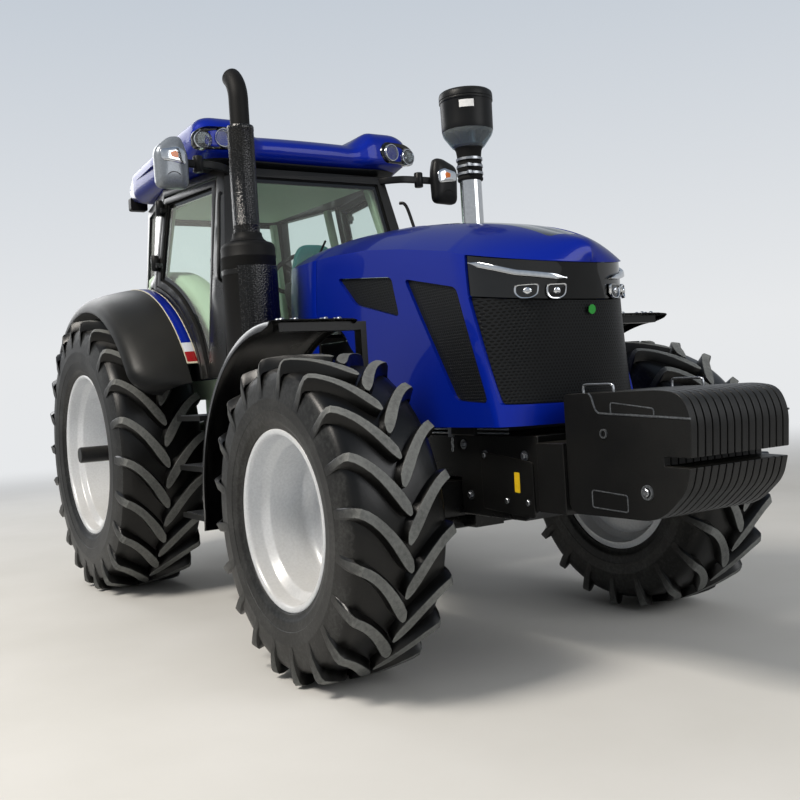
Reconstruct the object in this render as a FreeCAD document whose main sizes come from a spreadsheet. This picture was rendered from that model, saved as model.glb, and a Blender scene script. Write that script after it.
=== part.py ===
import FreeCAD, Part
import math
import os
from types import SimpleNamespace

import Sketcher
from FreeCAD import Rotation, Vector

# Farm tractor with four driven wheels, cab, ballasted nose and rear linkage.
# X points ahead, Y to the driver's left, Z up. The origin lies on the ground, below the
# middle of the whole machine. Millimetres and degrees.

doc = FreeCAD.newDocument("FarmTractor")
sheet = doc.addObject("Spreadsheet::Sheet", "Sizes")

# Driving dimensions. Places named x are counted ahead of the rear axle, places named y
# from the middle plane, places named z from the ground.
SIZES = [
    # name, value
    ("wheelbase", 3030), ("front_overhang", 1510), ("rear_overhang", 1200),
    ("running_gap", 0.3), ("panel_gap", 7), ("bore_fit", 0.05),
    # wheels
    ("rear_track", 1940), ("rear_tyre_radius", 940), ("rear_tyre_width", 572),
    ("rear_bead_radius", 533), ("rear_flange_radius", 553), ("rear_rim_width", 500),
    ("rear_disc_inset", 130), ("rear_well_depth", 42), ("rear_lug_depth", 50),
    ("rear_lug_count", 20), ("rear_lug_thickness", 62), ("rear_lug_reach", 127),
    ("front_track", 1995), ("front_tyre_radius", 724.5), ("front_tyre_width", 476),
    ("front_bead_radius", 381), ("front_flange_radius", 404), ("front_rim_width", 420),
    ("front_disc_inset", 120), ("front_well_depth", 36), ("front_lug_depth", 44),
    ("front_lug_count", 16), ("front_lug_thickness", 54), ("front_lug_reach", 115),
    ("lug_overlap", 14), ("rim_wall", 10), ("disc_thickness", 20), ("tread_shoulder", 60),
    # rear axle
    ("bar_axle_radius", 55), ("bar_axle_tip_y", 1272), ("bar_axle_root_y", 620),
    ("trumpet_tip_y", 690), ("trumpet_tip_radius", 105), ("trumpet_root_radius", 190),
    ("trumpet_root_y", 230), ("wedge_hub_radius", 150), ("wedge_hub_length", 110),
    # backbone
    ("transmission_half_width", 230), ("transmission_bottom_z", 560),
    ("transmission_top_z", 1160), ("transmission_rear_x", -300), ("transmission_front_x", 1700),
    ("engine_half_width", 290), ("engine_bottom_z", 660), ("engine_top_z", 1560),
    ("engine_rear_x", 1700), ("engine_front_x", 2820),
    ("frame_half_width", 290), ("frame_plate", 36), ("frame_bottom_z", 650),
    ("frame_top_z", 1030), ("frame_front_x", 3700), ("frame_rear_x", 1900),
    ("radiator_rear_x", 3120), ("radiator_front_x", 3300), ("radiator_half_width", 330),
    ("radiator_top_z", 1700),
    # front axle
    ("kingpin_y", 750), ("kingpin_radius", 25), ("knuckle_radius", 115),
    ("knuckle_half_height", 150), ("yoke_thickness", 45), ("yoke_half_width", 80),
    ("beam_half_height", 85), ("axle_pivot_radius", 38), ("spindle_radius", 85),
    ("spindle_tip_radius", 40), ("spindle_tip_length", 60), ("front_hub_radius", 130),
    ("front_hub_length", 70),
    ("steering_arm_length", 210), ("steering_arm_thickness", 28),
    ("cylinder_radius", 42), ("cylinder_half_length", 260), ("steering_rod_radius", 19),
    ("rod_end_y", 735),
    # front fenders
    ("front_fender_radius", 880), ("front_fender_sheet", 14), ("front_fender_inner_y", 790),
    ("front_fender_outer_y", 1232), ("front_fender_start", 86), ("front_fender_end", 188),
    # hood
    ("hood_rear_x", 2030), ("hood_half_width", 450), ("hood_top_half_width", 425),
    ("hood_rear_top_z", 2185), ("hood_rear_shoulder_z", 2025), ("hood_nose_x", 3800),
    ("hood_corner_x", 3430), ("hood_bottom_z", 1090), ("hood_wall", 22),
    ("hood_crown_half_width", 150), ("hood_hinge_z", 2205), ("hood_hinge_radius", 9),
    ("hinge_spread", 150), ("hinge_length", 35),
    # cowl and stacks
    ("cowl_front_x", 2015), ("cowl_rear_x", 1640), ("cowl_bottom_z", 1450),
    ("exhaust_x", 1750), ("exhaust_y", 700), ("exhaust_can_radius", 158),
    ("exhaust_can_bottom_z", 1240), ("exhaust_can_top_z", 2150), ("guard_radius", 76),
    ("guard_top_z", 2820), ("exhaust_pipe_radius", 56), ("exhaust_top_z", 3165),
    ("outlet_bend_radius", 180), ("outlet_turn", 55),
    ("intake_x", 2570), ("intake_y", 300), ("intake_pipe_radius", 62),
    ("cleaner_radius", 150), ("cleaner_bottom_z", 2570), ("cleaner_top_z", 2890),
    # cab
    ("cab_floor_z", 1270), ("cab_sill_z", 1400), ("cab_top_z", 2720), ("cab_wall", 50),
    ("cab_front_foot_x", 1510), ("cab_front_top_x", 1215), ("cab_rear_foot_x", -390),
    ("cab_rear_top_x", -350), ("post_x", 420), ("front_foot_half_width", 780),
    ("front_top_half_width", 583), ("post_foot_half_width", 905),
    ("post_top_half_width", 700), ("rear_foot_half_width", 650),
    ("rear_top_half_width", 550), ("glass_thickness", 8), ("glass_inset", 18),
    ("pillar_width", 60), ("door_frame", 42), ("door_top_z", 2655), ("door_foot_reach", 58),
    ("door_head_x", 1130), ("door_low_angle", 25.5), ("door_lift_gap", 14),
    ("base_half_width", 600),
    ("door_hinge_low_z", 2215), ("door_hinge_high_z", 2590), ("door_hinge_offset", 20),
    ("door_hinge_radius", 15), ("door_pin_radius", 6),
    # roof
    ("roof_front_x", 1290), ("roof_rear_x", -430), ("roof_half_width", 790),
    ("roof_rear_half_width", 680), ("roof_side_z", 2930),
    ("roof_top_z", 3000), ("lamp_radius", 62), ("lamp_length", 70),
    # rear fenders
    ("fender_centre_x", 70), ("fender_centre_drop", 110), ("fender_clearance", 310),
    ("fender_sheet", 24), ("fender_drop", 95), ("fender_outer_y", 1205),
    ("fender_shelf_y", 900), ("fender_stripe_y", 985), ("fender_start", 27),
    ("fender_end", 138), ("fender_lip", 70),
    # ballast
    ("plate_pitch", 40.6), ("plate_gap", 3), ("plate_count", 14), ("ballast_rear_x", 3870),
    ("ballast_front_x", 4540), ("ballast_top_z", 1207), ("ballast_bottom_z", 708),
    ("ballast_brow_arc", 130), ("ballast_chin_arc", 300), ("slot_depth", 140), ("slot_low", 212),
    ("slot_height", 36),
    ("hanger_top_z", 1000), ("hanger_bottom_z", 700), ("hanger_half_width", 300),
    # steps and tanks
    ("tank_rear_x", 1000), ("tank_front_x", 1560), ("tank_inner_y", 330),
    ("tank_outer_y", 740), ("tank_bottom_z", 560), ("tank_top_z", 1180),
    ("tank_corner", 60),
    ("step_outer_y", 960), ("step_length", 380), ("step_thickness", 30),
    # mirrors
    ("mirror_x", 1385), ("mirror_y", 985), ("mirror_z", 2680), ("mirror_width", 215),
    ("mirror_height", 320), ("mirror_depth", 80), ("mirror_arm_radius", 16),
    ("mirror_corner", 55),
    # inside the cab
    ("seat_x", 330), ("seat_z", 1760), ("seat_width", 520), ("seat_depth", 500),
    ("seat_back_height", 620), ("column_x", 1120), ("wheel_radius", 205),
    ("wheel_grip_radius", 16), ("wheel_hub_z", 1990), ("console_inset", 140),
    ("console_gap", 20),
    # rear linkage
    ("link_pivot_x", -120), ("link_pivot_z", 500), ("link_y", 300), ("link_end_z", 620),
    ("link_height", 80), ("link_thickness", 34), ("link_ball_radius", 45),
    ("link_eye_radius", 18.6), ("link_shaft_radius", 20),
    ("lift_shaft_x", -230), ("lift_shaft_z", 1080),
    ("lift_shaft_radius", 45), ("lift_arm_length", 330), ("lift_rod_radius", 22),
    ("drawbar_z", 400), ("drawbar_width", 90), ("drawbar_thickness", 38),
    ("drawbar_rear_x", -860), ("drawbar_hole_radius", 16.5), ("drawbar_hole_inset", 60),
    ("pto_z", 690), ("pto_radius", 17.4), ("pto_length", 75), ("pto_guard_half_width", 150),
]


class Size:
    """A number together with the formula that gives it from the sheet."""

    def __init__(self, value, text):
        self.value = float(value)
        self.text = text

    def __add__(self, other):
        other = as_size(other)
        return Size(self.value + other.value, f"({self.text} + {other.text})")

    def __sub__(self, other):
        other = as_size(other)
        return Size(self.value - other.value, f"({self.text} - {other.text})")

    def __mul__(self, other):
        other = as_size(other)
        return Size(self.value * other.value, f"{self.text} * {other.text}")

    def __truediv__(self, other):
        other = as_size(other)
        return Size(self.value / other.value, f"{self.text} / ({other.text})")

    def __neg__(self):
        return Size(-self.value, f"(0 - {self.text})")

    def __radd__(self, other):
        return as_size(other) + self

    def __rsub__(self, other):
        return as_size(other) - self

    def __rmul__(self, other):
        return as_size(other) * self

    def __float__(self):
        return self.value


def as_size(number):
    """A plain number becomes a size whose formula is the number itself."""
    return number if isinstance(number, Size) else Size(number, f"({float(number):.6g})")


s = SimpleNamespace()
for row, (name, value) in enumerate(SIZES, start=1):
    sheet.set(f"A{row}", name)
    sheet.set(f"B{row}", str(value))
    sheet.setAlias(f"B{row}", name)
    setattr(s, name, Size(value, f"Sizes.{name}"))
doc.recompute()

nodes = {}


def bind(thing, path, size):
    """Tie a property to its formula in the sheet."""
    thing.setExpression(path, as_size(size).text)


def put(thing, at, turn=None):
    """Turn an object, then bind the three coordinates of its base."""
    if turn is not None:
        thing.Placement = FreeCAD.Placement(Vector(0, 0, 0), turn)
    for axis, value in zip("xyz", at):
        bind(thing, f"Placement.Base.{axis}", value)
    return thing


def ahead(x):
    """Place along the machine, from a distance ahead of the rear axle."""
    return s.rear_overhang - (s.wheelbase + s.front_overhang + s.rear_overhang) / 2 + x


ALONG = {"x": Rotation(Vector(0, 1, 0), 90), "y": Rotation(Vector(1, 0, 0), -90), "z": None}
PLANES = {"xy": "XY_Plane", "xz": "XZ_Plane", "yz": "YZ_Plane"}


def box(name, start, end):
    """Block between two opposite corners."""
    solid = doc.addObject("Part::Box", name)
    for prop, low, high in zip(("Length", "Width", "Height"), start, end):
        bind(solid, prop, as_size(high) - low)
    return put(solid, start)


def cylinder(name, radius, length, at, along="z"):
    """Round bar from a point along one axis."""
    solid = doc.addObject("Part::Cylinder", name)
    bind(solid, "Radius", radius)
    bind(solid, "Height", length)
    return put(solid, at, ALONG[along])


def sketch_on(body, name, plane, offset):
    """Sketch on one of the body's own planes, moved along its normal."""
    sketch = body.newObject("Sketcher::SketchObject", name)
    origin_plane = next(f for f in body.Origin.OriginFeatures if f.Role == PLANES[plane])
    sketch.AttachmentSupport = (origin_plane, [""])
    sketch.MapMode = "FlatFace"
    bind(sketch, "AttachmentOffset.Base.z", offset)
    return sketch


def pin_point(sketch, geometry, corner, u, v):
    """Fix one point of the sketch by its two distances from the origin."""
    for kind, size in (("DistanceX", u), ("DistanceY", v)):
        size = as_size(size)
        row = sketch.addConstraint(Sketcher.Constraint(kind, -1, 1, geometry, corner, size.value))
        sketch.setExpression(f"Constraints[{row}]", size.text)


def arc_through(start, end, radius):
    """Arc between two points: a positive radius turns left, a negative one right."""
    chord = end - start
    middle = (start + end) * 0.5
    rise = math.sqrt(radius ** 2 - (chord.Length / 2) ** 2)
    side = Vector(-chord.y, chord.x, 0).normalize()
    centre = middle + side * (rise if radius > 0 else -rise)
    first, last = (start, end) if radius > 0 else (end, start)
    angles = [math.atan2(p.y - centre.y, p.x - centre.x) for p in (first, last)]
    circle = Part.Circle(centre, Vector(0, 0, 1), abs(radius))
    return Part.ArcOfCircle(circle, angles[0], angles[1])


def outline(sketch, points):
    """Closed outline of rows (u, v) or (u, v, radius of the arc to the next point)."""
    first = sketch.GeometryCount
    flat = [Vector(float(p[0]), float(p[1]), 0) for p in points]
    ends = []
    for k, point in enumerate(points):
        start, end = flat[k], flat[(k + 1) % len(points)]
        if len(point) == 2:
            sketch.addGeometry(Part.LineSegment(start, end), False)
            ends.append((1, 2))
        else:
            radius = as_size(point[2])
            sketch.addGeometry(arc_through(start, end, radius.value), False)
            row = sketch.addConstraint(Sketcher.Constraint("Radius", first + k, abs(radius.value)))
            size = radius if radius.value > 0 else -radius
            sketch.setExpression(f"Constraints[{row}]", size.text)
            ends.append((1, 2) if radius.value > 0 else (2, 1))
    for k, point in enumerate(points):
        after = (k + 1) % len(points)
        sketch.addConstraint(
            Sketcher.Constraint("Coincident", first + k, ends[k][1], first + after, ends[after][0]))
        pin_point(sketch, first + k, ends[k][0], point[0], point[1])


def soft_rectangle(low, high, corner):
    """Rows of a rectangle between two opposite corners, each corner a quarter round."""
    (left, foot), (right, top) = low, high
    return [(left + corner, foot), (right - corner, foot, corner), (right, foot + corner),
            (right, top - corner, corner), (right - corner, top), (left + corner, top, corner),
            (left, top - corner), (left, foot + corner, corner)]


def ring(sketch, u, v, radius):
    """Full circle, for a round plate or a round hole."""
    radius = as_size(radius)
    circle = Part.Circle(Vector(float(u), float(v), 0), Vector(0, 0, 1), radius.value)
    geometry = sketch.addGeometry(circle, False)
    row = sketch.addConstraint(Sketcher.Constraint("Radius", geometry, radius.value))
    sketch.setExpression(f"Constraints[{row}]", radius.text)
    pin_point(sketch, geometry, 3, u, v)


def slab(name, plane, points, start, end, holes=(), at=(0, 0, 0)):
    """Plate cut to an outline on a plane, between two places along the third axis."""
    body = doc.addObject("PartDesign::Body", name)
    offset = -as_size(end) if plane == "xz" else as_size(start)
    sketch = sketch_on(body, name + "_outline", plane, offset)
    outline(sketch, points)
    for hole in holes:
        if len(hole) == 3:
            ring(sketch, *hole)
        else:
            outline(sketch, hole)
    pad = body.newObject("PartDesign::Pad", name + "_pad")
    pad.Profile = sketch
    bind(pad, "Length", as_size(end) - start)
    return put(body, at)


def turned(name, points, at, along="y"):
    """Body of revolution: rows are (place along the axis, radius)."""
    body = doc.addObject("PartDesign::Body", name)
    plane, axis = {"y": ("yz", "H_Axis"), "z": ("xz", "V_Axis"), "x": ("xz", "H_Axis")}[along]
    sketch = sketch_on(body, name + "_profile", plane, 0)
    rows = [(p[1], p[0], *p[2:]) if along == "z" else p for p in points]
    outline(sketch, rows)
    revolution = body.newObject("PartDesign::Revolution", name + "_turn")
    revolution.Profile = sketch
    revolution.ReferenceAxis = (sketch, [axis])
    revolution.Angle = 360
    return put(body, at)


def lofted(name, plane, sections, at=(0, 0, 0)):
    """Body between flat sections, given as rows (place along the normal, outline)."""
    body = doc.addObject("PartDesign::Body", name)
    sketches = []
    for number, (place, points) in enumerate(sections):
        offset = -as_size(place) if plane == "xz" else place
        sketch = sketch_on(body, f"{name}_section_{number}", plane, offset)
        outline(sketch, points)
        sketches.append(sketch)
    loft = body.newObject("PartDesign::AdditiveLoft", name + "_loft")
    loft.Profile = sketches[0]
    loft.Sections = sketches[1:]
    loft.Ruled = True
    return put(body, at)


def cut(name, base, *tools):
    """Base with every tool taken out of it."""
    result = doc.addObject("Part::Cut", name)
    result.Base = base
    result.Tool = tools[0] if len(tools) == 1 else fuse(name + "_tools", *tools)
    return result


def common(name, base, tool):
    """What two bodies share."""
    result = doc.addObject("Part::Common", name)
    result.Base = base
    result.Tool = tool
    return result


def fuse(name, *parts):
    """Several bodies joined to one."""
    result = doc.addObject("Part::MultiFuse", name)
    result.Shapes = list(parts)
    return result


def mirror(name, source):
    """The same piece on the other side of the middle plane."""
    result = doc.addObject("Part::Mirroring", name)
    result.Source = source
    result.Base = Vector(0, 0, 0)
    result.Normal = Vector(0, 1, 0)
    return result


def node(label, thing):
    """A finished sub-part, written to its own file."""
    thing.Label = label
    nodes[label] = thing
    return thing


def pair(label, left):
    """A sub-part on the left and its mirror image on the right."""
    node(label + "_left", left)
    node(label + "_right", mirror(label + "_mirror", left))


def both_sides(name, left):
    """One body of a piece and its mirror image."""
    return fuse(name, left, mirror(name + "_other", left))


rear_x = ahead(as_size(0))
front_x = ahead(s.wheelbase)
rear_z = s.rear_tyre_radius
front_z = s.front_tyre_radius
fender_radius = s.rear_tyre_radius + s.fender_clearance
fender_centre_z = s.rear_tyre_radius - s.fender_centre_drop


def polar(radius, angle):
    """Two coordinates of a point at a radius and an angle, in degrees."""
    radius, angle = as_size(radius), as_size(angle)
    value = math.radians(angle.value)
    return (Size(radius.value * math.cos(value), f"{radius.text} * cos({angle.text} * 1 deg)"),
            Size(radius.value * math.sin(value), f"{radius.text} * sin({angle.text} * 1 deg)"))


# Tyres: a many-sided carcass with a row of bars on each half, half a pitch apart.
def lug_row(body, name, end, side):
    """One slanted bar from the middle to a shoulder, repeated all round the wheel."""
    half = getattr(s, end + "_tyre_width") / 2
    radius = getattr(s, end + "_tyre_radius")
    thick = getattr(s, end + "_lug_thickness")
    reach = getattr(s, end + "_lug_reach")
    depth = getattr(s, end + "_lug_depth")
    count = getattr(s, end + "_lug_count")
    points = [(reach - thick * 1.25, -s.lug_overlap), (reach, -s.lug_overlap),
              (-reach + thick, half - 3), (-reach, half - 3)]
    points = [(u, v * side) for u, v in points][::side]
    height = Size(math.sqrt(radius.value ** 2 - reach.value ** 2),
                  f"sqrt({radius.text} * {radius.text} - {reach.text} * {reach.text})")
    foot = radius - depth * 2.6
    turn = as_size(90 * (1 - side)) / count
    foot_z, foot_x = polar(foot, turn)
    sketch = sketch_on(body, name + "_outline", "xy", foot_z)
    sketch.AttachmentOffset = FreeCAD.Placement(Vector(0, 0, 0),
                                                Rotation(Vector(0, 1, 0), turn.value))
    bind(sketch, "AttachmentOffset.Base.x", foot_x)
    outline(sketch, points)
    pad = body.newObject("PartDesign::Pad", name + "_lug")
    pad.Profile = sketch
    bind(pad, "Length", height - foot)
    row = body.newObject("PartDesign::PolarPattern", name + "_row")
    row.Originals = [pad]
    axis = next(f for f in body.Origin.OriginFeatures if f.Role == "Y_Axis")
    row.Axis = (axis, [""])
    row.Angle = 360
    bind(row, "Occurrences", count)
    body.Tip = row


def tyre(name, end, track, at_x):
    """Carcass with sloped shoulders, turned so that the corner of a bar stands on the ground."""
    half = getattr(s, end + "_tyre_width") / 2
    radius = getattr(s, end + "_tyre_radius")
    flange = getattr(s, end + "_flange_radius") + s.running_gap
    depth = getattr(s, end + "_lug_depth")
    reach = getattr(s, end + "_lug_reach")
    count = int(getattr(s, end + "_lug_count").value)
    corners = [polar(radius - depth, as_size(90 + 360 / count * (k + 0.5))) for k in range(count)]
    body = slab(name, "xz", corners, -half, half)
    body.recompute(True)
    block = body.Tip
    shoulder = body.newObject("PartDesign::Chamfer", name + "_shoulder")
    shoulder.Base = (block, [f"Face{count + 1}", f"Face{count + 2}"])
    bind(shoulder, "Size", s.tread_shoulder)
    body.Tip = shoulder
    seat = sketch_on(body, name + "_seat_outline", "xz", -half)
    ring(seat, 0, 0, flange)
    hole = body.newObject("PartDesign::Pocket", name + "_seat")
    hole.Profile = seat
    hole.Reversed = True
    bind(hole, "Length", half * 2)
    body.Tip = hole
    lug_row(body, name + "_outer", end, 1)
    lug_row(body, name + "_inner", end, -1)
    tilt = math.degrees(math.asin(reach.value / radius.value))
    return put(body, (at_x, track / 2, radius), Rotation(Vector(0, 1, 0), tilt))


def rim(name, end, track, at_x, bore):
    """Deep dish: barrel with its well, and a disc far inside."""
    half = getattr(s, end + "_rim_width") / 2
    seat = getattr(s, end + "_bead_radius")
    flange = getattr(s, end + "_flange_radius")
    well = seat - getattr(s, end + "_well_depth")
    disc = -getattr(s, end + "_disc_inset")
    wall = s.rim_wall
    profile = [
        (-half, flange), (-half + wall, flange), (-half + wall, seat), (-half + 75, seat),
        (-half + 95, well), (half - 95, well), (half - 75, seat), (half - wall, seat),
        (half - wall, flange), (half, flange), (half, seat - wall), (half - 78, seat - wall),
        (half - 98, well - wall), (disc + s.disc_thickness + 40, well - wall),
        (disc + s.disc_thickness, well - 70), (disc + s.disc_thickness, bore),
        (disc, bore), (disc, well - 70), (disc + 10, well - wall),
        (-half + 98, well - wall), (-half + 78, seat - wall), (-half, seat - wall),
    ]
    return turned(name, profile, (at_x, track / 2, getattr(s, end + "_tyre_radius")))


pair("rear_tyre", tyre("rear_tyre_body", "rear", s.rear_track, rear_x))
pair("front_tyre", tyre("front_tyre_body", "front", s.front_track, front_x))
pair("rear_rim", rim("rear_rim_body", "rear", s.rear_track, rear_x, s.bar_axle_radius + s.bore_fit))
front_dish = rim("front_rim_body", "front", s.front_track, front_x,
                 s.spindle_tip_radius + s.bore_fit)
front_disc_y = s.front_track / 2 - s.front_disc_inset
hub_profile = [
    (0, s.spindle_tip_radius + s.bore_fit), (0, s.front_hub_radius),
    (s.front_hub_length - 15, s.front_hub_radius - 12),
    (s.front_hub_length, s.front_hub_radius - 40), (s.front_hub_length, 0),
    (s.spindle_tip_length - s.disc_thickness + 3, 0),
    (s.spindle_tip_length - s.disc_thickness + 3, s.spindle_tip_radius + s.bore_fit),
]
front_hub = turned("front_hub_body", hub_profile,
                   (front_x, front_disc_y + s.disc_thickness, front_z))
pair("front_rim", fuse("front_rim", front_dish, front_hub))

# Rear axle: bars turn with the wheels in trumpet housings, with a wedge hub at each disc.
disc_y = s.rear_track / 2 - s.rear_disc_inset
bar_profile = [
    (s.bar_axle_root_y, 0), (s.bar_axle_root_y, s.bar_axle_radius),
    (disc_y - s.wedge_hub_length, s.bar_axle_radius),
    (disc_y - s.wedge_hub_length, s.wedge_hub_radius - 30),
    (disc_y - 20, s.wedge_hub_radius), (disc_y, s.wedge_hub_radius),
    (disc_y, s.bar_axle_radius), (s.bar_axle_tip_y - 6, s.bar_axle_radius),
    (s.bar_axle_tip_y, s.bar_axle_radius - 6), (s.bar_axle_tip_y, 0),
]
pair("rear_axle_bar", turned("rear_axle_bar_body", bar_profile, (rear_x, 0, rear_z)))
trumpet_profile = [
    (s.transmission_half_width, 0), (s.transmission_half_width, s.trumpet_root_radius),
    (s.trumpet_root_y + 60, s.trumpet_root_radius), (s.trumpet_tip_y - 60, s.trumpet_tip_radius),
    (s.trumpet_tip_y - 60, s.trumpet_tip_radius + 25), (s.trumpet_tip_y, s.trumpet_tip_radius + 25),
    (s.trumpet_tip_y, s.bar_axle_radius + s.bore_fit),
    (s.bar_axle_root_y - 10, s.bar_axle_radius + s.bore_fit), (s.bar_axle_root_y - 10, 0),
]
trumpet = turned("trumpet_body", trumpet_profile, (rear_x, 0, rear_z))
node("rear_axle_housing", both_sides("rear_axle_housing", trumpet))

# Backbone: transmission, engine and the front frame that carries the front axle.
gearbox_points = [
    (ahead(s.transmission_rear_x), s.transmission_bottom_z + 60),
    (ahead(s.transmission_rear_x) + 70, s.transmission_bottom_z),
    (ahead(s.transmission_front_x), s.transmission_bottom_z + 90),
    (ahead(s.transmission_front_x), s.transmission_top_z - 80),
    (ahead(s.transmission_rear_x), s.transmission_top_z),
]
gearbox = slab("gearbox", "xz", gearbox_points,
               -s.transmission_half_width, s.transmission_half_width)
engine = box("engine", (ahead(s.engine_rear_x), -s.engine_half_width + s.frame_plate,
                        s.engine_bottom_z),
             (ahead(s.engine_front_x), s.engine_half_width - s.frame_plate, s.engine_top_z))
node("engine_block", engine)
frame_outer = [
    (ahead(s.frame_rear_x), s.frame_top_z - 120), (ahead(s.frame_rear_x) + 160, s.frame_top_z),
    (ahead(s.frame_front_x), s.frame_top_z), (ahead(s.frame_front_x), s.frame_bottom_z + 60),
    (ahead(s.frame_front_x) - 120, s.frame_bottom_z), (ahead(s.frame_rear_x) + 60, s.frame_bottom_z),
    (ahead(s.frame_rear_x), s.frame_bottom_z + 60),
]
axle_notch = [
    (front_x - s.yoke_half_width - 14, s.frame_bottom_z - 5),
    (front_x + s.yoke_half_width + 14, s.frame_bottom_z - 5),
    (front_x + s.yoke_half_width + 14, front_z + s.beam_half_height + 14),
    (front_x - s.yoke_half_width - 14, front_z + s.beam_half_height + 14),
]
frame_block = slab("frame_block", "xz", frame_outer, -s.frame_half_width, s.frame_half_width)
frame_gap = box("frame_gap",
                (ahead(s.frame_rear_x) - 10, -s.frame_half_width + s.frame_plate,
                 s.frame_bottom_z - 10),
                (ahead(s.engine_front_x) + 60, s.frame_half_width - s.frame_plate,
                 s.frame_top_z + 10))
frame_notch = slab("frame_notch", "xz", axle_notch, -s.frame_half_width - 5,
                   s.frame_half_width + 5)
axle_pivot = cylinder("axle_pivot", s.axle_pivot_radius, s.yoke_half_width * 2 + 80,
                      (front_x - s.yoke_half_width - 40, 0, front_z), "x")
frame_solid = cut("frame_solid", frame_block, frame_gap, frame_notch)
node("front_frame", fuse("front_frame", frame_solid, axle_pivot))
radiator = box("radiator", (ahead(s.radiator_rear_x), -s.radiator_half_width, s.frame_top_z),
               (ahead(s.radiator_front_x), s.radiator_half_width, s.radiator_top_z))
node("radiator_pack", radiator)

# Front axle: a beam with a yoke at each end, where a knuckle turns on its kingpins.
yoke_high = s.knuckle_half_height + s.running_gap + s.yoke_thickness
yoke_low = s.knuckle_half_height + s.running_gap
web_y = s.kingpin_y - s.knuckle_radius - 12
beam_points = [
    (-web_y + 90, -s.beam_half_height), (web_y - 90, -s.beam_half_height),
    (web_y - 45, -yoke_high), (s.kingpin_y + 58, -yoke_high), (s.kingpin_y + 58, -yoke_low),
    (web_y, -yoke_low), (web_y, yoke_low), (s.kingpin_y + 58, yoke_low),
    (s.kingpin_y + 58, yoke_high), (web_y - 45, yoke_high), (web_y - 90, s.beam_half_height),
    (-web_y + 90, s.beam_half_height), (-web_y + 45, yoke_high),
    (-s.kingpin_y - 58, yoke_high), (-s.kingpin_y - 58, yoke_low), (-web_y, yoke_low),
    (-web_y, -yoke_low), (-s.kingpin_y - 58, -yoke_low), (-s.kingpin_y - 58, -yoke_high),
    (-web_y + 45, -yoke_high),
]
beam = slab("axle_beam", "yz", beam_points, -s.yoke_half_width, s.yoke_half_width,
            at=(front_x, 0, front_z))
kingpin_bore = cylinder("kingpin_bore", s.kingpin_radius + s.bore_fit, yoke_high * 2 + 20,
                        (front_x, s.kingpin_y, front_z - yoke_high - 10))
pivot_bore = cylinder("pivot_bore", s.axle_pivot_radius + s.bore_fit,
                      s.yoke_half_width * 2 + 20, (front_x - s.yoke_half_width - 10, 0, front_z),
                      "x")
node("front_axle_beam", cut("front_axle_beam", beam, both_sides("kingpin_bores", kingpin_bore),
                            pivot_bore))

knuckle_drum = cylinder("knuckle_drum", s.knuckle_radius, s.knuckle_half_height * 2,
                        (front_x, s.kingpin_y, front_z - s.knuckle_half_height))
kingpin = cylinder("kingpin", s.kingpin_radius, yoke_high * 2,
                   (front_x, s.kingpin_y, front_z - yoke_high))
spindle_face_y = front_disc_y - s.running_gap
spindle = cylinder("spindle", s.spindle_radius, spindle_face_y - s.kingpin_y,
                   (front_x, s.kingpin_y, front_z), "y")
spindle_tip = cylinder("spindle_tip", s.spindle_tip_radius,
                       spindle_face_y - s.kingpin_y + s.spindle_tip_length,
                       (front_x, s.kingpin_y, front_z), "y")
arm_z = front_z - s.knuckle_half_height + s.steering_arm_thickness * 2
steering_arm = box("steering_arm",
                   (front_x - s.steering_arm_length - 30, s.kingpin_y - 45,
                    arm_z - s.steering_arm_thickness),
                   (front_x - s.knuckle_radius + 30, s.kingpin_y + 15, arm_z))


def sector(name, centre, radius, start, end, low_y, high_y):
    """Wedge of a disc seen from the side: its corners lie on two rays and an arc."""
    corners = [(centre[0] + polar(radius, angle)[0], centre[1] + polar(radius, angle)[1])
               for angle in (start, end)]
    return slab(name, "xz", [centre, (*corners[0], radius), corners[1]], low_y, high_y)


# Front fenders ride on the knuckles and turn with the wheels.
front_centre = (front_x, front_z)
front_outside = sector("front_fender_sector", front_centre, s.front_fender_radius,
                       s.front_fender_start, s.front_fender_end,
                       s.front_fender_inner_y, s.front_fender_outer_y)
front_inside = cylinder("front_fender_hollow", s.front_fender_radius - s.front_fender_sheet,
                        s.front_fender_outer_y - s.front_fender_inner_y + 20,
                        (front_x, s.front_fender_inner_y - 10, front_z), "y")
front_fender_skin = cut("front_fender_skin", front_outside, front_inside)
bracket_z = front_z + s.front_fender_radius - s.front_fender_sheet
stay_post = box("fender_stay_post",
                (front_x - 30, s.front_fender_inner_y - 62, front_z + yoke_high + 12),
                (front_x + 30, s.front_fender_inner_y - 32, bracket_z - 40))
stay_top = box("fender_stay_top",
               (front_x - 30, s.front_fender_inner_y - 62, bracket_z - 40),
               (front_x + 30, s.front_fender_outer_y - 60, bracket_z - 0.8))
stay_foot = box("fender_stay_foot",
                (front_x - 30, s.kingpin_y - 22, front_z + yoke_high + 12),
                (front_x + 30, s.front_fender_inner_y - 32, front_z + yoke_high + 32))
stay_pin = cylinder("fender_stay_pin", s.kingpin_radius, 34,
                    (front_x, s.kingpin_y, front_z + yoke_high - 2))
pair("front_fender", front_fender_skin)
pair("knuckle", fuse("knuckle", knuckle_drum, kingpin, spindle, spindle_tip, steering_arm,
                     stay_pin, stay_foot, stay_post, stay_top))

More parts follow.
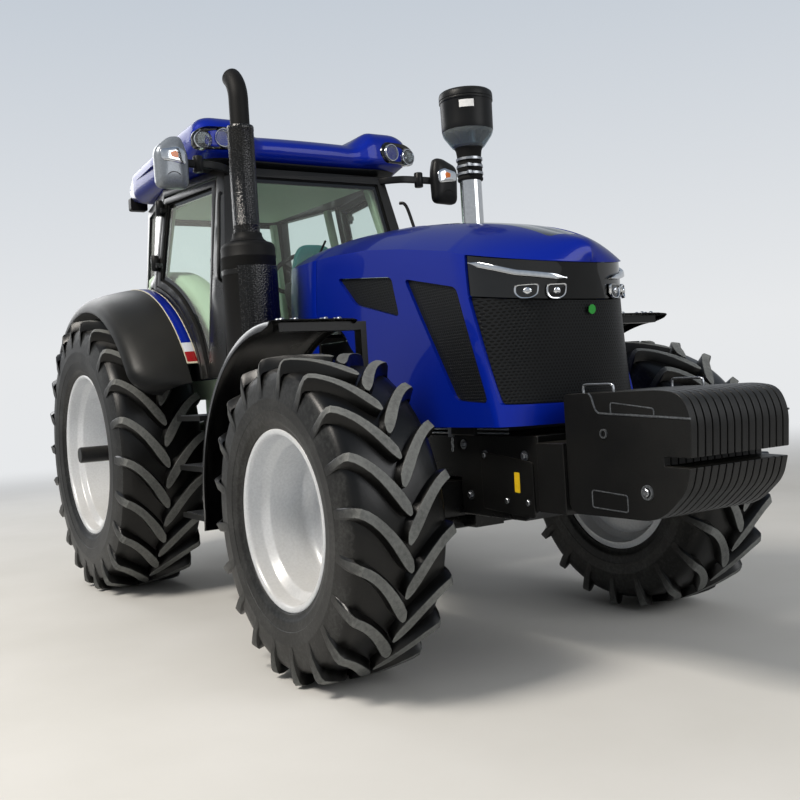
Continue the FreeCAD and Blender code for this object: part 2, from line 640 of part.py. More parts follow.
# Steering: a double-ended cylinder behind the beam, its rod ends below the knuckle arms.
cylinder_x = front_x - s.steering_arm_length
rod_z = arm_z - s.steering_arm_thickness - s.steering_rod_radius - 12
barrel = cylinder("barrel", s.cylinder_radius, s.cylinder_half_length * 2,
                  (cylinder_x, -s.cylinder_half_length, rod_z), "y")
barrel_bore = cylinder("barrel_bore", s.steering_rod_radius + s.bore_fit,
                       s.cylinder_half_length * 2 + 20,
                       (cylinder_x, -s.cylinder_half_length - 10, rod_z), "y")
barrel_bracket = box("barrel_bracket", (cylinder_x, -90, rod_z - 30),
                     (front_x - s.yoke_half_width, 90, s.frame_bottom_z))
node("steering_cylinder", cut("steering_cylinder", fuse("barrel_block", barrel, barrel_bracket),
                              barrel_bore))
rod_bar = cylinder("rod_bar", s.steering_rod_radius, s.rod_end_y * 2,
                   (cylinder_x, -s.rod_end_y, rod_z), "y")
rod_eye = box("rod_eye", (cylinder_x - 26, s.rod_end_y - 30, rod_z - s.steering_rod_radius),
              (cylinder_x + 26, s.rod_end_y + 25, rod_z + s.steering_rod_radius + 5))
node("steering_rod", fuse("steering_rod", rod_bar, both_sides("rod_eyes", rod_eye)))


# Hood: a plan that narrows to the nose, under a crowned top that falls towards the front.
def hood_plan(shrink, nose_x, corner_x, half, cheek_arc, front_arc):
    """Plan with straight sides and a nose of five arcs."""
    half_now = half - shrink
    nose = ahead(nose_x) - shrink
    corner = ahead(corner_x)
    kink_x = corner + (nose - corner) * 0.62
    front_x_now = nose - 14
    return [
        (ahead(s.hood_rear_x), -half_now), (corner, -half_now, cheek_arc),
        (kink_x, -half_now * 0.78, front_arc), (front_x_now, -half_now * 0.3, front_arc),
        (front_x_now, half_now * 0.3, front_arc), (kink_x, half_now * 0.78, cheek_arc),
        (corner, half_now), (ahead(s.hood_rear_x), half_now),
    ]


HOOD_PLANS = [
    # height, nose ahead, corner ahead, half width, arc at the cheek, arc at the front
    (s.hood_bottom_z - 30, s.hood_nose_x - 72, s.hood_corner_x + 190,
     s.hood_top_half_width - 10, as_size(700), as_size(700)),
    (s.hood_bottom_z + 510, s.hood_nose_x - 24, s.hood_corner_x + 30,
     s.hood_half_width - 16, as_size(420), as_size(480)),
    (s.hood_rear_shoulder_z - 180, s.hood_nose_x, s.hood_corner_x - 10,
     s.hood_top_half_width, as_size(360), as_size(460)),
    (s.hood_rear_top_z + 30, s.hood_nose_x - 20, s.hood_corner_x - 60,
     s.hood_top_half_width - 30, as_size(360), as_size(460)),
]
CROWN = [
    # ahead, drop of the middle line, drop of the shoulder, sag at the crown's edge, cheek arc
    (s.hood_rear_x, 12, 0, 15, 470), (as_size(2600), 52, 38, 17, 520),
    (as_size(3090), 122, 95, 21, 800), (as_size(3440), 196, 165, 24, 1900),
    (as_size(3650), 268, 226, 26, 1900), (as_size(3830), 386, 330, 28, 1900),
]


def crown_section(drop, shoulder_drop, sag, cheek_arc, shrink, bottom):
    """Cross section: straight walls, then arcs over the shoulders and the crown."""
    wide = s.hood_half_width + 40
    edge = s.hood_crown_half_width
    top = s.hood_rear_top_z - drop - shrink
    shoulder = s.hood_rear_shoulder_z - shoulder_drop - shrink
    sag = as_size(sag)
    crown_arc = (edge * edge + sag * sag) / (sag * 2)
    half = s.hood_top_half_width - 15
    return [
        (-wide, bottom), (wide, bottom), (wide, shoulder - 60),
        (half, shoulder, as_size(cheek_arc)), (edge, top - sag, crown_arc),
        (-edge, top - sag, as_size(cheek_arc)), (-half, shoulder), (-wide, shoulder - 60),
    ]


def hood_solid(name, shrink):
    """The whole hood form, made smaller all round by a wall."""
    top_row = len(HOOD_PLANS) - 1
    plans = [(row[0] - shrink if number == top_row else row[0], hood_plan(shrink, *row[1:]))
             for number, row in enumerate(HOOD_PLANS)]
    plan_body = lofted(name + "_plan", "xy", plans)
    bottom = s.hood_bottom_z - (40 if shrink else 0)
    sections = [(ahead(row[0]), crown_section(*row[1:], shrink, bottom)) for row in CROWN]
    crown_body = lofted(name + "_crown", "yz", sections)
    return common(name, plan_body, crown_body)


hood_outside = hood_solid("hood_outside", 0)
hood_inside = hood_solid("hood_inside", s.hood_wall)
arch_points = [
    (ahead(s.hood_rear_x) - 10, s.hood_bottom_z - 60),
    (ahead(s.hood_rear_x) + 1060, s.hood_bottom_z - 60),
    (ahead(s.hood_rear_x) + 890, s.hood_bottom_z + 60),
    (ahead(s.hood_rear_x) + 640, s.hood_bottom_z + 270),
    (ahead(s.hood_rear_x) + 370, s.hood_bottom_z + 370),
    (ahead(s.hood_rear_x) + 180, s.hood_bottom_z + 540),
    (ahead(s.hood_rear_x) - 10, s.hood_bottom_z + 640),
]
side_reach = s.hood_half_width + 60
arch = slab("hood_arch", "xz", arch_points, -side_reach, side_reach)
hood_skin = cut("hood_skin", hood_outside, hood_inside, arch)


def across(name, points):
    """Prism through the whole width of the hood, from rows (ahead, height)."""
    return slab(name, "xz", [(ahead(x), z) for x, z in points], -side_reach, side_reach)


nose_reach = s.hood_nose_x + 80
band_low_rear = (s.hood_corner_x + 16, s.hood_bottom_z + 567)
band_low_front = (nose_reach, s.hood_bottom_z + 504)
band_high_front = (nose_reach, s.hood_bottom_z + 656)
band_high_rear = (s.hood_corner_x - 10, s.hood_bottom_z + 755)
grille_low_rear = (s.hood_corner_x + 150, s.hood_bottom_z + 83)
grille_low_front = (nose_reach, s.hood_bottom_z + 67)
band_zone = across("band_zone", [band_low_rear, band_low_front, band_high_front, band_high_rear])
grille_zone = across("grille_zone", [grille_low_rear, grille_low_front, band_low_front,
                                     band_low_rear])
VENTS = {
    # name: four corners as (ahead, height)
    "front_vent": [(s.hood_corner_x + 119, s.hood_bottom_z + 90),
                   (s.hood_corner_x - 64, s.hood_bottom_z + 620),
                   (s.hood_corner_x - 488, s.hood_bottom_z + 709),
                   (s.hood_corner_x - 118, s.hood_bottom_z + 108)],
    "rear_vent": [(s.hood_corner_x - 545, s.hood_bottom_z + 530),
                  (s.hood_corner_x - 605, s.hood_bottom_z + 734),
                  (s.hood_corner_x - 1154, s.hood_bottom_z + 793),
                  (s.hood_corner_x - 967, s.hood_bottom_z + 632)],
}
vent_zones = [across(name + "_zone", corners) for name, corners in VENTS.items()]
vent_zone = fuse("vent_zone", *vent_zones)
top_zone = box("top_zone", (ahead(s.hood_rear_x) + 560, -s.hood_crown_half_width,
                            s.hood_rear_top_z - 500),
               (ahead(s.hood_nose_x) - 120, s.hood_crown_half_width, s.hood_rear_top_z + 50))
intake_hole = cylinder("intake_hole", s.intake_pipe_radius, 400,
                       (ahead(s.intake_x), s.intake_y, s.hood_rear_top_z - 300))
hinge_barrel = cylinder("hinge_barrel", s.hood_hinge_radius + 7, s.hinge_length * 2,
                        (ahead(s.hood_rear_x) - 8, s.hinge_spread - s.hinge_length * 2,
                         s.hood_hinge_z), "y")
hinge_leaf = box("hinge_leaf", (ahead(s.hood_rear_x), s.hinge_spread - s.hinge_length * 2,
                                s.hood_rear_top_z - s.hood_wall * 2.5),
                 (ahead(s.hood_rear_x) + 60, s.hinge_spread, s.hood_hinge_z + s.hood_hinge_radius))
hinge_bore = cylinder("hinge_bore", s.hood_hinge_radius + s.bore_fit, s.hinge_spread * 2 + 100,
                      (ahead(s.hood_rear_x) - 8, -s.hinge_spread - 50, s.hood_hinge_z), "y")
hood_panel = cut("hood_panel", hood_skin, band_zone, grille_zone, vent_zone, top_zone, intake_hole)
hood_hinges = both_sides("hood_hinges", fuse("hood_hinge", hinge_barrel, hinge_leaf))
node("hood_shell", cut("hood_shell", fuse("hood_parts", hood_panel, hood_hinges), hinge_bore))
node("lamp_band", common("lamp_band", hood_skin, band_zone))
node("front_grille", common("front_grille", hood_skin, grille_zone))
node("side_vents", common("side_vents", hood_skin, vent_zone))
node("hood_top_panel", common("hood_top_panel", hood_skin, top_zone))

# Intake: a straight pipe through the hood with the pre-cleaner bowl on top.
hood_under_intake = s.hood_rear_top_z - 190
intake_profile = [
    (hood_under_intake, 0), (hood_under_intake, s.intake_pipe_radius),
    (s.cleaner_bottom_z - 150, s.intake_pipe_radius),
    (s.cleaner_bottom_z - 140, s.intake_pipe_radius + 14),
    (s.cleaner_bottom_z - 60, s.intake_pipe_radius + 14),
    (s.cleaner_bottom_z - 50, s.intake_pipe_radius + 6),
    (s.cleaner_bottom_z, s.cleaner_radius - 40), (s.cleaner_bottom_z + 70, s.cleaner_radius - 8),
    (s.cleaner_top_z - 70, s.cleaner_radius - 4), (s.cleaner_top_z - 62, s.cleaner_radius),
    (s.cleaner_top_z - 14, s.cleaner_radius), (s.cleaner_top_z, s.cleaner_radius - 24),
    (s.cleaner_top_z, 0),
]
node("intake_stack", turned("intake_stack_body", intake_profile,
                            (ahead(s.intake_x), s.intake_y, 0), "z"))

# Rear cowl: the fixed blue collar between the hood and the cab.
cowl_half = s.hood_top_half_width + 25
cowl_crown = crown_section(14, 0, 15, 470, 4, s.cowl_bottom_z)[3:7]
cowl_points = [
    (-cowl_half, s.cowl_bottom_z), (cowl_half, s.cowl_bottom_z),
    (cowl_half, s.hood_rear_shoulder_z - 60), *cowl_crown,
    (-cowl_half, s.hood_rear_shoulder_z - 60),
]
cowl_inner = [
    (-s.hood_top_half_width, s.cowl_bottom_z - 10), (s.hood_top_half_width, s.cowl_bottom_z - 10),
    (s.hood_top_half_width, s.hood_rear_shoulder_z - 60),
    (s.hood_crown_half_width, s.hood_rear_top_z - 72),
    (-s.hood_crown_half_width, s.hood_rear_top_z - 72),
    (-s.hood_top_half_width, s.hood_rear_shoulder_z - 60),
]
cowl_outside = slab("cowl_outside", "yz", cowl_points, ahead(s.cowl_rear_x), ahead(s.cowl_front_x))
cowl_hollow = slab("cowl_hollow", "yz", cowl_inner, ahead(s.cowl_rear_x) + 25,
                   ahead(s.cowl_front_x) + 5)
cowl_post = box("cowl_post", (ahead(s.cowl_rear_x), -s.engine_half_width + s.frame_plate + 30,
                              s.engine_top_z),
                (ahead(s.cowl_rear_x) + 140, s.engine_half_width - s.frame_plate - 30,
                 s.engine_top_z + 200))
cowl_shell = cut("cowl_shell", cowl_outside, cowl_hollow)
hinge_x = ahead(s.hood_rear_x) - 8
hinge_low = s.hinge_spread - s.hinge_length
hinge_pin = cylinder("hinge_pin", s.hood_hinge_radius, s.hinge_length * 2 + 16,
                     (hinge_x, hinge_low - s.hinge_length - 8, s.hood_hinge_z), "y")
hinge_ear = box("hinge_ear", (ahead(s.cowl_front_x) - 60, hinge_low - s.hinge_length - 16,
                              s.hood_rear_top_z - 70),
                (hinge_x + s.hood_hinge_radius, hinge_low - s.hinge_length - 2,
                 s.hood_hinge_z + s.hood_hinge_radius))
hinge_ear_out = box("hinge_ear_out", (ahead(s.cowl_front_x) - 60, s.hinge_spread + 2,
                                      s.hood_rear_top_z - 70),
                    (hinge_x + s.hood_hinge_radius, s.hinge_spread + 16,
                     s.hood_hinge_z + s.hood_hinge_radius))
cowl_hinge = fuse("cowl_hinge", hinge_pin, hinge_ear, hinge_ear_out)
node("rear_cowl", cut("rear_cowl", fuse("cowl_parts", cowl_shell, cowl_post,
                                        both_sides("cowl_hinges", cowl_hinge)), hood_outside))

# Exhaust: silencer can at the right front corner of the cab, guard tube and outlet.
can_profile = [
    (s.exhaust_can_bottom_z, 0), (s.exhaust_can_bottom_z, s.exhaust_can_radius - 20),
    (s.exhaust_can_bottom_z + 20, s.exhaust_can_radius),
    (s.exhaust_can_top_z - 14, s.exhaust_can_radius),
    (s.exhaust_can_top_z, s.exhaust_can_radius - 14), (s.exhaust_can_top_z, 0),
]
can = turned("can", can_profile, (ahead(s.exhaust_x), -s.exhaust_y, 0), "z")
can_bracket = box("can_bracket", (ahead(s.exhaust_x) - 40, -s.exhaust_y, s.engine_top_z - 230),
                  (ahead(s.exhaust_x) + 40, -s.engine_half_width + s.frame_plate,
                   s.engine_top_z - 150))
node("exhaust_can", fuse("exhaust_can", can, can_bracket))
bend_z = s.exhaust_top_z - polar(s.outlet_bend_radius + s.exhaust_pipe_radius, s.outlet_turn)[1]
guard_profile = [
    (s.exhaust_can_top_z, 0), (s.exhaust_can_top_z, s.guard_radius + 26),
    (s.exhaust_can_top_z + 24, s.guard_radius + 26), (s.exhaust_can_top_z + 24, s.guard_radius),
    (s.guard_top_z, s.guard_radius), (s.guard_top_z, s.exhaust_pipe_radius),
    (bend_z, s.exhaust_pipe_radius), (bend_z, 0),
]
guard = turned("guard", guard_profile, (ahead(s.exhaust_x), -s.exhaust_y, 0), "z")
outlet = doc.addObject("Part::Torus", "outlet")
bind(outlet, "Radius1", s.outlet_bend_radius)
bind(outlet, "Radius2", s.exhaust_pipe_radius)
bind(outlet, "Angle3", s.outlet_turn)
put(outlet, (ahead(s.exhaust_x) - s.outlet_bend_radius, -s.exhaust_y, bend_z),
    Rotation(Vector(1, 0, 0), 90))
node("exhaust_stack", fuse("exhaust_stack", guard, outlet))


# Cab: a tapered glasshouse of one wall, split into frame, panes and doors.
def cab_solid(name, shrink, low, high):
    """Glasshouse form made smaller all round, between two heights."""
    span = s.cab_top_z - s.cab_sill_z
    sections = []
    for height in (low, high):
        share = (height - s.cab_sill_z) / span
        front = s.cab_front_foot_x + (s.cab_front_top_x - s.cab_front_foot_x) * share
        rear = s.cab_rear_foot_x + (s.cab_rear_top_x - s.cab_rear_foot_x) * share
        wide_front = (s.front_foot_half_width
                      + (s.front_top_half_width - s.front_foot_half_width) * share)
        wide_post = (s.post_foot_half_width
                     + (s.post_top_half_width - s.post_foot_half_width) * share)
        wide_rear = (s.rear_foot_half_width
                     + (s.rear_top_half_width - s.rear_foot_half_width) * share)
        right = [(ahead(rear) + shrink, -wide_rear + shrink),
                 (ahead(s.post_x), -wide_post + shrink),
                 (ahead(front) - shrink, -wide_front + shrink)]
        sections.append((height, right + [(x, -y) for x, y in reversed(right)]))
    return lofted(name, "xy", sections)


cab_low = s.cab_sill_z
cab_outside = cab_solid("cab_outside", as_size(0), cab_low, s.cab_top_z)
cab_inside = cab_solid("cab_inside", s.cab_wall, cab_low - 20, s.cab_top_z - s.cab_wall)
pane_outside = cab_solid("pane_outside", s.glass_inset, cab_low + 5, s.cab_top_z - 5)
pane_inside = cab_solid("pane_inside", s.glass_inset + s.glass_thickness, cab_low - 5,
                        s.cab_top_z + 5)
cab_walls = cut("cab_walls", cab_outside, cab_inside)
panes = cut("panes", pane_outside, pane_inside)
fender_top = fender_radius + s.panel_gap
side_far = s.post_foot_half_width + 60
fender_round = cylinder("fender_round", fender_top, side_far * 2 + 200,
                        (ahead(s.fender_centre_x), -side_far - 100, fender_centre_z), "y")


def side_prism(name, points, inner_y):
    """Prism through the left wall, from rows (ahead, height) or (ahead, height, arc)."""
    rows = [(ahead(p[0]), p[1], *p[2:]) for p in points]
    return slab(name, "xz", rows, inner_y, side_far)


def fender_height(x, gap):
    """Height of the rear fender's round at a place ahead of the axle."""
    reach = as_size(x) - s.fender_centre_x
    radius = fender_radius + gap
    value = math.sqrt(radius.value ** 2 - reach.value ** 2)
    root = Size(value, f"sqrt({radius.text} * {radius.text} - {reach.text} * {reach.text})")
    return fender_centre_z + root


def door_outline(grow, lift):
    """Door outline, larger by an amount, its head by another; it follows the fender."""
    rear = s.post_x + s.pillar_width / 2 - grow
    gap = s.fender_sheet + s.panel_gap * 2 - grow
    reach, rise = polar(fender_radius + gap, s.door_low_angle)
    low_x, low_z = s.fender_centre_x + reach, fender_centre_z + rise
    return [
        (rear, s.door_top_z + lift), (rear, fender_height(rear, gap), -(fender_radius + gap)),
        (low_x, low_z), (low_x + s.door_foot_reach + grow, low_z),
        (s.door_head_x + grow, s.door_top_z + lift),
    ]


door_inner_y = s.front_top_half_width - 140
door_hole = side_prism("door_hole_left", door_outline(s.panel_gap, s.door_lift_gap), door_inner_y)
door_zone = side_prism("door_zone", door_outline(as_size(0), as_size(0)), door_inner_y)
light_zone = side_prism("light_zone", door_outline(-s.door_frame, -s.door_frame), door_inner_y)
quarter_rows = [
    (s.post_x - s.pillar_width / 2, s.door_top_z),
    (s.cab_rear_top_x + s.pillar_width * 1.6, s.door_top_z),
    (s.cab_rear_foot_x + s.pillar_width * 1.6, fender_height(as_size(-200), as_size(70))),
    (s.post_x - s.pillar_width / 2, fender_height(as_size(150), as_size(70))),
]
quarter_zone = both_sides("quarter_zone", side_prism("quarter_zone_left", quarter_rows,
                                                     s.rear_top_half_width - 140))
front_rows = [
    (-s.front_foot_half_width + 130, s.cowl_bottom_z + 150),
    (s.front_foot_half_width - 130, s.cowl_bottom_z + 150),
    (s.front_top_half_width - s.pillar_width + 5, s.door_top_z + 10),
    (-s.front_top_half_width + s.pillar_width - 5, s.door_top_z + 10),
]
front_zone = slab("front_zone", "yz", front_rows, ahead(s.cab_front_top_x) - 140,
                  ahead(s.cab_front_foot_x) + 40)
rear_rows = [
    (-s.rear_foot_half_width + 110, fender_centre_z + fender_radius - 420),
    (s.rear_foot_half_width - 110, fender_centre_z + fender_radius - 420),
    (s.rear_top_half_width - s.pillar_width, s.door_top_z),
    (-s.rear_top_half_width + s.pillar_width, s.door_top_z),
]
rear_zone = slab("rear_zone", "yz", rear_rows, ahead(s.cab_rear_foot_x) - 40,
                 ahead(s.cab_rear_top_x) + 100)
fender_cutter = common("fender_cutter", fender_round,
                       both_sides("fender_cut_sides",
                                  box("fender_cut_side", (ahead(s.cab_rear_foot_x) - 100,
                                                          s.base_half_width, s.cab_sill_z - 100),
                                      (ahead(s.cab_front_foot_x), side_far + 40,
                                       fender_centre_z + fender_radius + 40))))
cab_shell = cut("cab_shell", cab_walls, both_sides("door_hole", door_hole), quarter_zone,
                front_zone, rear_zone, fender_cutter)
node("windshield", common("windshield", panes, front_zone))
node("rear_glass", common("rear_glass", panes, fuse("rear_glass_zone", rear_zone, quarter_zone)))
door_wall = common("door_wall", cab_walls, door_zone)
door_ring = cut("door_ring", door_wall, light_zone)

# Door hinges stand on the leaning rear post of each door, their barrels in one line.
post_lean = math.atan2(s.post_foot_half_width.value - s.post_top_half_width.value,
                       s.cab_top_z.value - s.cab_sill_z.value)
door_rear_x = s.post_x + s.pillar_width / 2


def wall_face(height):
    """Half width of the wall's outer face at the door's rear edge."""
    share = (height - s.cab_sill_z) / (s.cab_top_z - s.cab_sill_z)
    return s.post_foot_half_width + (s.post_top_half_width - s.post_foot_half_width) * share


def hinge_part(name, centre_z, low, high, radius):
    """Round bar along the leaning hinge line, between two distances from a hinge's middle."""
    bar = doc.addObject("Part::Cylinder", name)
    bind(bar, "Radius", radius)
    bind(bar, "Height", as_size(high) - low)
    lean = Rotation(Vector(1, 0, 0), math.degrees(post_lean))
    shift = as_size(low)
    return put(bar, (ahead(door_rear_x) - 3,
                     wall_face(centre_z) + s.door_hinge_offset - shift * math.sin(post_lean),
                     centre_z + shift * math.cos(post_lean)), lean)


door_barrels, frame_barrels, hinge_bores = [], [], []
for k, centre_z in enumerate((s.door_hinge_low_z, s.door_hinge_high_z)):
    face = wall_face(centre_z)
    out = face + s.door_hinge_offset + s.door_hinge_radius - 3
    door_barrels.append(hinge_part(f"door_barrel_{k}", centre_z, -40, -1, s.door_hinge_radius))
    door_barrels.append(box(f"door_leaf_{k}", (ahead(door_rear_x) + 2, face - 14, centre_z - 36),
                            (ahead(door_rear_x) + 52, out, centre_z - 5)))
    frame_barrels.append(hinge_part(f"frame_barrel_{k}", centre_z, 1, 40, s.door_hinge_radius))
    frame_barrels.append(hinge_part(f"frame_pin_{k}", centre_z, -38, 2, s.door_pin_radius))
    frame_barrels.append(box(f"frame_leaf_{k}", (ahead(door_rear_x) - 60, face - 20, centre_z + 5),
                             (ahead(door_rear_x) - 8, out, centre_z + 36)))
    hinge_bores.append(hinge_part(f"door_bore_{k}", centre_z, -50, 0,
                                  s.door_pin_radius + s.bore_fit))
door_solid = cut("door_solid", fuse("door_and_hinges", door_ring, *door_barrels), *hinge_bores)
pair("door", door_solid)
pair("door_glass", common("door_glass", panes, light_zone))
hinge_posts = cut("hinge_posts", fuse("hinge_post_set", *frame_barrels), cab_inside)
node("cab_frame", fuse("cab_frame", cab_shell, both_sides("frame_hinges", hinge_posts)))

# Cab base: floor, inner side walls up to the fender tops, and the wall below the windshield.
base_points = [
    (ahead(s.cab_rear_foot_x), s.cab_floor_z), (ahead(s.cab_front_foot_x), s.cab_floor_z),
    (ahead(s.cab_front_foot_x), s.cab_sill_z - s.running_gap),
    (ahead(s.cab_rear_foot_x), s.cab_sill_z - s.running_gap),
]
base_floor = slab("base_floor", "xz", base_points, -s.base_half_width, s.base_half_width)
mount_posts = [box(f"cab_mount_{k}",
                   (ahead(as_size(x)), s.transmission_half_width - 100, s.transmission_top_z - 200),
                   (ahead(as_size(x)) + 120, s.transmission_half_width, s.cab_floor_z))
               for k, x in enumerate((-250, 1350))]
cab_mounts = both_sides("cab_mounts", fuse("cab_mount_pair", *mount_posts))
node("cab_base", cut("cab_base", fuse("cab_base_parts", base_floor, cab_mounts), gearbox))


# Rear fenders: a deck round the tyre that falls towards its outer edge, with a lip.
def fender_profile(inner_y, outer_y, inner_drop, outer_drop, lip):
    """Section of the deck as rows (y, radius)."""
    top_in = fender_radius - inner_drop
    top_out = fender_radius - outer_drop
    return [
        (inner_y, top_in), (outer_y - 16, top_out), (outer_y, top_out - 16),
        (outer_y, top_out - lip), (outer_y - 14, top_out - lip),
        (outer_y - 20, top_out - s.fender_sheet), (inner_y, top_in - s.fender_sheet),
    ]


fender_centre = (ahead(s.fender_centre_x), fender_centre_z)
deck_profile = fender_profile(s.fender_stripe_y, s.fender_outer_y, 30, s.fender_drop,
                              s.fender_lip)
deck = turned("fender_deck", deck_profile, (fender_centre[0], 0, fender_centre[1]))
stripe_profile = [
    (s.base_half_width, fender_radius), (s.fender_shelf_y, fender_radius),
    (s.fender_stripe_y, fender_radius - 30),
    (s.fender_stripe_y, fender_radius - 30 - s.fender_sheet),
    (s.fender_shelf_y, fender_radius - s.fender_sheet),
    (s.base_half_width, fender_radius - s.fender_sheet),
]
stripe = turned("fender_stripe_ring", stripe_profile, (fender_centre[0], 0, fender_centre[1]))
fender_wedge = sector("fender_wedge", fender_centre, fender_radius + 30, s.fender_start,
                      s.fender_end, s.base_half_width - 10, s.fender_outer_y + 10)
pair("rear_fender", common("rear_fender_part", deck, fender_wedge))
stripe_wedge = sector("stripe_wedge", fender_centre, fender_radius + 31, s.fender_start,
                      s.fender_end, s.base_half_width - 10, s.fender_outer_y + 12)
pair("fender_shelf", common("fender_shelf_part", stripe, stripe_wedge))

# Roof: a crowned body, with a brow at each front corner that holds two lamps.
roof_bottom_z = s.cab_top_z + s.running_gap
ROOF_ROWS = [
    # ahead, half width, underside, side height, height at the middle
    (s.roof_rear_x, s.roof_rear_half_width, roof_bottom_z + 80, s.roof_side_z - 60,
     s.roof_side_z - 30),
    (s.roof_rear_x + 330, s.roof_rear_half_width + 60, roof_bottom_z, s.roof_side_z,
     s.roof_top_z - 20),
    (s.post_x, s.roof_half_width, roof_bottom_z, s.roof_side_z, s.roof_top_z),
    (s.roof_front_x - 240, s.roof_half_width - 10, roof_bottom_z, s.roof_side_z - 30,
     s.roof_top_z - 14),
    (s.roof_front_x - 20, s.roof_half_width - 30, roof_bottom_z + 50, s.roof_side_z - 80,
     s.roof_side_z - 45),
]


def roof_section(half, under, side, middle):
    """Cross section: a flat underside, low walls and one wide arc over the top."""
    rise = middle - side
    edge = half - 24
    top_arc = (edge * edge + rise * rise) / (rise * 2)
    return [(-half + 30, under), (half - 30, under), (half, side - 60), (edge, side, top_arc),
            (-edge, side), (-half, side - 60)]


roof_shell = lofted("roof_shell", "yz", [(ahead(row[0]), roof_section(*row[1:]))
                                         for row in ROOF_ROWS])


def brow_section(sink):
    """Front view of the left brow: a flat foot and an arched back, sunk by an amount."""
    far = s.roof_half_width + 12 - sink * 0.5
    near = s.roof_half_width - 370 + sink * 0.5
    foot = roof_bottom_z + 50
    top = s.roof_top_z - 10 - sink
    return [(near, foot), (far - 20, foot + 4), (far, foot + 90),
            (far - 24, top - 78, as_size(180)), (far - 150, top),
            (near + 120, top, as_size(180)), (near + 40, top - 60),
            (near - 40, s.roof_side_z - 110 - sink * 0.2)]


brow = lofted("brow", "yz", [
    (ahead(s.roof_front_x) - 760, brow_section(as_size(90))),
    (ahead(s.roof_front_x) - 260, brow_section(as_size(6))),
    (ahead(s.roof_front_x), brow_section(as_size(0))),
])
roof_body = fuse("roof_parts", roof_shell, brow, mirror("brow_other", brow))
lamp_rows = [
    # lens face ahead, half width, height
    (s.roof_front_x + 8, s.roof_half_width - 34, s.roof_side_z - 84),
    (s.roof_front_x + 14, s.roof_half_width - 182, s.roof_side_z - 62),
]
lamp_cups = [cylinder(f"roof_lamp_cup_{k}", s.lamp_radius, s.lamp_length,
                      (ahead(x) - s.lamp_length, y, z), "x")
             for k, (x, y, z) in enumerate(lamp_rows)]
pods = both_sides("lamp_cups", fuse("lamp_cup_pair", *lamp_cups))
node("roof", cut("roof", roof_body, pods))
node("roof_lamps", pods)


# Ballast: fourteen plates hooked on the hanger at the front of the frame.
plate_rear = ahead(s.ballast_rear_x)
plate_front = ahead(s.ballast_front_x)
slot_low_z = s.ballast_bottom_z + s.slot_low
slot_high_z = slot_low_z + s.slot_height
plate_points = [
    (plate_rear, s.ballast_top_z), (plate_rear, s.ballast_bottom_z + 30),
    (plate_rear + 30, s.ballast_bottom_z),
    (plate_front - 170, s.ballast_bottom_z, s.ballast_chin_arc), (plate_front - 30, slot_low_z),
    (plate_front - s.slot_depth, slot_low_z), (plate_front - s.slot_depth, slot_high_z),
    (plate_front - 12, slot_high_z), (plate_front, s.ballast_top_z - 110, s.ballast_brow_arc),
    (plate_front - 140, s.ballast_top_z),
]
plates = []
for k in range(int(s.plate_count.value)):
    low = s.plate_pitch * (k - float(s.plate_count) / 2) + s.plate_gap / 2
    plates.append(slab(f"plate_{k}", "xz", plate_points, low, low + s.plate_pitch - s.plate_gap))
lock_bar = cylinder("lock_bar", as_size(14), s.plate_pitch * s.plate_count - s.plate_gap,
                    (plate_rear + 430,
                     -s.plate_pitch * s.plate_count / 2 + s.plate_gap / 2,
                     s.ballast_bottom_z + 130), "y")
node("ballast_plates", fuse("ballast_plates", *plates, lock_bar))
hanger = box("hanger", (ahead(s.frame_front_x), -s.hanger_half_width, s.hanger_bottom_z),
             (ahead(s.ballast_rear_x), s.hanger_half_width, s.hanger_top_z))
node("ballast_hanger", hanger)

# Tanks with steps below the doors.
tank_points = soft_rectangle((ahead(s.tank_rear_x), s.tank_bottom_z),
                             (ahead(s.tank_front_x), s.tank_top_z), s.tank_corner)
tank = slab("tank", "xz", tank_points, s.tank_inner_y, s.tank_outer_y)
steps = [box(f"step_{k}", (ahead(s.tank_rear_x) + 120, s.tank_outer_y, z),
             (ahead(s.tank_rear_x) + 120 + s.step_length, s.step_outer_y, z + s.step_thickness))
         for k, z in enumerate((s.tank_bottom_z, s.tank_bottom_z + 290,
                                s.tank_top_z - s.step_thickness))]
tank_hanger = box("tank_hanger", (ahead(s.tank_rear_x) + 200, s.transmission_half_width,
                                  s.tank_bottom_z + 240),
                  (ahead(s.tank_rear_x) + 420, s.tank_inner_y, s.tank_bottom_z + 340))
pair("tank_and_steps", fuse("tank_and_steps", tank, tank_hanger, *steps))

# Mirrors on arms from the roof's front corners.
mirror_points = soft_rectangle(
    (s.mirror_y - s.mirror_width / 2, s.mirror_z - s.mirror_height / 2),
    (s.mirror_y + s.mirror_width / 2, s.mirror_z + s.mirror_height / 2), s.mirror_corner)
mirror_head = slab("mirror_head", "yz", mirror_points, ahead(s.mirror_x) - s.mirror_depth / 2,
                   ahead(s.mirror_x) + s.mirror_depth / 2)
mirror_arm_z = s.cab_top_z - 30
mirror_arm_x = ahead(s.mirror_x) - s.mirror_depth / 2 - 5
mirror_arm = cylinder("mirror_arm", s.mirror_arm_radius, s.mirror_y - s.front_top_half_width + 30,
                      (mirror_arm_x, s.front_top_half_width - 30, mirror_arm_z), "y")
mirror_foot = box("mirror_foot", (ahead(s.cab_front_top_x) - 20, s.front_top_half_width - 60,
                                  mirror_arm_z - s.mirror_arm_radius),
                  (mirror_arm_x, s.front_top_half_width - 25, mirror_arm_z + s.mirror_arm_radius))
mirror_parts = fuse("mirror_parts", mirror_head, mirror_arm, mirror_foot)
pair("mirror", cut("mirror", mirror_parts, cab_outside))

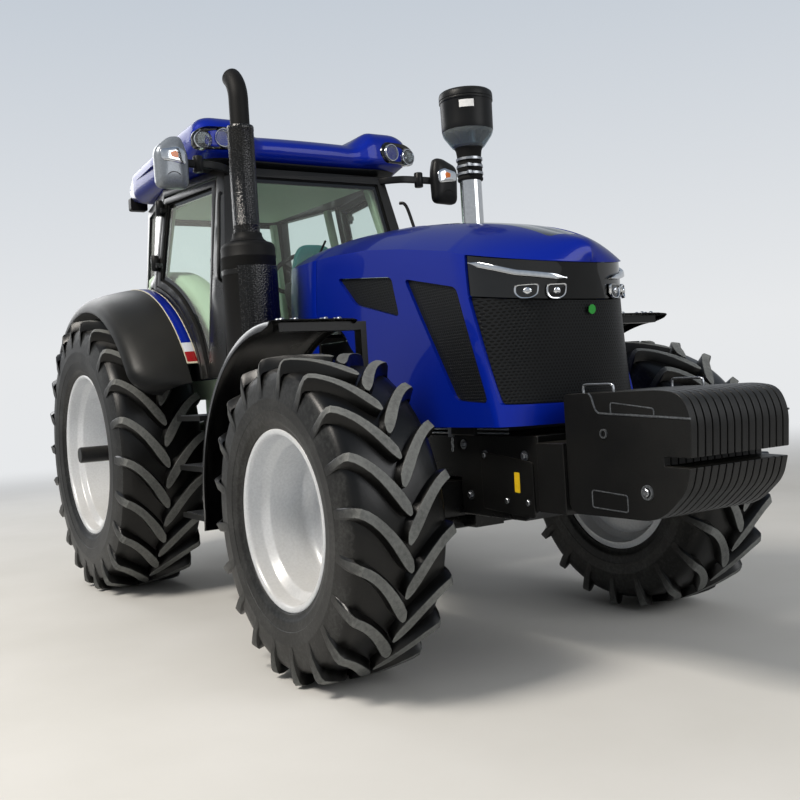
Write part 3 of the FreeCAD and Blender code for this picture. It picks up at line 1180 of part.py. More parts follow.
# Inside the cab: seat, steering column with its wheel, and the console.
seat_base = box("seat_base", (ahead(s.seat_x) - 130, -160, s.cab_sill_z),
                (ahead(s.seat_x) + 170, 160, s.seat_z - 120))
cushion_rear = ahead(s.seat_x) - s.seat_depth / 2
cushion = box("cushion", (cushion_rear, -s.seat_width / 2, s.seat_z - 120),
              (cushion_rear + s.seat_depth, s.seat_width / 2, s.seat_z))
seat_back = box("seat_back", (cushion_rear - 110, -s.seat_width / 2, s.seat_z - 60),
                (cushion_rear, s.seat_width / 2, s.seat_z + s.seat_back_height))
head_rest = box("head_rest", (cushion_rear - 100, -140, s.seat_z + s.seat_back_height),
                (cushion_rear - 10, 140, s.seat_z + s.seat_back_height + 190))
node("seat", fuse("seat", seat_base, cushion, seat_back, head_rest))
column_foot = box("column_foot", (ahead(s.column_x) - 60, -110, s.cab_sill_z),
                  (ahead(s.column_x) + 130, 110, s.wheel_hub_z - 140))
column_head = box("column_head", (ahead(s.column_x) - 60, -170, s.wheel_hub_z - 140),
                  (ahead(s.column_x) + 160, 170, s.wheel_hub_z + 20))
wheel_ring = doc.addObject("Part::Torus", "steering_wheel_ring")
bind(wheel_ring, "Radius1", s.wheel_radius - s.wheel_grip_radius)
bind(wheel_ring, "Radius2", s.wheel_grip_radius)
put(wheel_ring, (ahead(s.column_x) - 110, 0, s.wheel_hub_z + 90), Rotation(Vector(0, 1, 0), -35))
wheel_boss = cylinder("wheel_boss", as_size(40), 110, (ahead(s.column_x) - 45, 0, s.wheel_hub_z))
put(wheel_boss, (ahead(s.column_x) - 45, 0, s.wheel_hub_z), Rotation(Vector(0, 1, 0), -35))
spoke = doc.addObject("Part::Box", "wheel_spoke")
bind(spoke, "Length", as_size(46))
bind(spoke, "Width", s.wheel_radius * 2 - 50)
bind(spoke, "Height", as_size(14))
put(spoke, (ahead(s.column_x) - 129, -s.wheel_radius + 25, s.wheel_hub_z + 70),
    Rotation(Vector(0, 1, 0), -35))
node("steering_column", fuse("steering_column", column_foot, column_head, wheel_ring, wheel_boss,
                              spoke))
console_inner = s.seat_width / 2 + s.console_gap
console_outer = s.base_half_width - s.console_inset
console = box("console", (ahead(s.seat_x) - 200, -console_outer, s.cab_sill_z),
              (ahead(s.seat_x) + 380, -console_inner, s.seat_z + 130))
node("side_console", console)

# Rear linkage: lower links, lift arms and the rods between them.
link_rear_x = -s.rear_overhang + s.link_ball_radius
link_points = [
    (ahead(s.link_pivot_x) + 50, s.link_pivot_z - 40),
    (ahead(s.link_pivot_x) + 50, s.link_pivot_z + 40),
    (ahead(link_rear_x), s.link_end_z + s.link_height / 2),
    (ahead(link_rear_x), s.link_end_z - s.link_height / 2),
]
link_bar = slab("link_bar", "xz", link_points, s.link_y - s.link_thickness / 2,
                s.link_y + s.link_thickness / 2)
link_ball = cylinder("link_ball", s.link_ball_radius, s.link_thickness + 10,
                     (ahead(link_rear_x), s.link_y - s.link_thickness / 2 - 5, s.link_end_z), "y")
link_eye = cylinder("link_eye", s.link_eye_radius, s.link_thickness + 60,
                    (ahead(link_rear_x), s.link_y - s.link_thickness / 2 - 30, s.link_end_z), "y")
link_shaft_end = s.link_y + s.link_thickness / 2 + 6
link_shaft = cylinder("link_shaft", s.link_shaft_radius, link_shaft_end * 2,
                      (ahead(s.link_pivot_x), -link_shaft_end, s.link_pivot_z), "y")
link_bore = cylinder("link_bore", s.link_shaft_radius + s.bore_fit, s.link_thickness + 20,
                     (ahead(s.link_pivot_x), s.link_y - s.link_thickness / 2 - 10, s.link_pivot_z),
                     "y")
link_arm = cut("link_arm", fuse("link_solid", link_bar, link_ball), link_eye, link_bore)
node("lower_links", both_sides("lower_links", link_arm))
rod_y = s.link_y - s.link_thickness / 2 - s.lift_rod_radius - 8
lift_arm_y = rod_y + s.lift_rod_radius + 6
lift_shaft = cylinder("lift_shaft", s.lift_shaft_radius, lift_arm_y * 2 + 60,
                      (ahead(s.lift_shaft_x), -lift_arm_y - 30, s.lift_shaft_z), "y")
lift_arm = box("lift_arm", (ahead(s.lift_shaft_x) - s.lift_arm_length - 35, lift_arm_y,
                            s.lift_shaft_z - 30),
               (ahead(s.lift_shaft_x), lift_arm_y + 30, s.lift_shaft_z + 30))
lift_eye = cylinder("lift_eye", as_size(16), 70,
                    (ahead(s.lift_shaft_x) - s.lift_arm_length, rod_y - s.lift_rod_radius - 4,
                     s.lift_shaft_z), "y")
node("lift_arms", fuse("lift_arms", lift_shaft, both_sides("lift_arm_set",
                                                           fuse("lift_arm_one", lift_arm, lift_eye))))
rod_top_x = ahead(s.lift_shaft_x) - s.lift_arm_length
foot_share = ((s.link_pivot_x - s.lift_shaft_x + s.lift_arm_length)
              / (s.link_pivot_x - link_rear_x))
rod_foot_z = s.link_pivot_z + (s.link_end_z - s.link_pivot_z) * foot_share
lift_rod = cylinder("lift_rod", s.lift_rod_radius, s.lift_shaft_z - rod_foot_z,
                    (rod_top_x, rod_y, rod_foot_z))
lift_rod_head = cylinder("lift_rod_head", as_size(34), s.lift_rod_radius * 2 + 6,
                         (rod_top_x, rod_y - s.lift_rod_radius - 3, s.lift_shaft_z), "y")
lift_rod_foot = cylinder("lift_rod_foot", as_size(32), s.lift_rod_radius * 2 + 4,
                         (rod_top_x, rod_y - s.lift_rod_radius - 2, rod_foot_z), "y")
lift_rod_bore = cylinder("lift_rod_bore", as_size(16) + s.bore_fit, 90,
                         (rod_top_x, rod_y - 45, s.lift_shaft_z), "y")
rod_one = cut("rod_one", fuse("rod_solid", lift_rod, lift_rod_head, lift_rod_foot), lift_rod_bore)
node("lift_rods", both_sides("lift_rods", rod_one))
shaft_bore = cylinder("shaft_bore", s.lift_shaft_radius + s.bore_fit, s.link_y * 2,
                      (ahead(s.lift_shaft_x), -s.link_y, s.lift_shaft_z), "y")
link_bracket = box("link_bracket", (ahead(s.link_pivot_x) - 55, s.transmission_half_width - 70,
                                    s.link_pivot_z - 50),
                   (ahead(s.link_pivot_x) + 55, s.transmission_half_width - 20,
                    s.transmission_bottom_z + 80))

# Drawbar and power take-off.
drawbar_bar = box("drawbar_bar", (ahead(s.drawbar_rear_x), -s.drawbar_width / 2, s.drawbar_z),
                  (ahead(as_size(250)), s.drawbar_width / 2, s.drawbar_z + s.drawbar_thickness))
drawbar_hole = cylinder("drawbar_hole", s.drawbar_hole_radius, s.drawbar_thickness + 20,
                        (ahead(s.drawbar_rear_x) + s.drawbar_hole_inset, 0, s.drawbar_z - 10))
drawbar_hanger = box("drawbar_hanger", (ahead(s.transmission_rear_x) + 80, -110, s.drawbar_z - 30),
                     (ahead(s.transmission_rear_x) + 150, 110, s.transmission_bottom_z))
drawbar_pivot = box("drawbar_pivot", (ahead(as_size(150)), -80, s.drawbar_z + s.drawbar_thickness),
                    (ahead(as_size(250)), 80, s.transmission_bottom_z))
node("drawbar", cut("drawbar", fuse("drawbar_parts", drawbar_bar, drawbar_hanger, drawbar_pivot),
                    drawbar_hole, gearbox))
pto_stub = cylinder("pto_stub", s.pto_radius, s.pto_length,
                    (ahead(s.transmission_rear_x) - s.pto_length, 0, s.pto_z), "x")
pto_guard_outside = box("pto_guard_outside",
                        (ahead(s.transmission_rear_x) - 110, -s.pto_guard_half_width, s.pto_z + 40),
                        (ahead(s.transmission_rear_x), s.pto_guard_half_width, s.pto_z + 110))
pto_guard_hollow = box("pto_guard_hollow",
                       (ahead(s.transmission_rear_x) - 120, -s.pto_guard_half_width + 12, s.pto_z + 30),
                       (ahead(s.transmission_rear_x), s.pto_guard_half_width - 12, s.pto_z + 98))
pto_guard = cut("pto_guard", pto_guard_outside, pto_guard_hollow)
link_brackets = both_sides("link_brackets", link_bracket)
castings = fuse("castings", gearbox, pto_stub, pto_guard, link_shaft, link_brackets)
node("transmission", cut("transmission", castings, shaft_bore))

doc.recompute()

faults = [f"{thing.Name}: {thing.State}" for thing in doc.Objects
          if "Invalid" in thing.State or "Error" in thing.State]
for label, thing in nodes.items():
    if thing.Shape.isNull() or not thing.Shape.isValid():
        faults.append(f"{label}: shape is null or not valid")
if faults:
    raise RuntimeError("; ".join(faults))

os.makedirs("parts", exist_ok=True)
for label, thing in nodes.items():
    thing.Shape.exportStep(f"parts/{label}.step")
print(len(nodes), "sub-parts written")
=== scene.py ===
"""Farm tractor: the looks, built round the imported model.

Lengths are metres. X points ahead, Y to the driver's left, Z up. Places named x in the
tables below are counted ahead of the rear axle, as the maker of the tractor would.
"""

# %% [markdown]
# # A farm tractor
#
# The imported model gives every solid and every joint. Here each one gets its finish, and
# the parts that a plain solid can't show well, such as tyres, lamps, meshes and padding,
# get pieces of their own. We load the model first.

# %% Load the fixed frame
import math

import bmesh
import bpy
import numpy as np
from mathutils import Matrix, Vector


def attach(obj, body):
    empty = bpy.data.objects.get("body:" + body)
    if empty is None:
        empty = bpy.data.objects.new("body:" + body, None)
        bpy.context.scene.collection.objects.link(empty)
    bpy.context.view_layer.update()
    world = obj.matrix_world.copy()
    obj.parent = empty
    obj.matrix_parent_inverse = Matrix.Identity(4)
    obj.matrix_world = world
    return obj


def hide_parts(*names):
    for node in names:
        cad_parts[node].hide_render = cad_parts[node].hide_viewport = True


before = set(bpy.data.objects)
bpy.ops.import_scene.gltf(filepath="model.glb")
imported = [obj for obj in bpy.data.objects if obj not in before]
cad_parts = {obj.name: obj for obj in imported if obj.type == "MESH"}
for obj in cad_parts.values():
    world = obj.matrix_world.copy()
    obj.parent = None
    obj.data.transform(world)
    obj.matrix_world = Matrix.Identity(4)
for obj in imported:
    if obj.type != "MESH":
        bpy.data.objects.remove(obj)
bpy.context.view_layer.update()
REAR_AXLE_X = -1.670
print("CAD nodes:", len(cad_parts))

# %% [markdown]
# The camera stands where the photographer stood: low, ahead of the right front wheel, and
# turned a few degrees about its own axis. Three angles give its three directions, and the
# focal length comes from the width of the picture.

# %% Camera
CAMERA_PLACE = (6.9686, -3.0657, 1.2811)
CAMERA_YAW, CAMERA_PITCH, CAMERA_ROLL = (math.radians(a) for a in (147.431, -0.8135, -3.5867))
FOCAL_SHARE = 1.2342
SENSOR = 36.0

ahead = np.array([math.cos(CAMERA_PITCH) * math.cos(CAMERA_YAW),
                  math.cos(CAMERA_PITCH) * math.sin(CAMERA_YAW), math.sin(CAMERA_PITCH)])
level = np.cross(ahead, (0, 0, 1))
level /= np.linalg.norm(level)
upward = np.cross(level, ahead)
right = math.cos(CAMERA_ROLL) * level + math.sin(CAMERA_ROLL) * upward
top = -math.sin(CAMERA_ROLL) * level + math.cos(CAMERA_ROLL) * upward

camera = bpy.data.objects.new("camera", bpy.data.cameras.new("camera"))
bpy.context.scene.collection.objects.link(camera)
bpy.context.scene.camera = camera
camera.data.sensor_width = SENSOR
camera.data.lens = FOCAL_SHARE * SENSOR
camera.data.clip_end = 200
turn = Matrix([[right[k], top[k], -ahead[k], 0] for k in range(3)] + [[0, 0, 0, 1]])
camera.matrix_world = Matrix.Translation(
    (CAMERA_PLACE[0] + REAR_AXLE_X, CAMERA_PLACE[1], CAMERA_PLACE[2])) @ turn
print("lens", round(camera.data.lens, 2), "mm")

# %% [markdown]
# ## Helpers for shapes
#
# Every new piece starts as a grid of points: a surface with two parameters. A helper turns
# grids into quads, and others make the grids that keep coming back: a profile turned about
# an axle, an outline carried along a path, a flat outline with a thickness, and a curved
# panel with a wall. Each returns points and faces, so that several can share one mesh.


# %% Grids, turned shapes, swept shapes
def shell_of(points, wrap_rows=False, wrap_columns=False):
    """Quads between neighbours of a grid of points (rows, columns, 3)."""
    points = np.asarray(points, float)
    rows, columns = points.shape[:2]
    index = np.arange(rows * columns).reshape(rows, columns)
    if wrap_rows:
        index = np.vstack([index, index[:1]])
    if wrap_columns:
        index = np.hstack([index, index[:, :1]])
    quads = np.stack([index[:-1, :-1], index[1:, :-1], index[1:, 1:], index[:-1, 1:]], -1)
    return points.reshape(-1, 3), [list(f) for f in quads.reshape(-1, 4).tolist()]


def joined(*shells):
    """Several shells as one: faces are renumbered by the count of points before them."""
    counts = np.cumsum([0] + [len(points) for points, _ in shells])
    faces = [[k + start for k in face]
             for start, (_, shell) in zip(counts, shells) for face in shell]
    return np.vstack([points for points, _ in shells]), faces


def turned(profile, centre, axis="y", steps=96, share=(0.0, 1.0)):
    """A profile of (along, radius) turned about an axis; closed by its own two ends.

    Each point is centre + along * axis + radius * (cos a, sin a) in the other two directions.
    """
    profile = np.asarray(profile, float)
    whole = share == (0.0, 1.0)
    angles = np.linspace(share[0], share[1], steps, endpoint=not whole) * 2 * math.pi
    along = np.broadcast_to(profile[None, :, 0], (len(angles), len(profile)))
    one = np.cos(angles)[:, None] * profile[None, :, 1]
    two = np.sin(angles)[:, None] * profile[None, :, 1]
    order = {"x": (along, one, two), "y": (two, along, one), "z": (one, two, along)}[axis]
    return shell_of(np.stack(order, -1) + np.asarray(centre), wrap_rows=whole)


def rounded(corners, radius, steps=5):
    """A closed flat outline with its corners rounded: each corner is an arc cut short by radius."""
    corners = np.asarray(corners, float)
    before = np.roll(corners, 1, 0) - corners
    after = np.roll(corners, -1, 0) - corners
    reach_before = np.linalg.norm(before, axis=1, keepdims=True)
    reach_after = np.linalg.norm(after, axis=1, keepdims=True)
    cut = np.minimum(radius, 0.45 * np.minimum(reach_before, reach_after))
    start = corners + before / reach_before * cut
    end = corners + after / reach_after * cut
    t = np.linspace(0, 1, steps)[None, :, None]
    arc = ((1 - t) ** 2 * start[:, None] + 2 * t * (1 - t) * corners[:, None]
           + t ** 2 * end[:, None])
    return arc.reshape(-1, 2)


PLANES = {"xy": (0, 1, 2), "xz": (0, 2, 1), "yz": (1, 2, 0)}


def plate(outline, low, high, plane="xz"):
    """A flat closed outline with straight walls from low to high along the third direction."""
    outline = np.asarray(outline, float)
    u, v, w = PLANES[plane]
    rings = np.zeros((2, len(outline), 3))
    rings[:, :, u] = outline[:, 0]
    rings[:, :, v] = outline[:, 1]
    rings[:, :, w] = np.array([[low], [high]])
    points, faces = shell_of(rings, wrap_columns=True)
    count = len(outline)
    return points, faces + [list(range(count)), list(range(count, 2 * count))]


def block(low, high, radius=0.0, plane="xz"):
    """A box from corner to corner, its outline in the plane rounded by radius."""
    u, v, w = PLANES[plane]
    corners = [(low[u], low[v]), (high[u], low[v]), (high[u], high[v]), (low[u], high[v])]
    outline = rounded(corners, radius) if radius else corners
    return plate(outline, low[w], high[w], plane)


def swept(path, outline, closed=False, up=(0, 0, 1)):
    """An outline (sideways, upward) carried along a path.

    At each point the tangent t is the central difference of the path; sideways is t x up and
    upward is sideways x t, so that the outline stays level along the way.
    """
    path = np.asarray(path, float)
    outline = np.asarray(outline, float)
    if closed:
        tangent = np.roll(path, -1, 0) - np.roll(path, 1, 0)
    else:
        tangent = np.gradient(path, axis=0)
    tangent /= np.linalg.norm(tangent, axis=1, keepdims=True)
    side = np.cross(tangent, np.asarray(up, float))
    side /= np.linalg.norm(side, axis=1, keepdims=True)
    high = np.cross(side, tangent)
    points = (path[:, None] + side[:, None] * outline[None, :, :1]
              + high[:, None] * outline[None, :, 1:])
    points, faces = shell_of(points, wrap_rows=closed, wrap_columns=True)
    if not closed:
        count = len(outline)
        faces += [list(range(count)), list(range(len(points) - count, len(points)))]
    return points, faces


def circle(radius, steps=12):
    """Outline of a round bar: radius * (cos a, sin a)."""
    angles = np.arange(steps) * 2 * math.pi / steps
    return radius * np.stack([np.cos(angles), np.sin(angles)], -1)


def smooth_path(knots, steps=40):
    """A smooth line through knots: Catmull-Rom cubics, sampled evenly in the parameter."""
    knots = np.asarray(knots, float)
    padded_knots = np.vstack([2 * knots[0] - knots[1], knots, 2 * knots[-1] - knots[-2]])
    t = np.linspace(0, len(knots) - 1, steps)
    k = np.minimum(t.astype(int), len(knots) - 2)
    f = (t - k)[:, None]
    p = [padded_knots[k + j] for j in range(4)]
    return 0.5 * (2 * p[1] + (p[2] - p[0]) * f + (2 * p[0] - 5 * p[1] + 4 * p[2] - p[3]) * f ** 2
                  + (3 * p[1] - p[0] - 3 * p[2] + p[3]) * f ** 3)


def walled(points, thickness, wrap_columns=False):
    """A grid of points given a wall: a second grid lies thickness below along the normals."""
    points = np.asarray(points, float)
    if wrap_columns:
        along = np.roll(points, -1, 1) - np.roll(points, 1, 1)
    else:
        along = np.gradient(points, axis=1)
    normal = np.cross(np.gradient(points, axis=0), along)
    normal /= np.maximum(np.linalg.norm(normal, axis=2, keepdims=True), 1e-9)
    inner = points - normal * thickness
    outer_shell = shell_of(points, wrap_columns=wrap_columns)
    inner_shell = shell_of(inner, wrap_columns=wrap_columns)
    rims = [shell_of(np.stack([points[k], inner[k]]), wrap_columns=wrap_columns)
            for k in (0, -1)]
    if not wrap_columns:
        rims += [shell_of(np.stack([points[:, k], inner[:, k]])) for k in (0, -1)]
    return joined(outer_shell, inner_shell, *rims)


def mirrored(shell):
    """The same shell on the other side of the middle plane, its faces turned back outwards."""
    points, faces = shell
    return points * np.array([1, -1, 1]), [face[::-1] for face in faces]


def mesh_of(name, shell, merge=True):
    """A mesh from points and faces: doubles merged, faces outwards (its volume is positive)."""
    points, faces = shell
    mesh = bpy.data.meshes.new(name)
    mesh.from_pydata(np.asarray(points).tolist(), [], faces)
    work = bmesh.new()
    work.from_mesh(mesh)
    if merge:
        bmesh.ops.remove_doubles(work, verts=work.verts, dist=2e-5)
    bmesh.ops.recalc_face_normals(work, faces=work.faces)
    if work.calc_volume(signed=True) < 0:
        bmesh.ops.reverse_faces(work, faces=work.faces)
    work.to_mesh(mesh)
    work.free()
    return mesh


def build(name, shell, material, body, sharp=35, bevel=0.0, shift=True, merge=True):
    """An object that rides with a body: smooth below an angle, its sharp edges rounded when a bevel is given.
    """
    points, faces = shell
    moved = points + np.array([REAR_AXLE_X if shift else 0.0, 0, 0])
    mesh = mesh_of(name, (moved, faces), merge)
    mesh.shade_smooth()
    mesh.set_sharp_from_angle(angle=math.radians(sharp))
    piece = bpy.data.objects.new(name, mesh)
    bpy.context.scene.collection.objects.link(piece)
    mesh.materials.append(material)
    if bevel:
        edge = piece.modifiers.new("edge", "BEVEL")
        edge.width = bevel
        edge.segments = 2
        edge.limit_method = "ANGLE"
        edge.angle_limit = math.radians(sharp)
        edge.harden_normals = True
    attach(piece, body)
    return piece


def at(x, y, z):
    """A place counted ahead of the rear axle, in the model's own frame."""
    return x + REAR_AXLE_X, y, z


print("helpers ready")

# %% [markdown]
# ## Finishes
#
# A finish is named for what the real surface is. Colours are written as sRGB hex, as read
# from paint charts and from the photograph in daylight, and one function turns them to the
# linear values that the renderer works with. One small function adds a node with its
# settings and links; each finish is then a short list of such nodes.


# %% Colour and node helpers
def linear(text, alpha=1.0):
    """sRGB hex as linear red, green, blue: c/12.92 below 0.04045, else ((c+0.055)/1.055)^2.4."""
    parts = [int(text[k:k + 2], 16) / 255 for k in (0, 2, 4)]
    return (*[c / 12.92 if c <= 0.04045 else ((c + 0.055) / 1.055) ** 2.4 for c in parts], alpha)


def add(tree, kind, settings=None, links=None):
    """A node with its settings (attributes, or inputs by name or number) and its links."""
    made = tree.nodes.new(kind)
    for key, value in (settings or {}).items():
        if isinstance(key, str) and hasattr(made, key):
            setattr(made, key, value)
        else:
            made.inputs[key].default_value = value
    for key, source in (links or {}).items():
        tree.links.new(source, made.inputs[key])
    return made


def blank(name):
    """A material with an empty tree, and its place in Object coordinates."""
    material = bpy.data.materials.new(name)
    material.use_nodes = True
    tree = material.node_tree
    tree.nodes.clear()
    return material, tree, add(tree, "ShaderNodeTexCoord").outputs["Object"]


def close(tree, shader):
    """The tree's output, fed by a shader."""
    add(tree, "ShaderNodeOutputMaterial", links={"Surface": shader})


def ramp(tree, source, stops):
    """A colour ramp over (place, hex) stops."""
    made = add(tree, "ShaderNodeValToRGB", links={"Fac": source})
    keys = made.color_ramp.elements
    while len(keys) < len(stops):
        keys.new(0.5)
    for key, (place, text) in zip(keys, stops):
        key.position = place
        key.color = linear(text)
    return made.outputs["Color"]


def speckled(name, dark, pale, rough, size_mm, bump=0.0, metallic=0.0, coat=0.0, contrast=0.25,
             coat_rough=0.05, dust=None, specular=0.16):
    """A hard finish with fine mottling: two near colours mixed by noise as coarse as its grain.

    Roughness swings by a tenth with a slower noise, as handled and rained-on surfaces do.
    Dust, a colour, settles where a surface faces up and in slow patches.
    """
    material, tree, place = blank(name)
    grain = add(tree, "ShaderNodeTexNoise", {"Scale": 1000 / size_mm, "Detail": 3.0},
                {"Vector": place})
    colour = ramp(tree, grain.outputs["Fac"], [(0.5 - contrast, dark), (0.5 + contrast, pale)])
    slow = add(tree, "ShaderNodeTexNoise", {"Scale": 2.2, "Detail": 4.0, "Roughness": 0.6},
               {"Vector": place})
    rough_map = add(tree, "ShaderNodeMapRange",
                    {"From Min": 0.3, "From Max": 0.7, "To Min": max(rough - 0.05, 0.0),
                     "To Max": min(rough + 0.07, 1.0)}, {"Value": slow.outputs["Fac"]})
    if dust:
        facing = add(tree, "ShaderNodeSeparateXYZ",
                     links={0: add(tree, "ShaderNodeNewGeometry").outputs["Normal"]})
        film = add(tree, "ShaderNodeMapRange", {"From Min": 0.2, "From Max": 1.6,
                                                "To Min": 0.0, "To Max": 0.5},
                   {"Value": add(tree, "ShaderNodeMath", {"operation": "ADD"},
                                 {0: facing.outputs["Z"], 1: slow.outputs["Fac"]})
                    .outputs[0]})
        mix = add(tree, "ShaderNodeMix", {"data_type": "RGBA"},
                  {0: film.outputs[0], 6: colour})
        mix.inputs[7].default_value = linear(dust)
        colour = mix.outputs[2]
    shader = add(tree, "ShaderNodeBsdfPrincipled",
                 {"Metallic": metallic, "Coat Weight": coat, "Coat Roughness": coat_rough,
                  "Specular IOR Level": specular},
                 {"Base Color": colour, "Roughness": rough_map.outputs[0]})
    if bump:
        relief = add(tree, "ShaderNodeBump", {"Strength": 0.35, "Distance": bump / 1000},
                     {"Height": grain.outputs["Fac"]})
        tree.links.new(relief.outputs[0], shader.inputs["Normal"])
    close(tree, shader.outputs[0])
    return material


print("node helpers ready")

# %% [markdown]
# The hood and roof are sprayed with a blue enamel under clear lacquer: a deep colour, a
# sharp reflection from the lacquer, and the faint ripple that painters call orange peel,
# a few millimetres across.


# %% Blue enamel
def blue_enamel():
    """Base colour leans darker where seen edge-on; the lacquer's ripple is 6 mm noise."""
    material, tree, place = blank("blue_enamel")
    edge = add(tree, "ShaderNodeLayerWeight", {"Blend": 0.35})
    colour = ramp(tree, edge.outputs["Facing"], [(0.0, "00229C"), (0.55, "001878"), (1.0, "000C50")])
    peel = add(tree, "ShaderNodeTexNoise", {"Scale": 160.0, "Detail": 1.0}, {"Vector": place})
    ripple = add(tree, "ShaderNodeBump", {"Strength": 0.05, "Distance": 0.0006},
                 {"Height": peel.outputs["Fac"]})
    shader = add(tree, "ShaderNodeBsdfPrincipled",
                 {"Metallic": 0.1, "Roughness": 0.38, "Specular IOR Level": 0.12,
                  "Coat Weight": 0.34, "Coat Roughness": 0.03},
                 {"Base Color": colour, "Coat Normal": ripple.outputs[0]})
    close(tree, shader.outputs[0])
    return material


BLUE = blue_enamel()

# %% [markdown]
# Black comes in five kinds here. The fenders and steps are polyethylene with a fine moulded
# grain; the castings and frame have chassis paint, a little dusty; the lamp band is glossy
# acrylic; the exhaust has heat-proof paint that stays matt; rubber seals are matt and soft.

# %% Blacks
MOULDED = speckled("moulded_black", "0A0B0D", "15171A", 0.38, 1.6, bump=0.25, dust="3A3934")
CHASSIS = speckled("chassis_black", "08090A", "111214", 0.30, 9.0, coat=0.3, coat_rough=0.25,
                   dust="35332E")
CASTING = speckled("cast_iron_black", "090A0B", "141517", 0.36, 5.0, bump=0.9, coat=0.2,
                   coat_rough=0.3, dust="33312C")
GLOSS = speckled("gloss_acrylic", "040506", "060708", 0.12, 40.0, coat=1.0, coat_rough=0.02)
HEAT_PROOF = speckled("heat_proof_black", "0A0A0A", "161616", 0.55, 2.0, bump=0.4)
SEAL = speckled("rubber_seal", "0C0C0C", "141414", 0.75, 3.0)

# %% [markdown]
# Wheels are stamped steel in silver-white enamel. Bolts, pins and rods are zinc plated.
# The intake pipe is polished steel tube. The glass is laminated and tinted green.


# %% Metals, trim and fabric
RIM = speckled("rim_enamel", "C9CDD3", "DADEE3", 0.34, 12.0, metallic=0.15, coat=0.5,
               coat_rough=0.12, dust="B5AEA0")
HUB_GREY = speckled("hub_grey", "83888E", "989DA3", 0.42, 6.0, metallic=0.3)
ZINC = speckled("zinc_plate", "8E9196", "B0B3B7", 0.33, 7.0, metallic=1.0)
POLISHED = speckled("polished_tube", "C9CBCE", "D8DADC", 0.10, 20.0, metallic=1.0)
TRIM = speckled("cab_trim", "A9BFA5", "B6CBB2", 0.55, 1.2, bump=0.2)
TEAL = speckled("teal_moulding", "136163", "1C7778", 0.42, 1.4, bump=0.2)
TRIM_DARK = speckled("cab_trim_dark", "26292B", "303436", 0.55, 1.2, bump=0.2)
SILVER_SHELL = speckled("silver_shell", "767C83", "868C93", 0.30, 10.0, metallic=0.4, coat=0.6)
WHITE_FILM = speckled("white_film", "D9DADA", "E4E5E5", 0.4, 8.0)
WORN = speckled("worn_edge", "4C4F52", "7E8286", 0.35, 9.0, metallic=0.6)
CREAM = speckled("cream_line", "CFC9B0", "D9D4BE", 0.35, 8.0, coat=0.5)
WHITE_LENS = speckled("white_lens", "C9CDD6", "DDE1E8", 0.12, 8.0, coat=1.0)
FENDER_BLACK = speckled("fender_black", "050506", "0A0A0B", 0.22, 3.0, bump=0.15, coat=0.3,
                        coat_rough=0.15)
YELLOW_FILM = speckled("yellow_film", "D8B21C", "E3BE27", 0.4, 8.0)
GREEN_FILM = speckled("green_film", "2E8F3A", "37A244", 0.35, 8.0)
AMBER = speckled("amber_lens", "C8620A", "DA7412", 0.15, 8.0, coat=1.0)
RED_LENS = speckled("red_lens", "8E0F12", "A11316", 0.15, 8.0, coat=1.0)
CHROME_TRIM = speckled("chrome_trim", "D2D5D9", "E4E6E9", 0.08, 20.0, metallic=1.0)
REFLECTOR = speckled("lamp_reflector", "D5D8DC", "E8EAED", 0.12, 15.0, metallic=1.0)


def safety_glass(name="safety_glass", tint="F6FBF9", alpha=0.10):
    """A thin pane: mostly seen through, tinted, with a sharp reflection that grows edge-on."""
    material, tree, _ = blank(name)
    clear = add(tree, "ShaderNodeBsdfTransparent", {"Color": linear(tint)})
    gloss = add(tree, "ShaderNodeBsdfPrincipled",
                {"Base Color": linear(tint), "Roughness": 0.02, "Specular IOR Level": 0.6,
                 "Alpha": 1.0})
    angle = add(tree, "ShaderNodeFresnel", {"IOR": 1.45})
    share = add(tree, "ShaderNodeMapRange", {"From Min": 0.0, "From Max": 1.0,
                                             "To Min": alpha * 0.35, "To Max": 1.0},
                {"Value": angle.outputs[0]})
    behind = add(tree, "ShaderNodeNewGeometry").outputs["Backfacing"]
    front = add(tree, "ShaderNodeMath", {"operation": "SUBTRACT", 0: 1.0}, {1: behind})
    share = add(tree, "ShaderNodeMath", {"operation": "MULTIPLY"},
                {0: share.outputs[0], 1: front.outputs[0]})
    mix = add(tree, "ShaderNodeMixShader", links={0: share.outputs[0], 1: clear.outputs[0],
                                                  2: gloss.outputs[0]})
    close(tree, mix.outputs[0])
    return material


def clear_lens():
    """Clear acrylic over a lamp: nearly all seen through, with a bright edge."""
    return safety_glass("clear_lens", "E9EEF0", 0.2)


GLASS = safety_glass()
LENS = clear_lens()
SMOKED = safety_glass("smoked_bowl", "B9C4C8", 0.5)
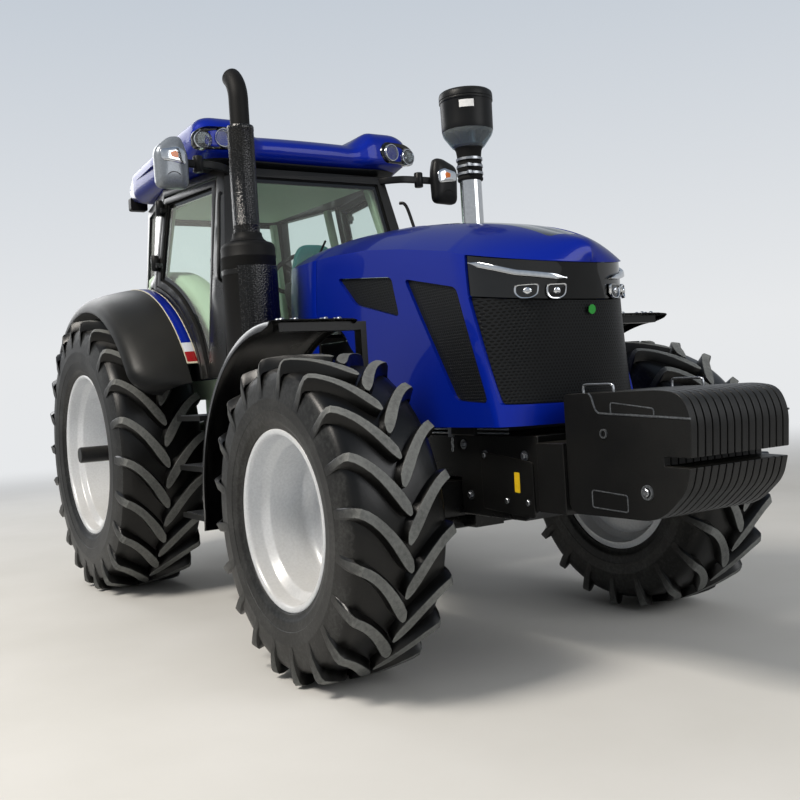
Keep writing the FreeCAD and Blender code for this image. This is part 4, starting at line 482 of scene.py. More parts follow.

# %% [markdown]
# Tyre rubber is black where it is new, but on a tractor the lug tops scuff to a dusty grey
# and the sidewall dries to brownish black. The tread meshes carry a value at each point, 1 on
# a lug's top and 0 in the grooves, and the finish mixes by it. The value is partly wear and
# partly painted light: the grey tops are also a painted highlight, and the near-black grooves
# and bar sides are painted shade between the bars.


# %% Tyre rubber
def tyre_rubber():
    """Colour and roughness follow the tread's value of wear and painted light (grey tops partly a painted
    highlight, black grooves painted shade), broken up by 15 mm and 120 mm noise.
    """
    material, tree, place = blank("tyre_rubber")
    scuff_and_painted_light = add(tree, "ShaderNodeAttribute", {"attribute_name": "scuff_and_painted_light"})
    fine = add(tree, "ShaderNodeTexNoise", {"Scale": 60.0, "Detail": 5.0, "Roughness": 0.65},
               {"Vector": place})
    slow = add(tree, "ShaderNodeTexNoise", {"Scale": 7.0, "Detail": 3.0}, {"Vector": place})
    mixed = add(tree, "ShaderNodeMath", {"operation": "MULTIPLY_ADD", 1: 0.55},
                {0: fine.outputs["Fac"], 2: scuff_and_painted_light.outputs["Fac"]})
    shifted = add(tree, "ShaderNodeMath", {"operation": "MULTIPLY_ADD", 1: 0.35},
                  {0: slow.outputs["Fac"], 2: mixed.outputs[0]})
    colour = ramp(tree, add(tree, "ShaderNodeMapRange", {"From Min": 0.35, "From Max": 1.45},
                            {"Value": shifted.outputs[0]}).outputs[0],
                  [(0.0, "060606"), (0.38, "0E0E0D"), (0.72, "454645"), (1.0, "6F716F")])
    rough = add(tree, "ShaderNodeMapRange", {"To Min": 0.30, "To Max": 0.62},
                {"Value": scuff_and_painted_light.outputs["Fac"]})
    relief = add(tree, "ShaderNodeBump", {"Strength": 0.3, "Distance": 0.0012},
                 {"Height": fine.outputs["Fac"]})
    shader = add(tree, "ShaderNodeBsdfPrincipled", {"Specular IOR Level": 0.34},
                 {"Base Color": colour, "Roughness": rough.outputs[0],
                  "Normal": relief.outputs[0]})
    close(tree, shader.outputs[0])
    return material


RUBBER = tyre_rubber()

# %% [markdown]
# The grille and the vents are black sheet punched with rows of round holes. Real holes are
# 6 mm on an 9 mm pitch; they are drawn a little coarser so that they show at this size.


# %% Punched sheet and seat fabric
def punched_sheet(name, pitch, across=(0, 1, 2)):
    """Holes where the distance to the nearest centre of a staggered lattice is under a third.

    The place is scaled to the pitch; every other row is shifted by half; a hole is dark.
    """
    material, tree, place = blank(name)
    parts = add(tree, "ShaderNodeSeparateXYZ", links={0: place})
    u = add(tree, "ShaderNodeMath", {"operation": "MULTIPLY", 1: 1 / pitch},
            {0: parts.outputs[across[1]]})
    v = add(tree, "ShaderNodeMath", {"operation": "MULTIPLY", 1: 1 / (pitch * 0.866)},
            {0: parts.outputs[across[2]]})
    row = add(tree, "ShaderNodeMath", {"operation": "FLOOR"}, {0: v.outputs[0]})
    odd = add(tree, "ShaderNodeMath", {"operation": "PINGPONG", 1: 1.0}, {0: row.outputs[0]})
    shifted = add(tree, "ShaderNodeMath", {"operation": "MULTIPLY_ADD", 1: 0.5},
                  {0: odd.outputs[0], 2: u.outputs[0]})
    cell_u = add(tree, "ShaderNodeMath", {"operation": "FRACT"}, {0: shifted.outputs[0]})
    cell_v = add(tree, "ShaderNodeMath", {"operation": "FRACT"}, {0: v.outputs[0]})
    centred = add(tree, "ShaderNodeCombineXYZ", links={0: cell_u.outputs[0], 1: cell_v.outputs[0]})
    reach = add(tree, "ShaderNodeVectorMath", {"operation": "DISTANCE"},
                {0: centred.outputs[0]})
    reach.inputs[1].default_value = (0.5, 0.5, 0.0)
    solid = add(tree, "ShaderNodeMapRange", {"From Min": 0.30, "From Max": 0.36},
                {"Value": reach.outputs["Value"]})
    colour = ramp(tree, solid.outputs[0], [(0.0, "020202"), (1.0, "17191B")])
    relief = add(tree, "ShaderNodeBump", {"Strength": 0.6, "Distance": 0.002},
                 {"Height": solid.outputs[0]})
    shader = add(tree, "ShaderNodeBsdfPrincipled", {"Roughness": 0.4, "Specular IOR Level": 0.16},
                 {"Base Color": colour, "Normal": relief.outputs[0]})
    close(tree, shader.outputs[0])
    return material


def seat_cloth():
    """Woven polyester: threads cross every 2.5 mm (coarser than real, to show), with sheen."""
    material, tree, place = blank("seat_cloth")
    waves = [add(tree, "ShaderNodeTexWave",
                 {"wave_type": "BANDS", "bands_direction": way, "Scale": 130.0,
                  "Distortion": 0.6}, {"Vector": place}).outputs["Fac"] for way in ("X", "Z")]
    weave = add(tree, "ShaderNodeMath", {"operation": "MAXIMUM"}, {0: waves[0], 1: waves[1]})
    colour = ramp(tree, weave.outputs[0], [(0.0, "0E5557"), (1.0, "1E8485")])
    relief = add(tree, "ShaderNodeBump", {"Strength": 0.4, "Distance": 0.0008},
                 {"Height": weave.outputs[0]})
    shader = add(tree, "ShaderNodeBsdfPrincipled",
                 {"Roughness": 0.85, "Sheen Weight": 0.4, "Sheen Roughness": 0.5},
                 {"Base Color": colour, "Normal": relief.outputs[0]})
    close(tree, shader.outputs[0])
    return material


GRILLE_SHEET = punched_sheet("grille_sheet", 0.016)
VENT_SHEET = punched_sheet("vent_sheet", 0.016, across=(0, 0, 2))
GUARD_SHEET = punched_sheet("guard_sheet", 0.018)
CLOTH = seat_cloth()


def hammered_sheet():
    """Pebbled heat shield: round dimples 10 mm apart whose glossy crests catch the light."""
    material, tree, place = blank("hammered_sheet")
    cells = add(tree, "ShaderNodeTexVoronoi", {"Scale": 100.0, "Randomness": 0.6},
                {"Vector": place})
    colour = ramp(tree, cells.outputs["Distance"], [(0.10, "3A3B3C"), (0.35, "101011"), (0.6, "040404")])
    relief = add(tree, "ShaderNodeBump", {"Strength": 0.8, "Distance": 0.003},
                 {"Height": cells.outputs["Distance"]})
    shader = add(tree, "ShaderNodeBsdfPrincipled", {"Roughness": 0.22, "Metallic": 0.2},
                 {"Base Color": colour, "Normal": relief.outputs[0]})
    close(tree, shader.outputs[0])
    return material


HAMMERED = hammered_sheet()
print("finishes:", len(bpy.data.materials))

# %% [markdown]
# ## Floor and light
#
# A plain pale floor keeps the shadow. The world is an even white room: camera rays,
# reflections and glass see it at full strength, and its diffuse light is held lower, so
# that the big soft lamps can model the shapes. One large lamp stands high on the right of
# the machine, as the sun does in the photograph, and two weaker ones open the shadows.

# %% Stage
def concrete():
    """Pale floor: two near greys mixed by slow noise; far away it fades into the backdrop."""
    material, tree, place = blank("pale_floor")
    slow = add(tree, "ShaderNodeTexNoise", {"Scale": 0.8, "Detail": 6.0}, {"Vector": place})
    colour = ramp(tree, slow.outputs["Fac"], [(0.3, "C9C8C4"), (0.7, "D2D1CE")])
    shader = add(tree, "ShaderNodeBsdfPrincipled", {"Roughness": 0.85}, {"Base Color": colour})
    reach = add(tree, "ShaderNodeVectorMath", {"operation": "LENGTH"}, {0: place})
    fade = add(tree, "ShaderNodeMapRange",
               {"From Min": 5.0, "From Max": 17.0, "interpolation_type": "SMOOTHSTEP"},
               {"Value": reach.outputs["Value"]})
    share = add(tree, "ShaderNodeMath", {"operation": "MULTIPLY"},
                {0: fade.outputs[0],
                 1: add(tree, "ShaderNodeLightPath").outputs["Is Camera Ray"]})
    haze = add(tree, "ShaderNodeEmission", {"Color": linear("F2F4F6"), "Strength": 0.9})
    mix = add(tree, "ShaderNodeMixShader", links={0: share.outputs[0], 1: shader.outputs[0],
                                                  2: haze.outputs[0]})
    close(tree, mix.outputs[0])
    return material


floor_mesh = bpy.data.meshes.new("floor")
FLOOR_HALF = 60.0
floor_mesh.from_pydata([(-FLOOR_HALF, -FLOOR_HALF, 0), (FLOOR_HALF, -FLOOR_HALF, 0),
                        (FLOOR_HALF, FLOOR_HALF, 0), (-FLOOR_HALF, FLOOR_HALF, 0)], [],
                       [(0, 1, 2, 3)])
floor_mesh.materials.append(concrete())
floor = bpy.data.objects.new("floor", floor_mesh)
bpy.context.scene.collection.objects.link(floor)

scene = bpy.context.scene
scene.view_settings.view_transform = "Standard"
scene.world = scene.world or bpy.data.worlds.new("room")
scene.world.use_nodes = True
room = scene.world.node_tree
room.nodes.clear()
ray = add(room, "ShaderNodeLightPath")
seen = add(room, "ShaderNodeMath", {"operation": "MAXIMUM"},
           {0: ray.outputs["Is Camera Ray"], 1: ray.outputs["Is Glossy Ray"]})
seen = add(room, "ShaderNodeMath", {"operation": "MAXIMUM"},
           {0: seen.outputs[0], 1: ray.outputs["Is Transmission Ray"]})
strength = add(room, "ShaderNodeMapRange", {"To Min": 0.42, "To Max": 0.62},
               {"Value": seen.outputs[0]})
direct = add(room, "ShaderNodeMapRange", {"To Min": 0.0, "To Max": 0.28},
             {"Value": ray.outputs["Is Camera Ray"]})
strength = add(room, "ShaderNodeMath", {"operation": "ADD"},
               {0: strength.outputs[0], 1: direct.outputs[0]})
height = add(room, "ShaderNodeSeparateXYZ", links={0: add(room, "ShaderNodeTexCoord")
                                                   .outputs["Generated"]})
sky = ramp(room, height.outputs["Z"], [(0.05, "F2F4F6"), (0.45, "C4CEDA"), (0.9, "8FA0B8")])
shade = add(room, "ShaderNodeMix", {"data_type": "RGBA"}, {0: seen.outputs[0], 7: sky})
shade.inputs[6].default_value = linear("F2F4F6")
backdrop = add(room, "ShaderNodeBackground", {},
               {"Color": shade.outputs[2], "Strength": strength.outputs[0]})
add(room, "ShaderNodeOutputWorld", links={"Surface": backdrop.outputs[0]})


def soft_lamp(name, place, aim, width, power, colour="FFFFFF"):
    """A square area lamp that faces a point."""
    data = bpy.data.lights.new(name, "AREA")
    data.size = width
    data.energy = power
    data.color = linear(colour)[:3]
    lamp = bpy.data.objects.new(name, data)
    scene.collection.objects.link(lamp)
    lamp.location = place
    lamp.rotation_euler = (Vector(aim) - Vector(place)).to_track_quat("-Z", "Y").to_euler()
    return lamp


soft_lamp("sun_side", (1.0, -6.5, 8.5), (0.3, 0.0, 1.0), 3.0, 900, "FFF8EE")
soft_lamp("nose_fill", (9.0, 3.0, 5.0), (1.5, 0.0, 1.2), 5.0, 260)
soft_lamp("rear_fill", (-9.0, -1.5, 5.5), (-0.5, 0.0, 1.2), 5.0, 240)
print("stage set")
# %% [markdown]
# ## Tyres and rims
#
# A tractor tyre is a round carcass with two rows of slanted bars, one row for each half of
# the tread, half a pitch apart. Each bar starts at the middle, leading in the direction in
# which the wheel rolls, bends towards the axle's direction, and runs down the shoulder. We
# turn the carcass from a profile, and lay each bar on it as a small grid, so that all the
# bars of a row come from one array turned by equal steps.

# %% Tyre pieces
TYRES = {
    # end: (radius, half width, flange radius, bar depth, bars a row, sweep in degrees, bar width)
    "rear": (0.940, 0.286, 0.5535, 0.050, 22, 20.0, 0.052),
    "front": (0.7245, 0.238, 0.4045, 0.044, 20, 21.0, 0.044),
}


def tyre_profiles(end):
    """Rows (across, radius) of the carcass from bead to bead, and of the bars' tops."""
    radius, half, flange, depth, *_ = TYRES[end]
    wall = radius - flange
    base = radius - depth
    side = [(0.86, flange + 0.000), (0.885, flange + 0.006), (0.895, flange + 0.016),
            (0.930, flange + 0.030), (0.942, flange + 0.034), (0.950, flange + 0.045),
            (0.975, flange + 0.24 * wall), (0.982, flange + 0.245 * wall),
            (0.990, flange + 0.30 * wall), (0.997, flange + 0.40 * wall),
            (1.000, flange + 0.415 * wall), (0.997, flange + 0.43 * wall),
            (0.985, flange + 0.56 * wall), (0.965, flange + 0.66 * wall),
            (0.925, base - 0.038), (0.86, base - 0.022), (0.72, base - 0.011),
            (0.45, base - 0.004), (0.0, base)]
    left = [(share * half, size) for share, size in side]
    return left + [(-place, size) for place, size in left[-2::-1]]


def bar_row(end, side):
    """One row of bars. Along a bar q goes 0 to 1 from the middle to the shoulder's foot.

    Its angle leads by sweep * ((1 - q) ^ 1.7 - 0.5), its place across is half * q up to the
    shoulder and then stays, and its top falls from the tread's radius down the shoulder.
    """
    radius, half, flange, depth, count, sweep, width = TYRES[end]
    base = radius - depth
    q = np.array([0.0, 0.03, 0.08, 0.18, 0.3, 0.42, 0.54, 0.66, 0.78, 0.88, 0.94, 1.0, 1.05, 1.12])
    across = half * np.interp(q, [0, 0.88, 0.94, 1.0, 1.05, 1.12],
                              [0, 0.905, 0.955, 0.985, 0.994, 0.996]) - 0.012 * (1 - q)
    top = np.interp(q, [0, 0.5, 0.80, 0.88, 0.94, 1.0, 1.05, 1.12],
                    [radius, radius - 0.001, radius - 0.006, radius - 0.011, radius - 0.026,
                     radius - 0.060, base - 0.060, base - 0.105])
    foot = np.interp(q, [0, 0.5, 0.8, 0.88, 0.94, 1.0, 1.05, 1.12],
                     [base - 0.006, base - 0.010, base - 0.020, base - 0.026, base - 0.040,
                      base - 0.080, base - 0.110, base - 0.135])
    lead = math.radians(sweep) * (np.clip(1 - q, 0, 1) ** 1.7 - 0.5)
    run = np.gradient(across)
    arc = np.gradient(lead) * radius
    size = np.hypot(run, arc)
    wide = width * np.interp(q, [0, 0.04, 0.12, 0.5, 1.0, 1.12], [0.55, 0.95, 1.25, 1.0, 0.95, 0.7])
    ridge = np.array([-0.5, -0.475, -0.445, 0.0, 0.445, 0.475, 0.5])
    slope = np.array([1.50, 1.06, 1.0, 1.0, 1.0, 1.06, 1.34])
    lift = np.array([0.0, 0.93, 1.0, 1.0, 1.0, 0.93, 0.0])
    sideways = wide[:, None] * (ridge * slope)[None, :]
    turn = lead[:, None] + sideways * (run / size)[:, None] / radius
    place = across[:, None] - sideways * (arc / size)[:, None]
    place = np.clip(place, -0.014, half)
    level = foot[:, None] + (top - foot)[:, None] * lift[None, :]
    grid = np.stack([level * np.sin(turn), side * place, level * np.cos(turn)], -1)
    points, faces = shell_of(grid)
    rows, columns = grid.shape[:2]
    faces += [list(range(columns)), list(range((rows - 1) * columns, rows * columns))]
    # Wear and painted light: 1 on a bar's top (scuff and painted highlight), near 0 on its sides and foot
    # (painted shade between the bars).
    scuff_and_painted_light = (np.interp(q, [0, 0.1, 0.85, 1.0, 1.12], [1.0, 0.9, 1.0, 0.7, 0.4])[:, None]
             * np.array([0.0, 0.12, 1.0, 0.92, 1.0, 0.12, 0.0])[None, :]).ravel()
    steps = (np.arange(count) + (0.5 if side < 0 else 0.0)) * 2 * math.pi / count
    turned_points = np.stack([points[:, 0] * np.cos(a) + points[:, 2] * np.sin(a) for a in steps])
    turned_high = np.stack([points[:, 2] * np.cos(a) - points[:, 0] * np.sin(a) for a in steps])
    cloud = np.stack([turned_points, np.broadcast_to(points[:, 1], turned_points.shape),
                      turned_high], -1).reshape(-1, 3)
    all_faces = [[k + n * len(points) for k in face] for n in range(count) for face in faces]
    return (cloud, all_faces), np.tile(scuff_and_painted_light, count)


def tyre_piece(end, side):
    """Carcass and bars of one wheel as one mesh, with the value of wear and painted light at each point."""
    radius, half, flange, depth, count, *_ = TYRES[end]
    track = {"rear": 0.970, "front": 0.9975}[end]
    x = {"rear": 0.0, "front": 3.030}[end]
    carcass = turned(tyre_profiles(end), (0, 0, 0), "y", 132)
    # Carcass value: 0.10 on the groove floor, painted shade between the bars; 0.35 on the drier sidewall.
    carcass_wear_and_painted_shade = 0.10 + 0.25 * (np.hypot(carcass[0][:, 0], carcass[0][:, 2]) < radius - depth * 1.6)
    rows = [bar_row(end, way) for way in (1, -1)]
    shell = joined(carcass, *[row[0] for row in rows])
    scuff_and_painted_light = np.concatenate([carcass_wear_and_painted_shade, *[row[1] for row in rows]])
    centre = np.array([x, side * track, radius])
    name = f"{end}_tyre_{'left' if side > 0 else 'right'}"
    tilt = math.pi / count * 0.35
    spin = np.array([[math.cos(tilt), 0, math.sin(tilt)], [0, 1, 0],
                     [-math.sin(tilt), 0, math.cos(tilt)]])
    points = shell[0] @ spin.T * np.array([1, side, 1]) + centre
    piece = build(name + "_dressed", (points, shell[1]), RUBBER, wheel_body(end, side),
                  sharp=30, merge=False)
    value = piece.data.attributes.new("scuff_and_painted_light", "FLOAT", "POINT")
    value.data.foreach_set("value", scuff_and_painted_light)
    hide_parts(name)
    return piece


def wheel_body(end, side):
    """The moving body that carries a wheel's pieces."""
    return f"{end}_wheel_{'left' if side > 0 else 'right'}"


tyres = [tyre_piece(end, side) for end in ("rear", "front") for side in (1, -1)]
print("tyre triangles", [sum(len(f.vertices) - 2 for f in t.data.polygons) for t in tyres])

# %% [markdown]
# The rims are rolled steel: a flange, a bead seat, a stepped barrel and, far inside, a
# pressed disc held by a ring of bolts. A profile with short steps at each bend gives the
# highlights of rolled edges. Bolts are hexagons on round collars, twelve to a wheel behind
# and ten in front, and each rim has one valve.

# %% Rims, bolts and valves
RIMS = {
    # end: (half width, flange radius, bead radius, disc place, bore, bolt circle, bolts)
    "rear": (0.250, 0.553, 0.533, -0.130, 0.060, 0.190, 12),
    "front": (0.210, 0.404, 0.381, -0.120, 0.090, 0.165, 10),
}


def rim_profile(end):
    """Closed profile (across, radius): outer side, then the open dish seen from outside."""
    half, flange, bead, disc, bore, circle_radius, _ = RIMS[end]
    well = bead - 0.045
    outer = [(half, flange - 0.004), (half - 0.004, flange), (half - 0.010, flange - 0.003),
             (half - 0.014, bead + 0.006), (half - 0.022, bead), (half - 0.070, bead - 0.003),
             (half - 0.082, bead - 0.010), (half - 0.098, well + 0.004), (half - 0.110, well),
             (-half + 0.110, well), (-half + 0.098, well + 0.004), (-half + 0.082, bead - 0.010),
             (-half + 0.070, bead - 0.003), (-half + 0.022, bead), (-half + 0.014, bead + 0.006),
             (-half + 0.010, flange - 0.003), (-half + 0.004, flange), (-half, flange - 0.004),
             (-half, bead - 0.010)]
    inner = [(-half + 0.075, bead - 0.014), (-half + 0.100, well - 0.009), (disc - 0.004, well - 0.009),
             (disc - 0.010, well - 0.030), (disc - 0.010, bore), (disc + 0.008, bore),
             (disc + 0.010, circle_radius + 0.050), (disc + 0.016, circle_radius + 0.075),
             (disc + 0.012, well - 0.075), (disc + 0.020, well - 0.040), (disc + 0.045, well - 0.014),
             (disc + 0.065, well - 0.009), (half - 0.108, well - 0.009), (half - 0.096, well - 0.004),
             (half - 0.078, bead - 0.017), (half - 0.066, bead - 0.012), (half - 0.020, bead - 0.009),
             (half - 0.006, bead - 0.004), (half, bead + 0.004)]
    return outer + inner


def hexagon_bolt(place, radius, height, axis_side):
    """A bolt head with a collar, its axis along y, standing on a place towards axis_side."""
    x, y, z = place
    collar = turned([(0.0, 0.0), (0.0, radius * 1.35), (0.35 * height, radius * 1.3),
                     (0.35 * height, 0.0)], (0, 0, 0), "y", 20)
    head = turned([(0.3 * height, 0.0), (0.3 * height, radius), (0.9 * height, radius),
                   (height, radius * 0.88), (height, 0.0)], (0, 0, 0), "y", 6)
    points, faces = joined(collar, head)
    return points * np.array([1, axis_side, 1]) + np.array([x, y, z]), faces


def rim_piece(end, side):
    """Rim, and a second piece with its bolts, hub ring and valve."""
    half, flange, bead, disc, bore, circle_radius, bolts = RIMS[end]
    track = {"rear": 0.970, "front": 0.9975}[end]
    x = {"rear": 0.0, "front": 3.030}[end]
    height = TYRES[end][0]
    body = wheel_body(end, side)
    name = f"{end}_rim_{'left' if side > 0 else 'right'}"
    profile = rim_profile(end)
    points, faces = turned(profile + profile[:1], (0, 0, 0), "y", 128)
    centre = np.array([x, side * track, height])
    rim = build(name + "_dressed", (points * np.array([1, side, 1]) + centre, faces), RIM, body,
                sharp=50)
    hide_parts(name)
    if end == "rear":
        hub = [(disc + 0.006, 0.058), (disc + 0.006, 0.150), (disc + 0.030, 0.148),
               (disc + 0.040, 0.135), (disc + 0.058, 0.085), (disc + 0.064, 0.058)]
    else:
        hub = [(disc + 0.006, 0.0), (disc + 0.006, 0.128), (disc + 0.030, 0.126),
               (disc + 0.052, 0.118), (disc + 0.074, 0.092), (disc + 0.084, 0.060),
               (disc + 0.086, 0.0)]
    hub_points, hub_faces = turned(hub, (0, 0, 0), "y", 72)
    ring = build(name + "_hub", (hub_points * np.array([1, side, 1]) + centre, hub_faces),
                 HUB_GREY, body, sharp=30)
    angles = np.arange(bolts) * 2 * math.pi / bolts + 0.2
    heads = [hexagon_bolt((circle_radius * math.cos(a), disc + 0.010, circle_radius * math.sin(a)),
                          0.017, 0.026, 1) for a in angles]
    valve = turned([(0.0, 0.0), (0.0, 0.007), (0.035, 0.006), (0.036, 0.009), (0.052, 0.009),
                    (0.054, 0.0)], (0.0, disc + 0.15, bead - 0.062), "y", 16)
    bolt_points, bolt_faces = joined(*heads, valve)
    build(name + "_bolts", (bolt_points * np.array([1, side, 1]) + centre, bolt_faces), CASTING,
          body, sharp=25)
    return rim, ring


rims = [rim_piece(end, side) for end in ("rear", "front") for side in (1, -1)]
print("rims", len(rims))
# %% [markdown]
# ## Hood
#
# The real hood is one pressed shell with a long soft nose. Its walls follow a plan that is
# straight along the side and bends round the nose as a superellipse, and its top is a crown
# between the shoulder line and the middle line. So we make it as one surface of two
# parameters: the first runs round the plan from one rear corner to the other, the second
# climbs the wall and then crosses the crown. Every panel is then cut from this one surface,
# so that lamps, grille and vents follow its curve exactly.

# %% The hood's surface
WALL_LINES = [
    # height, where the nose begins, tip of the nose, half width
    (1.075, 3.575, 3.722, 0.424), (1.157, 3.550, 3.731, 0.427), (1.400, 3.470, 3.752, 0.430),
    (1.600, 3.400, 3.769, 0.431), (1.754, 3.350, 3.784, 0.429), (1.860, 3.320, 3.795, 0.424),
    (2.020, 3.300, 3.797, 0.410),
]
SHOULDER = [(2.030, 2.020), (2.228, 2.015), (2.591, 1.993), (2.913, 1.950), (3.320, 1.879)]
SPINE = smooth_path([(3.794, 1.775, 0), (3.797, 1.812, 0), (3.783, 1.852, 0), (3.735, 1.888, 0),
                     (3.603, 1.932, 0), (3.328, 2.018, 0), (2.945, 2.090, 0), (2.579, 2.134, 0),
                     (2.185, 2.158, 0), (2.030, 2.162, 0)], 400)[:, :2]
NOSE_POWER = 2.28
SIDE_COLUMNS, NOSE_COLUMNS, WALL_ROWS, CROWN_ROWS = 70, 44, 44, 34


def table(rows, where, column):
    """One column of a table, read between its rows at the given places of the first column."""
    rows = np.asarray(rows, float)
    order = np.argsort(rows[:, 0])
    return np.interp(where, rows[order, 0], rows[order, column])


def wall_point(share, turn, height):
    """Points of the left wall: share runs along the side, turn (0 to 1) round the nose.

    x = start + (tip - start) sin(a), y = half cos(a)^(2/2.28), with a = turn * 90 degrees.
    """
    start, tip, half = (table(WALL_LINES, height, k) for k in (1, 2, 3))
    angle = turn * math.pi / 2
    x = np.where(turn > 0, start + (tip - start) * np.sin(angle),
                 2.030 + (start - 2.030) * share)
    y = half * np.cos(angle) ** (2 / NOSE_POWER)
    return np.stack([x, y, height + 0 * x], -1)


def hood_grid():
    """Half the hood: columns run from the rear to the nose, rows from the foot to the spine."""
    share = np.concatenate([np.linspace(0, 1, SIDE_COLUMNS), np.ones(NOSE_COLUMNS)])
    turn = np.concatenate([np.zeros(SIDE_COLUMNS), np.linspace(0, 1, NOSE_COLUMNS + 1)[1:]])
    x_guess = 2.030 + (3.320 - 2.030) * share
    shoulder_z = np.where(turn > 0, 1.879 - 0.104 * np.sin(turn * math.pi / 2) ** 0.8,
                          table(SHOULDER, x_guess, 1))
    climb = np.linspace(0, 1, WALL_ROWS)[:, None]
    height = 1.075 + (shoulder_z - 1.075)[None, :] * climb
    wall = wall_point(np.broadcast_to(share, height.shape), np.broadcast_to(turn, height.shape),
                      height)
    edge = wall[-1]
    spine_steps = np.linalg.norm(np.diff(SPINE, axis=0), axis=1)
    length = np.concatenate([[0], np.cumsum(spine_steps)])
    corner = np.interp(3.250, SPINE[::-1, 0], length[::-1])
    place = np.where(turn > 0, corner * (1 - turn) ** 0.85,
                     corner + (length[-1] - corner) * (1 - share))
    spine = np.stack([np.interp(place, length, SPINE[:, 0]), 0 * place,
                      np.interp(place, length, SPINE[:, 1])], -1)
    inward = np.linspace(0, 1, CROWN_ROWS)[1:, None, None]
    lift = 1 - (1 - inward) ** 2.1
    crown = edge + (spine - edge) * np.concatenate([inward, inward, lift], -1)
    return np.concatenate([wall, crown])


def inset(points, amount):
    """A grid moved inwards along its normals: the cross product of its two directions."""
    normal = np.cross(np.gradient(points, axis=1), np.gradient(points, axis=0))
    size = np.linalg.norm(normal, axis=2, keepdims=True)
    normal = normal / np.maximum(size, 1e-9)
    normal[size[..., 0] < 1e-9] = (1, 0, 0)
    outward = np.sign(np.sum(normal * (points - np.array([2.6, 0, 1.5])), axis=2).mean())
    return points - normal * amount * outward


def hood_form(depth):
    """The closed form that lies depth below the hood's surface, open to the rear and below."""
    half = inset(hood_grid(), depth)
    half[-1, :, 1] = half[:, -1, 1] = 0
    half[0, :, 2] = 1.075 - depth
    half[:, 0, 0] = 2.030 - depth
    left, right = shell_of(half), mirrored(shell_of(half))
    rows, columns = half.shape[:2]
    count = rows * columns
    foot = list(range(columns))
    rear = [k * columns for k in range(rows)]
    points, faces = joined(left, right)
    return points, faces + [foot + [k + count for k in foot[::-1]],
                            rear + [k + count for k in rear[::-1]]]


def on_hood(x_or_y, height, outside=0.0, by="y"):
    """The surface's point and outward direction on the nose, at a place across and a height."""
    start, tip, half = (float(table(WALL_LINES, height, k)) for k in (1, 2, 3))
    share = min(abs(x_or_y) / half, 1.0)
    angle = math.acos(share ** (NOSE_POWER / 2))
    x = start + (tip - start) * math.sin(angle)
    slope = math.tan(max(math.pi / 2 - angle, 1e-4))
    normal = np.array([1.0, math.copysign(NOSE_POWER / 2 * (tip - start) / half * slope
                                          * share ** (NOSE_POWER / 2 - 1 + 1e-6), x_or_y), 0.10])
    normal /= np.linalg.norm(normal)
    return np.array([x, x_or_y, height]) + normal * outside, normal


print("hood grid", hood_grid().shape)

# %% [markdown]
# Openings are cut with flat prisms, as a press tool would pierce the sheet from the side.
# A cutter is an outline with rounded corners carried right across the hood; the piece that
# fills the opening is the same outline, a few millimetres smaller, kept from a deeper skin.


# %% Cutting
def carved(shell, cutters, keep="DIFFERENCE"):
    """A shell after clean cuts: each cutter is taken away from it, or only their share kept."""
    body, *tools = [bpy.data.objects.new("carving", mesh_of("carving", part))
                    for part in (shell, *cutters)]
    for part in (body, *tools):
        bpy.context.scene.collection.objects.link(part)
    for tool in tools:
        step = body.modifiers.new("cut", "BOOLEAN")
        step.operation = keep
        step.solver = "MANIFOLD"
        step.object = tool
    view = bpy.context.evaluated_depsgraph_get()
    mesh = bpy.data.meshes.new_from_object(body.evaluated_get(view))
    points = np.zeros(len(mesh.vertices) * 3)
    mesh.vertices.foreach_get("co", points)
    faces = [list(face.vertices) for face in mesh.polygons]
    for thing in [body, *tools]:
        bpy.data.objects.remove(thing)
    return points.reshape(-1, 3), faces


def shrunk(corners, amount):
    """A convex outline moved inwards by amount: each corner lies on its two moved edges."""
    corners = np.asarray(corners, float)
    edge = np.roll(corners, -1, 0) - corners
    edge /= np.linalg.norm(edge, axis=1, keepdims=True)
    turn = np.sign(np.sum(edge[:, 0] * np.roll(edge, -1, 0)[:, 1]
                          - edge[:, 1] * np.roll(edge, -1, 0)[:, 0]))
    normal = np.stack([-edge[:, 1], edge[:, 0]], -1) * turn
    before = np.roll(normal, 1, 0)
    share = 1 + np.sum(before * normal, axis=1, keepdims=True)
    return corners + (before + normal) / share * amount


def across(corners, radius, amount=0.0, half=0.6):
    """Cutter through the whole width: corners are (x, z)."""
    return plate(rounded(shrunk(corners, amount), radius), -half, half)


BAND = [(3.446, 1.657), (3.90, 1.590), (3.90, 1.747), (3.425, 1.848)]
GRILLE = [(3.605, 1.172), (3.90, 1.155), (3.90, 1.590), (3.446, 1.657)]
FRONT_VENT = [(3.549, 1.180), (3.366, 1.710), (2.942, 1.799), (3.312, 1.198)]
REAR_VENT = [(2.885, 1.620), (2.825, 1.824), (2.276, 1.883), (2.463, 1.722)]
ARCH = [(1.95, 1.00), (3.100, 1.00), (2.955, 1.115), (2.860, 1.235), (2.715, 1.345), (2.500, 1.425),
        (2.400, 1.480), (2.330, 1.580), (2.210, 1.650), (1.95, 1.700)]
TOP_PANEL = [(2.600, -0.148), (3.665, -0.120), (3.665, 0.120), (2.600, 0.148)]
GAP = 0.003
top_cutter = plate(rounded(TOP_PANEL, 0.03), 1.7, 2.3, "xy")
top_keeper = plate(rounded(shrunk(TOP_PANEL, GAP), 0.028), 1.7, 2.3, "xy")
arch_cutter = plate(rounded(ARCH, 0.05), -0.6, 0.6)
intake_hole = turned([(1.8, 0.0), (1.8, 0.078), (2.4, 0.078), (2.4, 0.0)], (2.57, 0.30, 0), "z", 40)


def sheet_piece(depth, thickness, keeper):
    """What a cutter keeps of a sheet that lies depth below the hood's surface."""
    return carved(carved(hood_form(depth), [keeper], "INTERSECT"), [hood_form(depth + thickness)])


